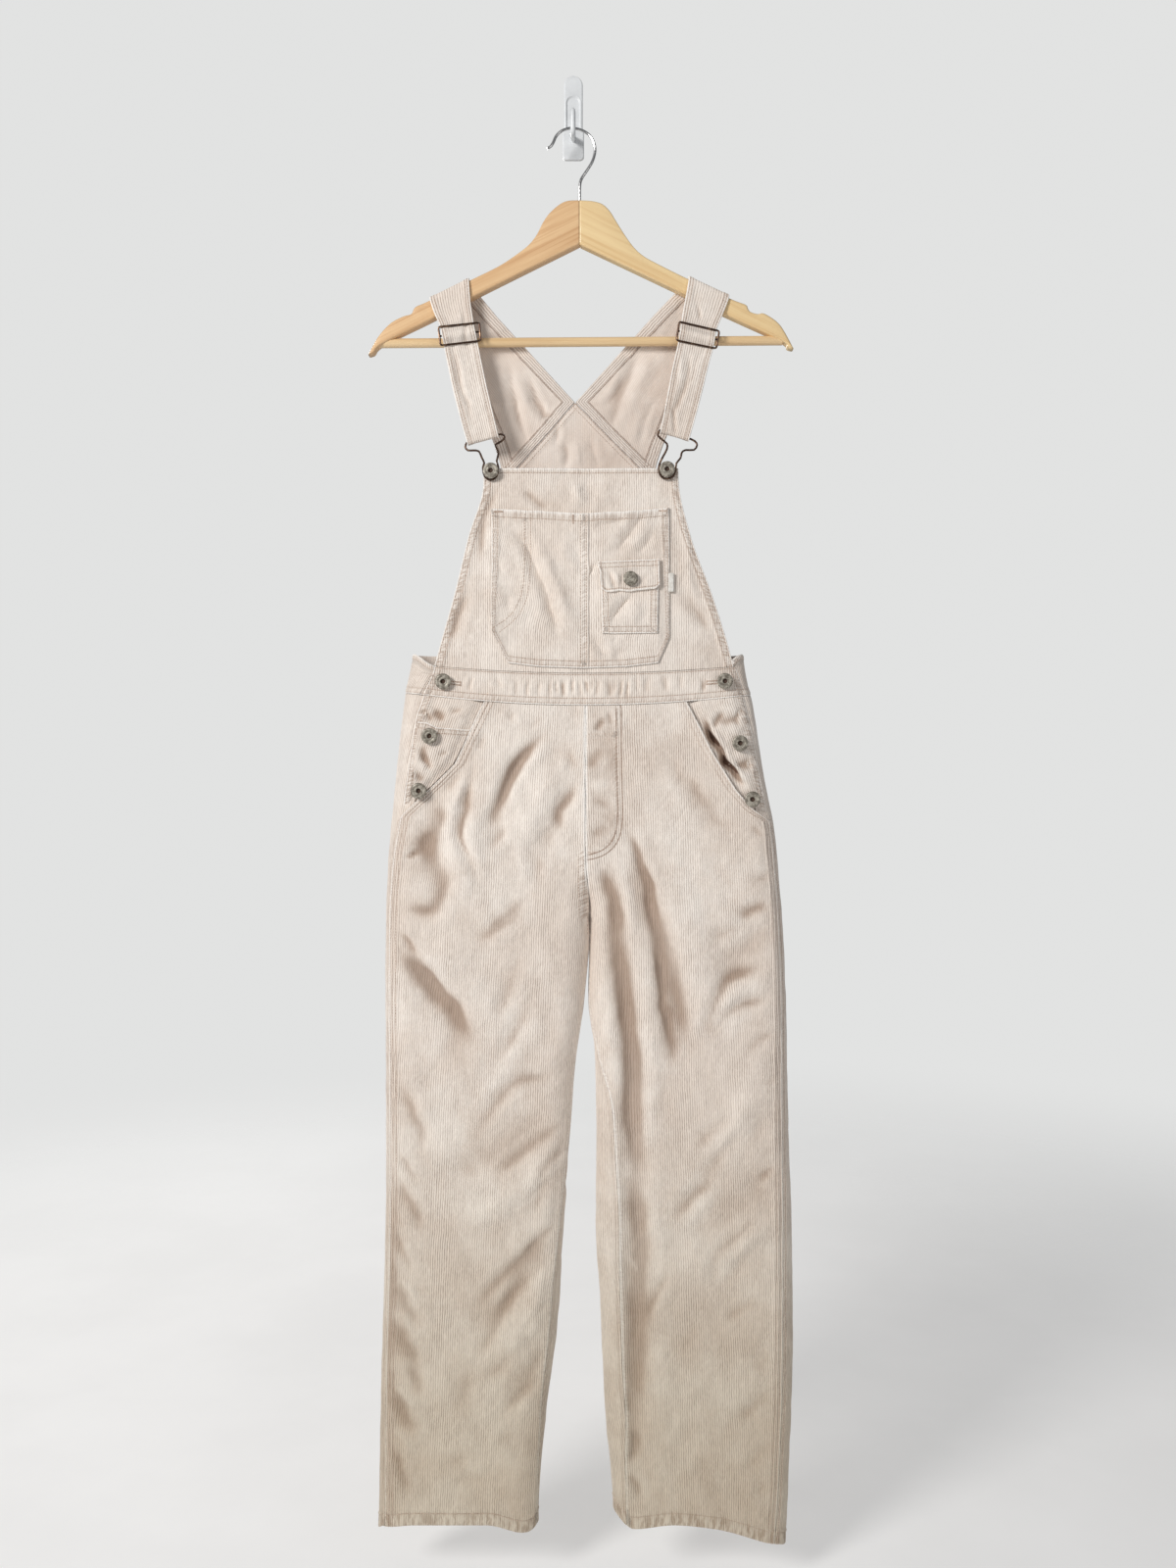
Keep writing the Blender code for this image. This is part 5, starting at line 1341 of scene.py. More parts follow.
def panel_grid(left, right, top, foot, step, seams, columns=None, ridges=()):
    """A grid of places over a piece whose sides are functions of z and whose ends are functions of x."""
    middle_z = float(top(np.array(MIDDLE)) + foot(np.array(MIDDLE))) / 2.0
    sides = [float(side(np.array(middle_z))) for side in (left, right)]
    middle_x = sum(sides) / 2.0
    ends = [float(end(np.array(middle_x))) for end in (top, foot)]
    u = spaced(abs(sides[1] - sides[0]), step, (seams["left"], seams["right"]), ridges)[None, :]
    if columns is not None:
        u = np.interp(np.linspace(0.0, 1.0, columns), np.linspace(0.0, 1.0, u.shape[1]), u[0])[None, :]
    v = spaced(abs(ends[0] - ends[1]), step, (seams["top"], seams["foot"]))[:, None]
    z = np.full((v.shape[0], u.shape[1]), middle_z)
    x = np.full(z.shape, middle_x)
    for _ in range(6):
        z = top(x) + (foot(x) - top(x)) * v
        x = left(z) + (right(z) - left(z)) * u
    return x, z


def lay(x, z, depth, lift=0.0):
    """Points of a surface that is given as a depth at each x and z, moved out along its normals."""
    step = 2.0
    dx = (depth(x + step, z) - depth(x - step, z)) / (2 * step)
    dz = (depth(x, z + step) - depth(x, z - step)) / (2 * step)
    normal = np.stack([-dx, -np.ones_like(dx), -dz], axis=2)
    normal /= np.linalg.norm(normal, axis=2, keepdims=True)
    return np.stack([x, -depth(x, z), z], axis=2) + normal * lift


def line_through(*points):
    """A function through a few (key, value) pairs on straight lines."""
    keys, values = zip(*sorted(points))
    return lambda at: np.interp(at, keys, values)


def constant(value):
    """A function that is the same everywhere."""
    return lambda at: value + 0 * at


def carried_depth(x, z):
    """Depth of what lies on the bib, which follows the bib's own creases."""
    return bib_depth(x, z) + crease_height(BIB_CREASES, x, z) + 0.3 * unevenness(x, z * 0.7, 21, 70.0)


def make_bib(finishes):
    """The bib, with hemmed top and sides."""
    left, right = (lambda z: read(BIB, "left", z)), (lambda z: read(BIB, "right", z))
    seams = around(ROPED, ROPED, SINGLE, UNDER)
    x, z = panel_grid(left, right, constant(BIB_TOP), lambda x: band_top(x) + SEAM_GAP, 2.1, seams)
    base = lay(x, z, bib_depth)
    relief = fade_at_edges(base, carried_depth(x, z) - bib_depth(x, z), 9.0)
    rests_on = ("buckle_l", "buckle_r")
    make_piece("bib_cloth", "bib_front", base, seams, MIDDLE, finishes, "hung", rests_on, relief=relief)


def make_bib_pocket(finishes):
    """The wide pocket with its centre seam and the narrow pencil pocket sewn into it."""
    top = line_through(*places("-84.5 -431 -30 -434 8 -436 55 -434 100.5 -430"))
    seams = around(TWIN, TWIN, Seam((8.5,), 9.5, 0.6, 0.6), TWIN)
    fold = FLY_EDGE_BIB + 84.5
    foot = line_through(*POCKET_FOOT)
    x, z = panel_grid(constant(-84.5), constant(100.5), top, foot, 1.9, seams, ridges=(fold,))
    base = lay(x, z, carried_depth, LAYER)
    away = x - FLY_EDGE_BIB
    overlap = smooth_step((FLY_EDGE_BIB + 0.2 - x) / 0.6) * (0.45 + 0.55 * smooth_step((away + 12.0) / 3.0))
    bead = bell((away + 1.0) / 0.9)
    twin = sum(bell((away + line) / 0.8) for line in (3.0, 9.0))
    relief = 0.25 * unevenness(x, z, 31, 40.0) + 0.9 * overlap * smooth_step((x + 60.0) / 60.0)
    relief = fade_at_edges(base, relief + 0.45 * bead - 0.35 * twin, 3.0, ("foot",))
    middle = ((FLY_EDGE_BIB - 5.0, -437.0), (FLY_EDGE_BIB - 4.6, -594.0))
    inner = ((PENCIL_LINE, 3.5, 0.35), (middle, 3.4, 0.45))
    name = "bib_pocket_cloth"
    values = {"relief": relief, "inner": inner}
    make_piece(name, "bib_pocket", base, seams, 8.0, finishes, "laid", ("bib_cloth",), **values)
    for shift in (0.0, 6.0):
        sew_on(name, [(x + shift, z - shift * 0.9 * k / 7) for k, (x, z) in enumerate(PENCIL_LINE)])
        sew_on(name, [(FLY_EDGE_BIB - 3.0 - shift, -437.0), (FLY_EDGE_BIB - 2.6 - shift, -594.0)])
    sew_on(name, [(FLY_EDGE_BIB + 1.5, -442.5), (57.0, -441.0)])
    for tack in ((-82.0, -434.5, 9.0, 0.0), (90.0, -433.5, 8.5, 0.0), (0.5, -438.0, 0.0, -9.0)):
        bar_tack(name, *tack)


def make_patch_pocket(finishes):
    """The small patch pocket and its flap."""
    left, right = line_through((-562.0, 31.0), (-494.0, 29.0)), line_through((-562.0, 88.0), (-494.0, 89.5))
    top, foot = (lambda x: -494.0 + 0.03 * (x - 29.0)), (lambda x: -562.5 + 0.01 * (x - 31.0))
    seams = around(TWIN, TWIN, SINGLE, TWIN)
    x, z = panel_grid(left, right, top, foot, 1.9, seams)
    base = lay(x, z, carried_depth, 2 * LAYER)
    values = {"relief": 0.2 * unevenness(x, z, 41, 30.0), "sewn": ("left", "right", "foot")}
    on = ("bib_pocket_cloth",)
    make_piece("patch_pocket_cloth", "patch_pocket", base, seams, 60.0, finishes, "laid", on, **values)
    foot = line_through(*places("26.5 -512 30.5 -516.5 35 -519.5 60 -518.5 86 -516 90 -512"))
    left, right = line_through((-520.0, 30.5), (-487.0, 26.5)), line_through((-520.0, 90.5), (-485.0, 90.0))
    seams = around(FLAP_SEAM, FLAP_SEAM, Seam((2.0, 6.6), 8.0, 0.6, 0.4), FLAP_SEAM)
    x, z = panel_grid(left, right, lambda x: -487.5 + 0.047 * (x - 26.5), foot, 1.5, seams)
    base = lay(x, z, carried_depth, 3 * LAYER)
    across = (x - 58.0) / 32.0
    relief = 0.9 * across**2 * smooth_step((-490.0 - z) / 25.0) + 0.3 * unevenness(x, z, 43, 22.0)
    relief = relief + crease_height(FLAP_CREASES, x, z)
    on = ("patch_pocket_cloth",)
    make_piece("flap_cloth", "pocket_flap", base, seams, 60.0, finishes, "laid", on, relief=relief)


def make_label(finish):
    """The plain folded tab in the pocket's edge."""
    seams = around(PLAIN, PLAIN, UNDER, UNDER)
    x, z = panel_grid(constant(99.2), constant(105.2), constant(-499.0), constant(-518.5), 1.0, seams)
    panel = Panel("tab_cloth", lay(x, z, bib_depth, 2 * LAYER), FORWARD, seams, 100.0)
    kind = {"slot": "label_weave", "marks": ()}
    add_cloth(panel, [finish, finish], "label_tab", "stretched", ("bib_pocket_cloth",), **kind)


def side_edge(leg, sign):
    """The front's outer edge on one side, as a function of z."""
    return lambda z: read(leg, "outer", z) + sign * (read(leg, "outer_roll", z) + SEAM_GAP / 2)


def make_front_band(finishes):
    """The waistband across the front, gathered into small folds at its middle."""
    foot = lambda x: band_foot(x) + SEAM_GAP / 2
    seams = around(TWIN, TWIN, Seam((1.6,), 4.0, 0.2, 0.25, wear=0.3, cut=0.3), BAND_SEWN)
    x, z = panel_grid(side_edge(LEFT_LEG, 1.0), side_edge(RIGHT_LEG, -1.0), band_top, foot, 1.5, seams)
    base = lay(x, z, front_depth)
    down = down_columns(base)
    gathers = crease_height(BAND_CREASES, x, z) * np.sin(pi * (down / down[-1:, :])) ** 0.5
    relief = gathers + 0.2 * unevenness(x, z, 51, 30.0)
    names = ("waistband_front_cloth", "waistband_front")
    make_piece(*names, base, seams, MIDDLE, finishes, "hung", ("bib_cloth",), relief=relief)


def make_facing(side, leg, mouth, finishes):
    """The hip facing in a slant pocket's opening."""
    sign = 1.0 if leg is LEFT_LEG else -1.0
    drop = CLOTH + 8 * SEAM_GAP
    edge = side_edge(leg, sign)

    def depth(x, z):
        inside = (straight(mouth, "x", z) - x) * sign
        return front_depth(x, z) - drop * (1.0 - smooth_step((inside - 3.0) / 14.0))

    outside = lambda z: edge(z) + sign * 4 * SEAM_GAP
    inside = lambda z: straight(mouth, "x", z) + sign * 7.0
    top = lambda x: band_foot(x) - SEAM_GAP / 2
    seams = around(Seam((2.0, 6.6), 8.0, 0.6, 0.9), UNDER, UNDER, UNDER)
    x, z = panel_grid(outside, inside, top, constant(mouth[-1].z + 0.5), 2.0, seams)
    base = lay(x, z, depth)
    relief = fade_at_edges(base, crease_height(HIP_CREASES, x, z) + 0.3 * unevenness(x, z, 61, 30.0), 5.0)
    names = (f"facing_{side}_cloth", f"pocket_facing_{side}")
    values = {"sewn": ("left",), "relief": relief}
    grain, on = x[:, len(x[0]) // 2], ("waistband_front_cloth",)
    make_piece(*names, base, seams, grain, finishes, "hung", on, **values)
    return depth


def make_coin_pocket(depth, finishes):
    """The coin pocket on the left facing."""
    top = line_through(*places("-159.5 -654 -150 -655 -140 -660 -108.5 -662"))
    right = lambda z: straight(LEFT_MOUTH, "x", z) - 1.5
    left = line_through(*places("-727 -163 -700 -163.6 -654 -159.5"))
    seams = around(UNDER, UNDER, Seam((2.0, 6.4), 7.4, 0.5, 0.7), UNDER)
    x, z = panel_grid(left, right, top, constant(-727.0), 2.0, seams)
    base = lay(x, z, depth, 1.5)
    relief = 0.3 * unevenness(x, z, 71, 24.0) + crease_height(HIP_CREASES, x, z)
    relief = fade_at_edges(base, relief, 4.0, ("left", "right"))
    values = {"sewn": ("top",), "thickness": 1.2, "relief": relief}
    grain, on = x[:, len(x[0]) // 2], ("facing_l_cloth",)
    make_piece("coin_cloth", "coin_pocket", base, seams, grain, finishes, "laid", on, **values)


# ---------------------------------------------------------------- back pieces


def back_face_depth(table):
    """Depth of the side of a back piece that looks away from the wall."""
    return lambda x, z: read(table, "depth", z) + CLOTH


def back_piece(name, node, table, x, z, seams, grain, seed, finishes, rests_on):
    """A piece of the back bib; its plain side shows between the straps."""
    base = lay(x, z, back_face_depth(table))
    relief = crease_height(INSIDE_CREASES, x, z) + 0.4 * unevenness(x, z, seed, 50.0)
    relief = fade_at_edges(base, relief, 6.0)
    values = {"sewn": ("left", "right"), "relief": relief}
    make_piece(name, node, base, seams, grain, finishes[::-1], "hung", rests_on, **values)


def make_back(finishes):
    """The pointed middle and the two side pieces, which bend at the top of the middle."""
    left = lambda z: straight(BACK_CENTER, "left", z) + SEAM_GAP
    right = lambda z: straight(BACK_CENTER, "right", z) - SEAM_GAP
    foot = constant(BACK_BAND_TOP + SEAM_GAP)
    seams = around(TWIN, TWIN, PLAIN, UNDER)
    x, z = panel_grid(left, right, constant(-313.0), foot, 2.6, seams)
    names, on = ("back_center_cloth", "back_center"), ("back_side_l_cloth",)
    back_piece(*names, BACK_CENTER, x, z, seams, 4.0, 81, finishes, on)
    for side, table, strap in (("l", BACK_SIDE_LEFT, STRAP_LEFT[0]), ("r", BACK_SIDE_RIGHT, STRAP_RIGHT[0])):
        slope = strap.half_z / strap.half_x
        top_z = lambda x, s=strap, k=slope: s.z - 2 * SEAM_GAP + k * (x - s.x)

        def edge(column, end, t=table):
            keys, values = columns_of(t[1:], column, "z")
            keys = np.append(keys, max(t[0].z, keys[-1] + 12.0))
            return lambda z: np.interp(z, keys, np.append(values, end))

        sides = edge("left", strap.x - strap.half_x), edge("right", strap.x + strap.half_x)
        bend = constant(-312.0)
        seams = around(FACED, FACED, UNDER, UNDER)
        x, z = panel_grid(*sides, top_z, bend, 2.3, seams)
        low_x, low_z = panel_grid(*sides, bend, constant(-396.0), 2.3, seams, len(x[0]))
        x, z = np.concatenate([x, low_x[1:]]), np.concatenate([z, low_z[1:]])
        grain = (x[:, 0] + x[:, -1]) / 2.0
        names, on = (f"back_side_{side}_cloth", f"back_side_{side}"), (f"strap_{side}_cloth",)
        back_piece(*names, table, x, z, seams, grain, 91, finishes, on)


def make_back_band(finishes):
    """The back waistband, round both sides to the front's edges."""
    heights = np.linspace(BACK_BAND_TOP - SEAM_GAP / 2, LEG_TOP + SEAM_GAP / 2, 26)
    under = UNDERLAP * smooth_step((-588.0 - heights) / 8.0)
    rows = []
    for leg in (LEFT_LEG, RIGHT_LEG):
        outer, inner, inward = leg_edges(leg, heights)
        a = outer + inward * EDGE_ROLL
        middle = a + (inner - a) * np.linspace(0.0, 1.0, MIDDLE_POINTS["back"])[None, 1:]
        x, z, depth, face = back_surface(leg, heights, under, 20, 30, [middle])
        share = (z - LEG_TOP) / (BACK_BAND_TOP - LEG_TOP)
        slope = np.where(face > 0, smooth_step(np.abs(x - outer) / 26.0), 0.0)
        drop = (band_foot(x) - LEG_TOP) * (1.0 - share) - 13.0 * slope * smooth_step(share * 3.0 - 1.4)
        rows.append(np.stack([x, -depth, z + drop], axis=2))
    rows[1] = rows[1][:, ::-1]
    base = resample(np.concatenate([rows[0], rows[1][:, 1:]], axis=1), 2.2, (SINGLE, SINGLE))
    seams = around(SINGLE, SINGLE, SINGLE, BAND_SEWN)
    relief = fade_at_edges(base, 0.35 * unevenness(base[..., 0], base[..., 2], 101, 35.0), 4.0)
    panel = Panel("waistband_back_cloth", base, BACKWARD, seams, MIDDLE, relief=relief)
    panel.weave[..., 0] = panel.across
    add_cloth(panel, finishes, "waistband_back", "hung", ("back_center_cloth",))
    sew_edges(panel, SIDES)


# ---------------------------------------------------------------- straps


def strap_rows(table):
    """The strap's rows, its foot folded round the buckle's bar and its end laid behind."""
    rows = list(table)
    foot, above = table[-1], table[-2]
    run = Vector((foot.x - above.x, foot.z - above.z)).normalized()
    radius = FOLD_RADIUS + CLOTH
    for angle in np.linspace(pi / 6, pi, 6):
        reach = radius * sin(angle)
        depth = foot.depth - radius * (1.0 - cos(angle))
        rows.append(StrapRow(foot.x + run.x * reach, foot.z + run.y * reach, depth, foot.half_x, foot.half_z))
    behind = [row for row in table[::-1] if row.z < BAR_LEVEL - 14.0][1:]
    for row in behind:
        rest = 0.8 * float(smooth_step((row.z + 330.0) / 50.0))
        rows.append(row._replace(depth=row.depth - 2 * radius + rest))
    return rows


def densify(points, step):
    """A smooth curve of any number of values a point, at about even steps of its first three."""
    points = np.asarray(points, float)
    result = []
    for i in range(len(points) - 1):
        p0, p1 = points[max(i - 1, 0)], points[i]
        p2, p3 = points[i + 1], points[min(i + 2, len(points) - 1)]
        count = max(int(np.linalg.norm((p2 - p1)[:3]) / step), 1)
        ends = np.linalg.norm((p2 - p1)[:3])
        before = np.linalg.norm((p1 - p0)[:3])
        after = np.linalg.norm((p3 - p2)[:3])
        m1 = (p2 - p0) * ends / max(before + ends, 1e-6) if i > 0 else p2 - p1
        m2 = (p3 - p1) * ends / max(after + ends, 1e-6) if i < len(points) - 2 else p2 - p1
        for k in range(count):
            t = k / count
            a = (2 * t**3 - 3 * t**2 + 1) * p1 + (t**3 - 2 * t**2 + t) * m1
            result.append(a + (3 * t**2 - 2 * t**3) * p2 + (t**3 - t**2) * m2)
    result.append(points[-1])
    return np.array(result)


def make_strap(side, table, creases, finishes):
    """A strap with its four rows of stitches and the creases it takes from use."""
    rows = strap_rows(table)
    path = densify([(r.x, -r.depth, r.z, r.half_x, 0.0, r.half_z) for r in rows], 1.7)
    centre, half = path[:, :3], path[:, 3:]
    wide = float(np.linalg.norm(half, axis=1).mean()) * 2
    shares = spaced(wide, 1.6, (STRAP_SEAM, STRAP_SEAM)) * 2 - 1
    base = centre[:, None, :] + half[:, None, :] * shares[None, :, None]
    run = np.concatenate([[0.0], np.cumsum(np.linalg.norm(np.diff(centre, axis=0), axis=1))])
    across = np.broadcast_to(shares[None, :] * wide / 2, base.shape[:2])
    along = np.broadcast_to(run[:, None], base.shape[:2])
    behind = (centre[:, 1] > -36.0) * 99
    hanger_end = float(run[int(np.argmin(np.abs(centre[:, 2] - table[5].z) + behind))])
    slack = smooth_step((along - hanger_end - 8.0) / 25.0)
    relief = crease_height(creases, base[..., 0], base[..., 2])
    relief = relief + 0.35 * unevenness(across, along * 0.4, 111, 16.0)
    relief = relief * slack * smooth_step((wide / 2 - np.abs(across)) / 3.0)
    seams = around(STRAP_SEAM, STRAP_SEAM, UNDER, PLAIN)
    grain = base[:, len(shares) // 2, 0]
    panel = Panel(f"strap_{side}_cloth", base, FORWARD, seams, grain, relief=relief)
    panel.weave = np.stack([across, along], axis=2)
    add_cloth(panel, finishes, f"strap_{side}", "hung", (f"hanger_arm_{side}",), 0)
    sew_edges(panel, ("left", "right"))


# ---------------------------------------------------------------- buttons and metal


def lathe(name, profile, x, z, base, turns, finishes, nodes, slot, dark=0.0):
    """A turned piece round an axis that points away from the wall: radius and height pairs."""
    place = lambda row, c, s: (x + row[0] * c, -base - row[1], z + row[0] * s)
    points, quads = turned(profile, turns, place)
    # Rows sunk in the middle, inside the radius given as dark, take the second material: painted shade in the
    # hole
    inside = [row[0] < dark and row[1] < profile[0][1] + 1.5 for row in profile[1:]]
    made = new_mesh(name, points, quads, finishes=np.repeat(inside, turns).astype(int))
    dress(made, nodes, slot, finishes)


BUTTON_TURNS = 40
HEAD_HEIGHT = 3.6

# Turned profiles: shares of a button's radius, and heights over its head's level
CAP_PROFILE = places("0.3 0.25 0.36 0.05 0.42 0.2 0.62 0.1 0.68 -0.12 0.74 0.05")
RING_PROFILE = places("""
0.1 -2.4 0.2 -2.5 0.27 -2.2 0.29 -0.9 0.33 -0.25 0.4 -0.05 0.5 -0.25 0.56 -0.3 0.62 -0.1
""")
RIM_PROFILE = places("0.8 0 0.92 -0.35 0.99 -1 1 -1.8 0.95 -2.4")


def make_button(node, x, z, base, stem, radius, finishes, capped=False):
    """A shank button: a stem, a lower rim and a head that is a ring round a hole painted dark as shade, or a
    flat cap.
    """
    head = stem + HEAD_HEIGHT
    rows = [(0.01, head + (0.3 if capped else -2.4))]
    rows += [(radius * a, head + b) for a, b in (CAP_PROFILE if capped else RING_PROFILE) + RIM_PROFILE]
    rows += [(radius * a, stem + b) for a, b in ((0.84, 0.9), (0.9, 0.6), (0.88, 0.1))]
    rows += [(3.2, stem), (2.6, stem - 0.3 if stem > 1.2 else stem * 0.7), (2.6, 0.0)]
    dark = 0.0 if capped else radius * 0.3
    lathe(node + "_turned", round_curve(rows, 3), x, z, base, BUTTON_TURNS, finishes, [node], "pewter", dark)


def make_buttons(finishes):
    """All nine buttons on their places."""
    base = float(bib_depth(-85.7, -391.5)) + SEAM_GAP
    make_button("bib_button_l", -85.5, -392.0, base, 4.4, BUTTON_RADIUS, finishes)
    base = float(bib_depth(98.3, -391.0)) + SEAM_GAP
    make_button("bib_button_r", 98.3, -390.5, base, 4.4, BUTTON_RADIUS, finishes)
    base = float(bib_depth(60.0, -505.5)) + 3 * LAYER + SEAM_GAP
    make_button("flap_button", 60.0, -505.5, base, 1.0, 7.6, finishes, True)
    for name, x, z, lift in SIDE_BUTTONS:
        base = float(front_depth(x, z)) + lift + SEAM_GAP + 0.3
        make_button(name, x, z, base, 2.4, BUTTON_RADIUS, finishes)


SIDE_BUTTONS = (
    ("side_button_l1", -133.9, -612.4, 0.0),
    ("side_button_l2", -147.3, -669.1, 1.5),
    ("side_button_l3", -158.0, -725.5, 1.5),
    ("side_button_r1", 157.4, -612.0, 0.0),
    ("side_button_r2", 172.5, -676.4, 0.0),
    ("side_button_r3", 185.1, -734.2, 0.0),
)

# A buttonhole: its panel, its outer end and the way to its other end
BUTTONHOLES = (
    ("waistband_front_cloth", -131.0, -613.0, 15.0, -1.5),
    ("waistband_front_cloth", 154.0, -612.5, -15.0, -1.0),
    ("front_l", -139.0, -669.0, 12.0, -2.0),
    ("front_r", 166.0, -676.0, -12.0, -2.0),
)


def make_buttonholes():
    """Two dense rows of stitches with a slot between, for each buttonhole."""
    for panel, x, z, dx, dz in BUTTONHOLES:
        size = float(np.hypot(dx, dz))
        ux, uz = dx / size, dz / size
        for side in (-1.0, 1.0):
            bar_tack(panel, x - uz * side * 1.5, z + ux * side * 1.5, dx, dz, 1.7)
        bar_tack(panel, x + dx - uz * 2.2, z + dz - ux * 2.2, uz * 4.4, ux * 4.4, 1.6)


# ---------------------------------------------------------------- hanger and wall hook

WOOD_DEPTHS = (22.0, 35.0)
WOOD_EDGE = 2.8
ARM_RINGS = 150
PLATE_TOP = 45.2
PLATE_FOOT = -46.2
PLATE_THICKNESS = 3.0
PLATE_HALF_WIDTH = 10.2
FOOT_ROUNDING = 4.5
PAD_TOP = -12.0
LOOP_CENTRE = 15.6
LOOP_RADIUS = 7.8
PEG_HALF_WIDTH = 2.8
PEG_SADDLE = -26.8

# The peg's middle line: distance from the wall, height and radius
PEG_PATH = (
    (1.0, -23.0, 3.4),
    (12.0, (PEG_SADDLE - 23.0) / 2 - 1.0, 3.2),
    (24.0, PEG_SADDLE - 2.6, 3.0),
    (30.8, PEG_SADDLE - 2.6, 3.0),
    (33.6, -16.0, 2.9),
    (34.6, -8.0, 2.0),
    (34.7, -6.6, 0.9),
)


def ring_mesh(name, rings, finish, nodes, slot):
    """A closed skin over rings of points of the same count, capped at both ends."""
    rings = np.asarray(rings, float)
    count, size = rings.shape[:2]
    ends = [np.broadcast_to(rings[k].mean(axis=0), (size, 3)) * 0.999 + rings[k] * 0.001 for k in (0, -1)]
    rings = np.concatenate([ends[0][None], rings, ends[1][None]])
    index = np.arange((count + 2) * size).reshape(count + 2, size)
    after = np.roll(index, -1, axis=1)
    quads = np.stack([index[:-1], after[:-1], after[1:], index[1:]], axis=2).reshape(-1, 4)
    made = new_mesh(name, rings.reshape(-1, 3), quads)
    bm = bmesh.new()
    bm.from_mesh(made.data)
    bmesh.ops.recalc_face_normals(bm, faces=bm.faces)
    bm.to_mesh(made.data)
    bm.free()
    made.data.shade_smooth()
    dress(made, nodes, slot, [finish])


def make_arm(side, top, foot, finish):
    """One arm of the hanger: a board with smooth curves and rounded edges."""
    shift = -0.03 if side == "l" else 0.03
    upper = resample_line([(x, 0.0, z) for x, z in round_curve(top, 6)], 1.5)
    lower = resample_line([(x, 0.0, z) for x, z in round_curve(foot[::-1], 6)], 1.5)
    shares = np.linspace(0.0, 1.0, ARM_RINGS)
    at = lambda line, k: np.interp(shares, np.linspace(0, 1, len(line)), line[:, k])
    upper, lower = (np.stack([at(line, 0), at(line, 2)], axis=1) for line in (upper, lower))
    corner = [(1 - cos(a), sin(a)) for a in np.linspace(0, pi / 2, 6)]
    rings = []
    deep, middle = WOOD_DEPTHS[1] - WOOD_DEPTHS[0], sum(WOOD_DEPTHS) / 2
    for i, ((ux, uz), (lx, lz)) in enumerate(zip(upper, lower)):
        tall = float(np.hypot(ux - lx, uz - lz))
        radius = min(WOOD_EDGE, tall * 0.45)
        quarter = [(deep / 2 - radius * (1 - out), tall / 2 - radius * up) for up, out in corner]
        section = []
        for across, down in ((1, 1), (-1, 1), (-1, -1), (1, -1)):
            points = [(d * across, h * down) for d, h in quarter]
            section += points if across * down < 0 else points[::-1]
        way = ((ux - lx) / tall, (uz - lz) / tall)
        centre = ((ux + lx) / 2 + (shift if i == 0 else 0.0), (uz + lz) / 2)
        rings.append([(centre[0] + way[0] * s, -(middle + d), centre[1] + way[1] * s) for d, s in section])
    ring_mesh(f"arm_{side}_turned", rings, finish, [f"hanger_arm_{side}"], "hanger_wood")


def make_plate(finish):
    """The adhesive plate with its raised lower pad and sunk loop, and the peg that carries the wire."""
    tall = np.linspace(PLATE_TOP - 0.05, PLATE_FOOT + 0.05, 120)
    across = np.sin(np.linspace(-pi / 2, pi / 2, 49))
    pad = smooth_step((PAD_TOP - tall) / 3.0)
    wide, bend = PLATE_HALF_WIDTH, FOOT_ROUNDING
    top, foot = np.minimum(PLATE_TOP - tall, wide), np.minimum(tall - PLATE_FOOT, bend)
    half = wide + 1.4 * pad - (wide - np.sqrt(wide**2 - (wide - top) ** 2))
    half = half - (bend - np.sqrt(bend**2 - (bend - foot) ** 2))
    x = half[:, None] * across[None, :]
    z = np.broadcast_to(tall[:, None], x.shape)
    edge = np.minimum(half[:, None] - np.abs(x), np.minimum(top, foot)[:, None] + 0.3)
    loop = np.hypot(x, np.maximum(z - LOOP_CENTRE, 0.0))
    sunk = smooth_step((z - PAD_TOP) / 2.0) * smooth_step((LOOP_RADIUS - loop) / 1.2)
    rim = bell((loop - LOOP_RADIUS - 0.2) / 0.6) * smooth_step((z - PAD_TOP) / 2.0)
    thick = PLATE_THICKNESS - 1.0 * (1.0 - pad[:, None]) - 1.1 * sunk + 0.4 * rim
    thick = np.maximum(thick - rounding(edge, 1.6) * 0.9, 0.4)
    face = np.stack([x, -thick, z], axis=2)
    back = np.stack([x, np.full(x.shape, -0.02), z], axis=2)
    flat = np.zeros(x.shape + (2,))
    shell("plate_moulded", face, back, flat, flat, [finish, finish], ["wall_hook"], "hook_plastic")
    curve = densify([(d, z, 0.0, r) for d, z, r in PEG_PATH], 0.8)
    rings = []
    for k, (d, z, _, r) in enumerate(curve):
        before, after = curve[max(k - 1, 0)], curve[min(k + 1, len(curve) - 1)]
        way = np.array([after[0] - before[0], after[1] - before[1]])
        way /= max(float(np.hypot(*way)), 1e-6)
        ring = []
        for turn in np.linspace(0, 2 * pi, 20, endpoint=False):
            aside, up = PEG_HALF_WIDTH * min(r / 2.6, 1.0) * cos(turn), r * sin(turn)
            ring.append((aside, -(d - way[1] * up), z + way[0] * up))
        rings.append(ring)
    ring_mesh("peg_moulded", rings, finish, (), "hook_plastic")


def paint(node, finish):
    """Gives a CAD node's object a better material."""
    for slot in bpy.data.objects[node].material_slots:
        slot.material = finish


# ---------------------------------------------------------------- materials


def step(operation, swapped=False):
    """A method that adds a node of arithmetic."""
    return lambda self, other=0.0: self.graph.math(operation, *((other, self) if swapped else (self, other)))


class Value:
    """One output of a node, with arithmetic that adds nodes."""

    def __init__(self, graph, socket):
        self.graph, self.socket = graph, socket

    __add__, __sub__, __mul__, __pow__ = map(step, ("ADD", "SUBTRACT", "MULTIPLY", "POWER"))
    __rsub__ = step("SUBTRACT", True)
    __abs__, sine = step("ABSOLUTE"), step("SINE")


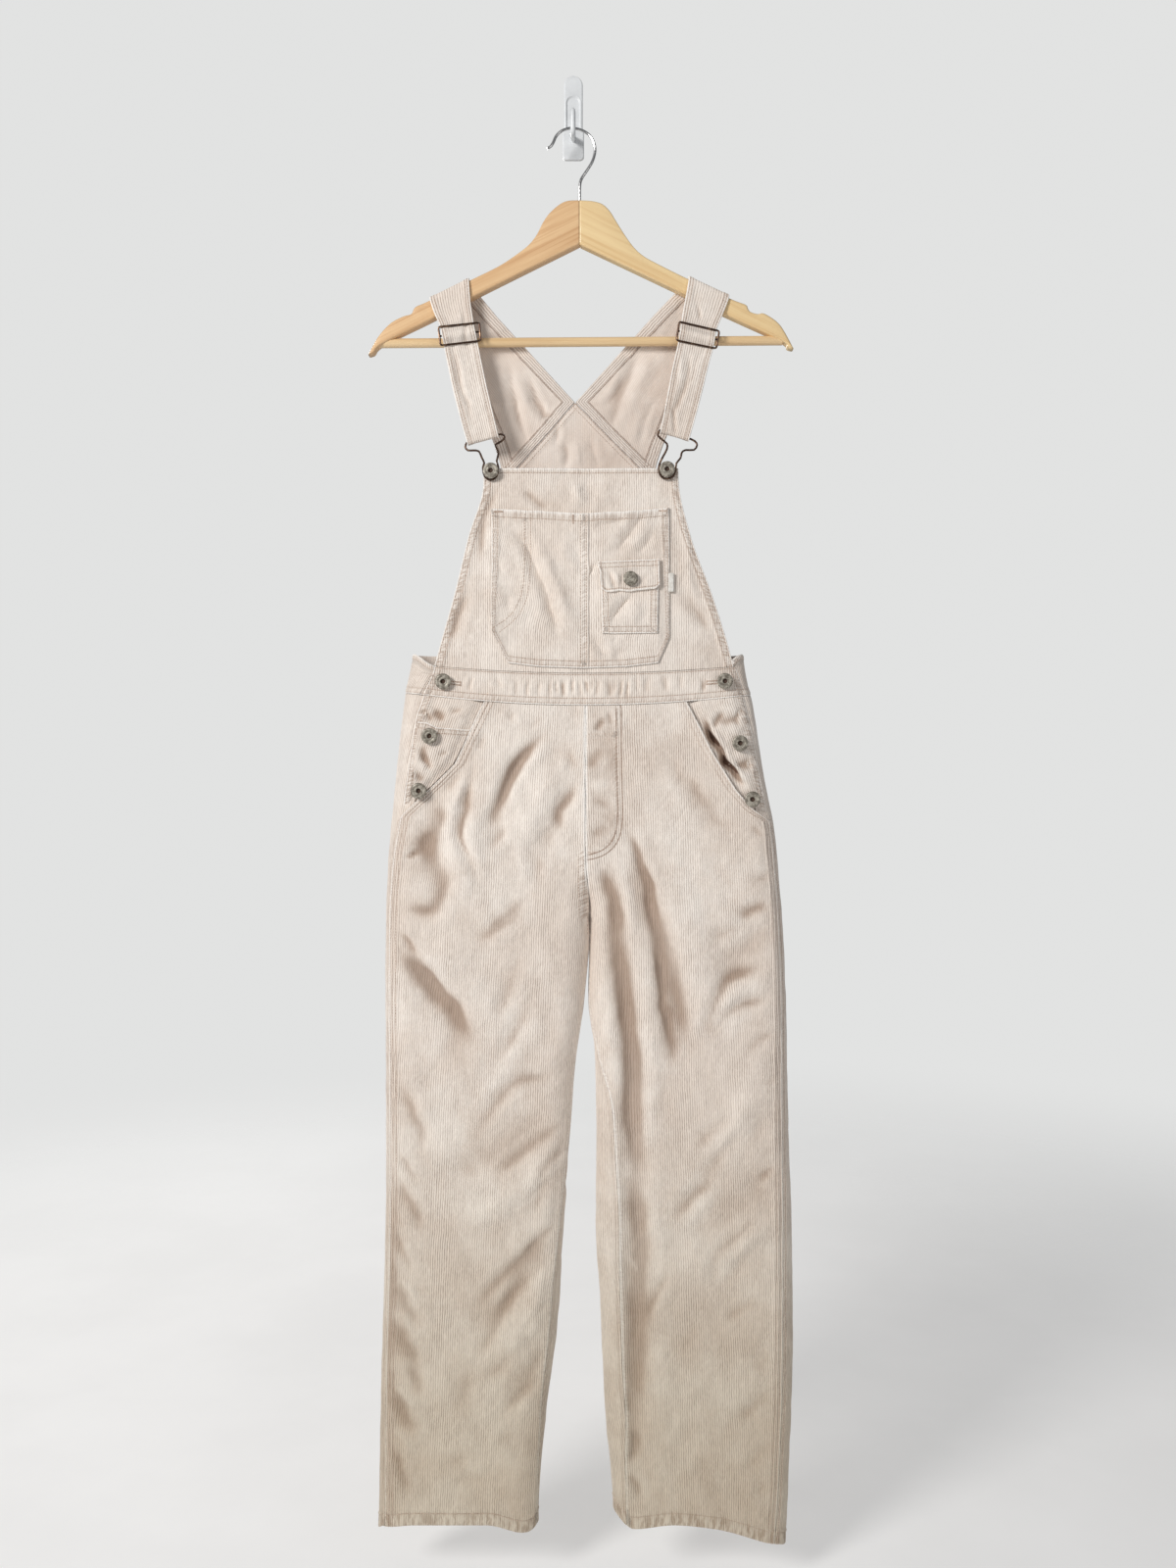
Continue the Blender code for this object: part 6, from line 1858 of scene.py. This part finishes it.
class Graph:
    """A material whose node tree is built from small expressions."""

    def __init__(self, name):
        self.material = bpy.data.materials.new(name)
        self.material.use_nodes = True
        self.tree = self.material.node_tree
        self.shader = self.tree.nodes["Principled BSDF"]

    def feed(self, socket, value):
        """Links a socket to a value that is one, or sets it."""
        if isinstance(value, Value):
            self.tree.links.new(value.socket, socket)
        elif isinstance(value, tuple) and len(value) == 3 and len(socket.default_value) == 4:
            socket.default_value = (*value, 1.0)
        else:
            socket.default_value = value

    def add(self, kind, values=(), out=0, **settings):
        """A new node's output; its settings and the values of its inputs, in order or by name or number."""
        node = self.tree.nodes.new(kind)
        for key, value in settings.items():
            setattr(node, key, value)
        for key, value in values.items() if isinstance(values, dict) else enumerate(values):
            self.feed(node.inputs[key], value)
        made = [Value(self, socket) for socket in node.outputs]
        return made if out is None else made[out] if isinstance(out, int) else Value(self, node.outputs[out])

    def math(self, operation, a, b=0.0, c=0.0, clamp=False):
        """One step of arithmetic."""
        return self.add("ShaderNodeMath", (a, b, c), operation=operation, use_clamp=clamp)

    def mark(self, name):
        """A mesh attribute."""
        return self.add("ShaderNodeAttribute", out="Fac", attribute_name=name)

    def place(self):
        """Object coordinates, in metres."""
        return self.add("ShaderNodeTexCoord", out="Object")

    def split(self, vector):
        """A vector's three values."""
        return self.add("ShaderNodeSeparateXYZ", (vector,), out=None)

    def layer(self, name):
        """Both values of a UV layer, in millimetres."""
        x, y, _ = self.split(self.add("ShaderNodeUVMap", uv_map=name))
        return x * 100.0, y * 100.0

    def point(self, x, y, z=0.0):
        """A vector from three values."""
        return self.add("ShaderNodeCombineXYZ", (x, y, z))

    def noise(self, at, scale=1.0, detail=2.0, roughness=0.5, distortion=0.0):
        """Smooth noise, about 0.25 to 0.75."""
        values = {"Vector": at, "Scale": scale, "Detail": detail}
        values.update({"Roughness": roughness, "Distortion": distortion})
        return self.add("ShaderNodeTexNoise", values)

    def flow(self, x, y, detail=2.0, roughness=0.5):
        """Noise over two values."""
        return self.noise(self.point(x, y), 1.0, detail, roughness)

    def ramp(self, value, low, high, start=0.0, end=1.0):
        """A value carried smoothly from one range to another."""
        return self.add("ShaderNodeMapRange", (value, low, high, start, end), interpolation_type="SMOOTHSTEP")

    def mix(self, share, a, b, kind="MIX"):
        """Two colours mixed."""
        return self.add("ShaderNodeMix", {0: share, 6: a, 7: b}, out=2, data_type="RGBA", blend_type=kind)

    def bump(self, height, size_mm, strength=1.0):
        """A height between 0 and 1 as a bump of a size in millimetres."""
        return self.add("ShaderNodeBump", {"Strength": strength, "Distance": size_mm * MM, "Height": height})

    def finish(self, colour, roughness=0.8, normal=None, **values):
        """Links the shader; other values are set on its own sockets."""
        values = {"Base Color": colour, "Roughness": roughness, **values}
        if normal is not None:
            values["Normal"] = normal
        for key, value in values.items():
            self.feed(self.shader.inputs[key.replace("_", " ")], value)
        return self.material


def srgb(r, g, b):
    """A colour from its values on the 0 to 255 scale of a screen."""
    values = (v / 255.0 for v in (r, g, b))
    return tuple(v / 12.92 if v <= 0.04045 else ((v + 0.055) / 1.055) ** 2.4 for v in values)


WALE = 2.35
# The deepest painted shade, in deep hollows and gaps and at the facing bands' inner edges
CLOTH_PAINTED_DEEP_SHADE = srgb(112, 86, 72)
# The palest colour, for rounded edges: rubbing and painted highlight
CLOTH_EDGE = srgb(252, 247, 241)
# Paler in rubbed patches, on raised folds and on puckers' strands: rubbing and painted highlight
CLOTH_WORN_AND_LIT = srgb(247, 239, 230)
CLOTH_RIDGE = srgb(232, 218, 205)
# The grooves between the ribs: their own darker tone with painted shade
CLOTH_GROOVE_SHADED = srgb(146, 120, 103)
# Painted shade in creases and hollows, between puckers and at stitch lines
CLOTH_PAINTED_SHADE = srgb(160, 136, 118)
# Painted light falloff: multiplied in, it darkens and warms the legs towards the feet
CLOTH_PAINTED_FALLOFF = srgb(210, 205, 190)
INSIDE_PALE = srgb(247, 238, 229)
INSIDE_DARK = srgb(222, 204, 190)


def make_corduroy():
    """Washed fine corduroy: ridges paler in rubbed patches and, as painted highlight, on raised folds;
    grooves darker in tone and in painted shade; heather along the ribs; puckers at seams; painted shade in
    hollows and creases.
    """
    g = Graph("corduroy_worn")
    u, v = g.layer("weave")
    away, run = g.layer("seam")
    place = g.place()
    x, y, z = g.split(place)
    hollow = g.mark("hollow")
    drift = g.flow(u * 0.02, v * 0.02) * 3.2 + g.flow(u * 0.06, v * 0.07, 1.0) * 1.4
    wale = abs(((u + drift) * (pi / WALE)).sine()) ** 0.75
    crumple = g.noise(g.point(x + z * -0.55, y * 0.3, z * 0.5), 48.0, 2.0, 0.5, 0.3)
    grain = g.flow(u * 0.11, v * 0.03)
    streak = g.flow(u * 0.42, v * 0.028, 3.0, 0.65)
    fleck = g.flow(u * 1.3, v * 0.16, 2.0, 0.6)
    fuzz = g.noise(place, 900.0, 3.0, 0.7)

    # Paler in rubbed patches, and on raised folds as painted highlight
    patches = g.ramp(g.noise(place, 11.0, 5.0, 0.62), 0.4, 0.6)
    worn = g.math("ADD", patches * 0.5, g.ramp(hollow, -2.4, 2.0) * 0.6, clamp=True)
    # Grooves: their darker tone and painted shade, lighter in rubbed patches and on raised folds
    groove = g.mix(worn * g.ramp(grain, 0.35, 0.65, 0.2, 0.8), CLOTH_GROOVE_SHADED, CLOTH_RIDGE)
    ridge = g.mix(worn, CLOTH_RIDGE, CLOTH_WORN_AND_LIT)
    faded = g.ramp(g.noise(place, 17.0, 3.0, 0.6), 0.38, 0.62, 0.0, 0.42)
    groove = g.mix(g.ramp(fleck, 0.45, 0.6, 0.0, 0.45), g.mix(faded, groove, ridge), ridge)
    colour = g.mix(wale, groove, ridge)

    # Painted shade in hollows and creases, weaker towards the feet, the deepest painted shade in deep gaps,
    # and heather
    colour = g.mix(g.ramp(hollow, -0.4, -3.8) * g.ramp(z, -0.98, -1.12, 0.76, 0.5), colour, CLOTH_PAINTED_SHADE)
    colour = g.mix(g.ramp(hollow, -7.5, -9.5), colour, CLOTH_PAINTED_DEEP_SHADE)
    heather = streak * 0.34 + fleck * 0.22 + 0.72
    colour = g.mix(1.0, colour, g.add("ShaderNodeCombineColor", (heather, heather, heather)), "MULTIPLY")

    # Puckers along seams, like a rope's strands: painted shade between the strands and painted highlight on
    # them
    slant = run * 0.5 + (away * 0.9 + g.flow(run * 0.03, away) * 1.4)
    rope = g.flow(slant, away * 0.6, 2.0, 0.55)
    near = g.ramp(away, 1.8, 0.7)
    pucker = g.ramp(rope, 0.4, 0.6) * near
    colour = g.mix((near - pucker) * 0.42, colour, CLOTH_PAINTED_SHADE)
    colour = g.mix(pucker * 0.55, colour, CLOTH_WORN_AND_LIT)

    # Painted shade at stitch lines and along the fly's rows, paler rounded edges (rubbing and painted
    # highlight), and painted light falloff that darkens and warms the legs towards their feet
    colour = g.mix(g.mark("stitched") * 0.28, colour, CLOTH_PAINTED_SHADE)
    drawn = g.mark("drawn") - 1.0
    # Painted shade lines along the fly's two rows of stitches
    for shift in (0.0, 0.52):
        line = g.ramp(abs(drawn - shift), 0.11, 0.03) * g.ramp(fleck, 0.4, 0.6, 0.5, 0.95)
        colour = g.mix(line, colour, CLOTH_GROOVE_SHADED)
    edge_breaks = g.ramp(g.flow(run * 0.35, away), 0.35, 0.6, 0.6, 1.0)
    colour = g.mix(g.ramp(g.mark("worn"), 0.25, 0.8) * edge_breaks * 0.9, colour, CLOTH_EDGE)
    colour = g.mix(g.ramp(z, -0.95, -1.45, 0.0, 0.8), colour, g.mix(1.0, colour, CLOTH_PAINTED_FALLOFF, "MULTIPLY"))
    height = wale * 0.38 + fuzz * 0.12 + rope * near * 1.4 + streak * 0.25 + crumple * 2.4
    normal = g.bump(height, 1.0, 0.9)
    return g.finish(colour, 0.92, normal, Sheen_Weight=0.2, Sheen_Roughness=0.5, Specular_IOR_Level=0.15)


def make_wrong_side():
    """The smooth side of the cloth, a fine twill with painted shade in its hollows; bands along faced edges
    show the ribs of their facing, with a painted shadow line at each band's inner edge.
    """
    g = Graph("corduroy_wrong_side")
    u, v = g.layer("weave")
    away, run = g.layer("seam")
    place = g.place()
    twill = ((u + v * 0.8) * (2 * pi / 1.1)).sine()
    rib = (u * (2 * pi / WALE)).sine()
    streak = g.flow(u * 0.3, v * 0.05, 3.0, 0.6)
    share = g.ramp(g.noise(place, 11.0, 4.0, 0.6), 0.3, 0.7) * 0.6 + streak * 0.4
    colour = g.mix(share, INSIDE_DARK, INSIDE_PALE)
    colour = g.mix(g.ramp(rib, 0.2, -1.0) * 0.14, colour, CLOTH_GROOVE_SHADED)
    # Painted shade in hollows
    colour = g.mix(g.ramp(g.mark("hollow"), -0.4, -3.6, 0.0, 0.5), colour, CLOTH_PAINTED_SHADE)
    edge = away + (g.flow(run * 0.12, 0.0, 2.0, 0.6) * 0.22 - 0.11)
    banded = g.ramp(edge, 1.0, 0.94)
    wale = abs((edge * (4.6 * pi)).sine())
    colour = g.mix(banded * 0.72, colour, g.mix(wale**0.8, CLOTH_GROOVE_SHADED, INSIDE_PALE))
    # A painted shadow line along the band's inner edge
    colour = g.mix((1.0 - g.ramp(abs(edge - 1.0), 0.02, 0.08)) * 0.6, colour, CLOTH_PAINTED_DEEP_SHADE)
    height = twill * 0.08 + rib * 0.05 + g.noise(place, 800.0, 2.0, 0.7) * 0.2
    height = height + banded * wale * 0.5 + g.noise(place, 60.0, 2.0, 0.5) * 2.0
    return g.finish(colour, 0.9, g.bump(height, 1.0, 0.8), Sheen_Weight=0.12, Specular_IOR_Level=0.15)


# Simple looks: two colours, the noise that mixes them (scale, detail, roughness and the range it is carried
# from), the noise of the fine grain, the roughness (a number, or a range over the grain), the grain's bump
# and other values of the shader
PLAIN_LOOKS = {
    "thread": (
        *((172, 146, 128), (218, 198, 182), (160.0, 3.0, 0.6, 0.3, 0.7), (2600.0, 2.0, 0.5)),
        *(0.7, (0.1, 0.6), {"Sheen_Weight": 0.1}),
    ),
    "bronze_worn": (
        *((78, 60, 50), (150, 122, 98), (220.0, 4.0, 0.6, 0.5, 0.75), (1500.0, 3.0, 0.6)),
        *((0.28, 0.5), (0.05, 0.5), {"Metallic": 0.85}),
    ),
    "pewter_cast": (
        *((118, 111, 100), (184, 178, 165), (300.0, 4.0, 0.65, 0.38, 0.66), (1800.0, 3.0, 0.7)),
        *((0.42, 0.65), (0.06, 0.6), {"Metallic": 0.4}),
    ),
    "steel_plated": (
        *((170, 170, 170), (205, 205, 205), (700.0, 3.0, 0.6, 0.3, 0.7), (700.0, 3.0, 0.6)),
        *((0.16, 0.3), (0.02, 0.4), {"Metallic": 1.0}),
    ),
    "plastic_satin": (
        *((216, 219, 221), (228, 231, 233), (60.0, 3.0, 0.5, 0.3, 0.7), (1400.0, 3.0, 0.6)),
        *((0.3, 0.42), (0.02, 0.5), {}),
    ),
    # Painted shade for the sunk middle of the buttons' rings
    "dark_slot": ((64, 48, 40), (96, 76, 64), (500.0, 3.0, 0.6), (500.0, 3.0, 0.6), 0.9, (0.1, 0.5), {}),
}


def make_plain(name, dark, light, tone, grain, rough, bump, values):
    """One of the simple looks."""
    g = Graph(name)
    place = g.place()
    share = g.noise(place, *tone[:3])
    share = g.ramp(share, *tone[3:]) if tone[3:] else share
    fine = g.noise(place, *grain)
    rough = g.ramp(fine, 0.2, 0.8, *rough) if isinstance(rough, tuple) else rough
    return g.finish(g.mix(share, srgb(*dark), srgb(*light)), rough, g.bump(fine, *bump), **values)


def make_wood(name, light, dark, lean):
    """Lacquered wood with its grain along an arm that slopes by lean."""
    g = Graph(name)
    x, y, z = g.split(g.place())
    across = z - x * lean
    grain = g.noise(g.point(x * 6.0, y * 60.0, across * 90.0), 1.0, 4.0, 0.6, 0.6)
    fine = g.noise(g.point(x * 30.0, y * 500.0, across * 900.0), 1.0, 2.0, 0.5)
    streak = g.noise(g.point(x * 5.0, 0.0, across * 210.0), 1.0, 3.0, 0.6)
    tone = g.ramp(grain, 0.3, 0.7) * 0.45 + fine * 0.2 + g.ramp(streak, 0.36, 0.52) * 0.4
    colour = g.mix(tone, srgb(*dark), srgb(*light))
    return g.finish(colour, 0.34, g.bump(fine, 0.05, 0.4), Coat_Weight=0.35, Coat_Roughness=0.15)


def make_label_weave():
    """White woven tape."""
    g = Graph("label_tape")
    u, v = g.layer("weave")
    weave = (u * (2 * pi / 0.6)).sine() * (v * (2 * pi / 0.6)).sine()
    soil = g.ramp(g.noise(g.place(), 200.0, 3.0, 0.6), 0.35, 0.7)
    colour = g.mix(soil, srgb(224, 220, 212), srgb(243, 241, 236))
    return g.finish(colour, 0.8, g.bump(weave, 0.08, 0.6), Sheen_Weight=0.1)


# ---------------------------------------------------------------- camera, light and floor

CAMERA_PLACE = (0.0159, -1.4, -0.7184)
SENSOR = 36.0
PHOTO_HEIGHT = 1600
METRES_PER_PIXEL = 1.058e-3


def put(name, data, place, turn):
    """The object of a camera or a light, in the scene."""
    made = bpy.data.objects.new(name, data)
    made.location, made.rotation_euler = place, turn
    bpy.context.scene.collection.objects.link(made)
    return made


def make_camera():
    """The camera, level and square to the wall; the photo's height fills its sensor's."""
    data = bpy.data.cameras.new("camera")
    data.sensor_fit, data.sensor_height = "VERTICAL", SENSOR
    data.lens = SENSOR * -CAMERA_PLACE[1] / (PHOTO_HEIGHT * METRES_PER_PIXEL)
    data.clip_end = 50.0
    bpy.context.scene.camera = put("camera", data, CAMERA_PLACE, (pi / 2, 0.0, 0.0))


def make_light(name, place, target, size, power, colour):
    """A large soft light that faces a place."""
    data = bpy.data.lights.new(name, "AREA")
    data.shape, data.size, data.energy, data.color = "DISK", size, power, colour
    put(name, data, place, (Vector(target) - Vector(place)).to_track_quat("-Z", "Y").to_euler())


def make_world(seen, colour, strength):
    """An even pale surround, less bright as a light than it looks."""
    world = bpy.data.worlds.new("surround")
    world.use_nodes = True
    tree = world.node_tree
    back, wall = tree.nodes["Background"], tree.nodes.new("ShaderNodeBackground")
    back.inputs[0].default_value, back.inputs[1].default_value = (*colour, 1.0), strength
    wall.inputs[0].default_value = (*seen, 1.0)
    rays, both = tree.nodes.new("ShaderNodeLightPath"), tree.nodes.new("ShaderNodeMixShader")
    for number, source in enumerate((rays.outputs["Is Camera Ray"], back.outputs[0], wall.outputs[0])):
        tree.links.new(source, both.inputs[number])
    tree.links.new(both.outputs[0], tree.nodes["World Output"].inputs[0])
    bpy.context.scene.world = world


FLOOR_LEVEL = -1557.0
FLOOR_RADIUS = 3200.0
FLOOR_RINGS = 24
FLOOR_TURNS = 96


def make_floor():
    """A pale round floor that fades into the surround."""
    radii = [FLOOR_RADIUS * (i / FLOOR_RINGS) + 1.0 for i in range(FLOOR_RINGS + 1)]
    place = lambda radius, c, s: (15.0 + radius * c, -40.0 + radius * s, FLOOR_LEVEL)
    points, quads = turned(radii, FLOOR_TURNS, place, True)
    made = new_mesh("floor", points, quads)
    g = Graph("floor_pale")
    place = g.place()
    x, y, _ = g.split(place)
    cloud = g.ramp(g.noise(place, 3.0, 4.0, 0.6), 0.3, 0.7)
    colour = g.mix(cloud, (0.6, 0.6, 0.595), (0.64, 0.64, 0.635))
    glow = {"Emission_Color": (0.76, 0.755, 0.75), "Emission_Strength": 0.34}
    g.finish(colour, 0.85, Alpha=g.ramp(g.math("SQRT", x * x + y * y), 2.7, 0.8), **glow)
    made.data.materials.append(g.material)


# ---------------------------------------------------------------- assembly


def sew_legs(panels):
    """Stitches of the legs: outseams, inseams, hems, mouths and the fly."""

    def sew_part(panel, side, distances, low=-9999.0, high=9999.0):
        """Rows along one side of a panel, between two heights."""
        for distance in distances:
            sew(panel.name, [p for p in panel.line_at(side, distance) if low < p[2] < high])

    for side, (front, back) in panels.items():
        mouth_foot = (LEFT_MOUTH if side == "l" else RIGHT_MOUTH)[-1].z
        sew_part(front, "left", OUTSEAM[side].lines, high=mouth_foot)
        sew_part(front, "left", (4.6, 9.6), low=mouth_foot - 4.0)
        sew_part(front, "right", (2.4, 7.6), CROTCH - 20.0, CROTCH + 4.0)
        sew_part(front, "foot", HEMMED.lines)
        sew_part(back, "foot", HEMMED.lines)
        sew_part(back, "left", OVERLAP.lines, high=mouth_foot)
        sew_part(back, "right", (2.4, 9.0), low=CROTCH + 2.0)
    for line in fly_lines():
        sew_on("front_r", line)
    for shift in (0.0, FLY_SPREAD):
        sew_on("front_l", [(11.0 - shift, -792.0), (12.0 - shift, -856.0)])
    bar_tack("front_r", 15.8, -789.0, 9.0, 0.5)
    bar_tack("front_r", 196.0, -750.0, 9.0, -5.0)


def main():
    """Builds the scene."""
    cloth = [make_corduroy(), make_wrong_side()]
    looks = {name: make_plain(name, *values) for name, values in PLAIN_LOOKS.items()}
    thread, plastic = looks["thread"], looks["plastic_satin"]
    panels = {
        "l": make_leg("l", LEFT_LEG, LEFT_MOUTH, LEFT_HEM, LEFT_CREASES, cloth),
        "r": make_leg("r", RIGHT_LEG, RIGHT_MOUTH, RIGHT_HEM, RIGHT_CREASES, cloth),
    }
    sew_legs(panels)
    make_bib(cloth)
    make_bib_pocket(cloth)
    make_patch_pocket(cloth)
    make_label(make_label_weave())
    make_front_band(cloth)
    left_depth = make_facing("l", LEFT_LEG, LEFT_MOUTH, cloth)
    make_facing("r", RIGHT_LEG, RIGHT_MOUTH, cloth)
    make_coin_pocket(left_depth, cloth)
    make_back(cloth)
    make_back_band(cloth)
    make_strap("l", STRAP_LEFT, STRAP_CREASES["l"], cloth)
    make_strap("r", STRAP_RIGHT, STRAP_CREASES["r"], cloth)
    make_buttons([looks["pewter_cast"], looks["dark_slot"]])
    make_buttonholes()
    for node in ("adjuster_l", "adjuster_r", "buckle_l", "buckle_r"):
        paint(node, looks["bronze_worn"])
    wood = make_wood("wood_left", (236, 200, 154), (200, 152, 106), 0.5)
    make_arm("l", ARM_LEFT_TOP, ARM_LEFT_FOOT, wood)
    wood = make_wood("wood_right", (243, 216, 166), (222, 186, 134), -0.5)
    make_arm("r", ARM_RIGHT_TOP, ARM_RIGHT_FOOT, wood)
    paint("hanger_bar", make_wood("wood_bar", (236, 206, 160), (212, 176, 130), 0.0))
    paint("hanger_hook", looks["steel_plated"])
    make_plate(plastic)
    for name, owners in STITCH_GROUPS.items():
        make_stitches(name, owners, thread)
    make_floor()
    make_world((0.76, 0.765, 0.76), (0.95, 0.97, 1.0), 0.24)
    middle = (0.0, 0.0, -0.75)
    make_light("key", (-1.75, -1.95, 0.4), middle, 0.9, 59.0, (1.0, 0.98, 0.96))
    make_light("fill", (1.5, -1.9, -0.6), (0.12, 0.0, -0.76), 1.0, 8.0, (1.0, 0.97, 0.94))
    make_light("behind", (-1.3, 2.3, 0.3), middle, 1.2, 40.0, (1.0, 0.98, 0.96))
    make_camera()
    bpy.context.scene.view_settings.view_transform = "Standard"


STITCH_GROUPS = {
    "stitches_legs_front": ("front_l", "front_r"),
    "stitches_legs_back": ("back_l", "back_r"),
    "stitches_bib": ("bib_cloth", "bib_pocket_cloth", "patch_pocket_cloth", "flap_cloth"),
    "stitches_hips": ("waistband_front_cloth", "facing_l_cloth", "facing_r_cloth", "coin_cloth"),
    "stitches_back": ("back_center_cloth", "back_side_l_cloth", "back_side_r_cloth", "waistband_back_cloth"),
    "stitches_straps": ("strap_l_cloth", "strap_r_cloth"),
}

main()
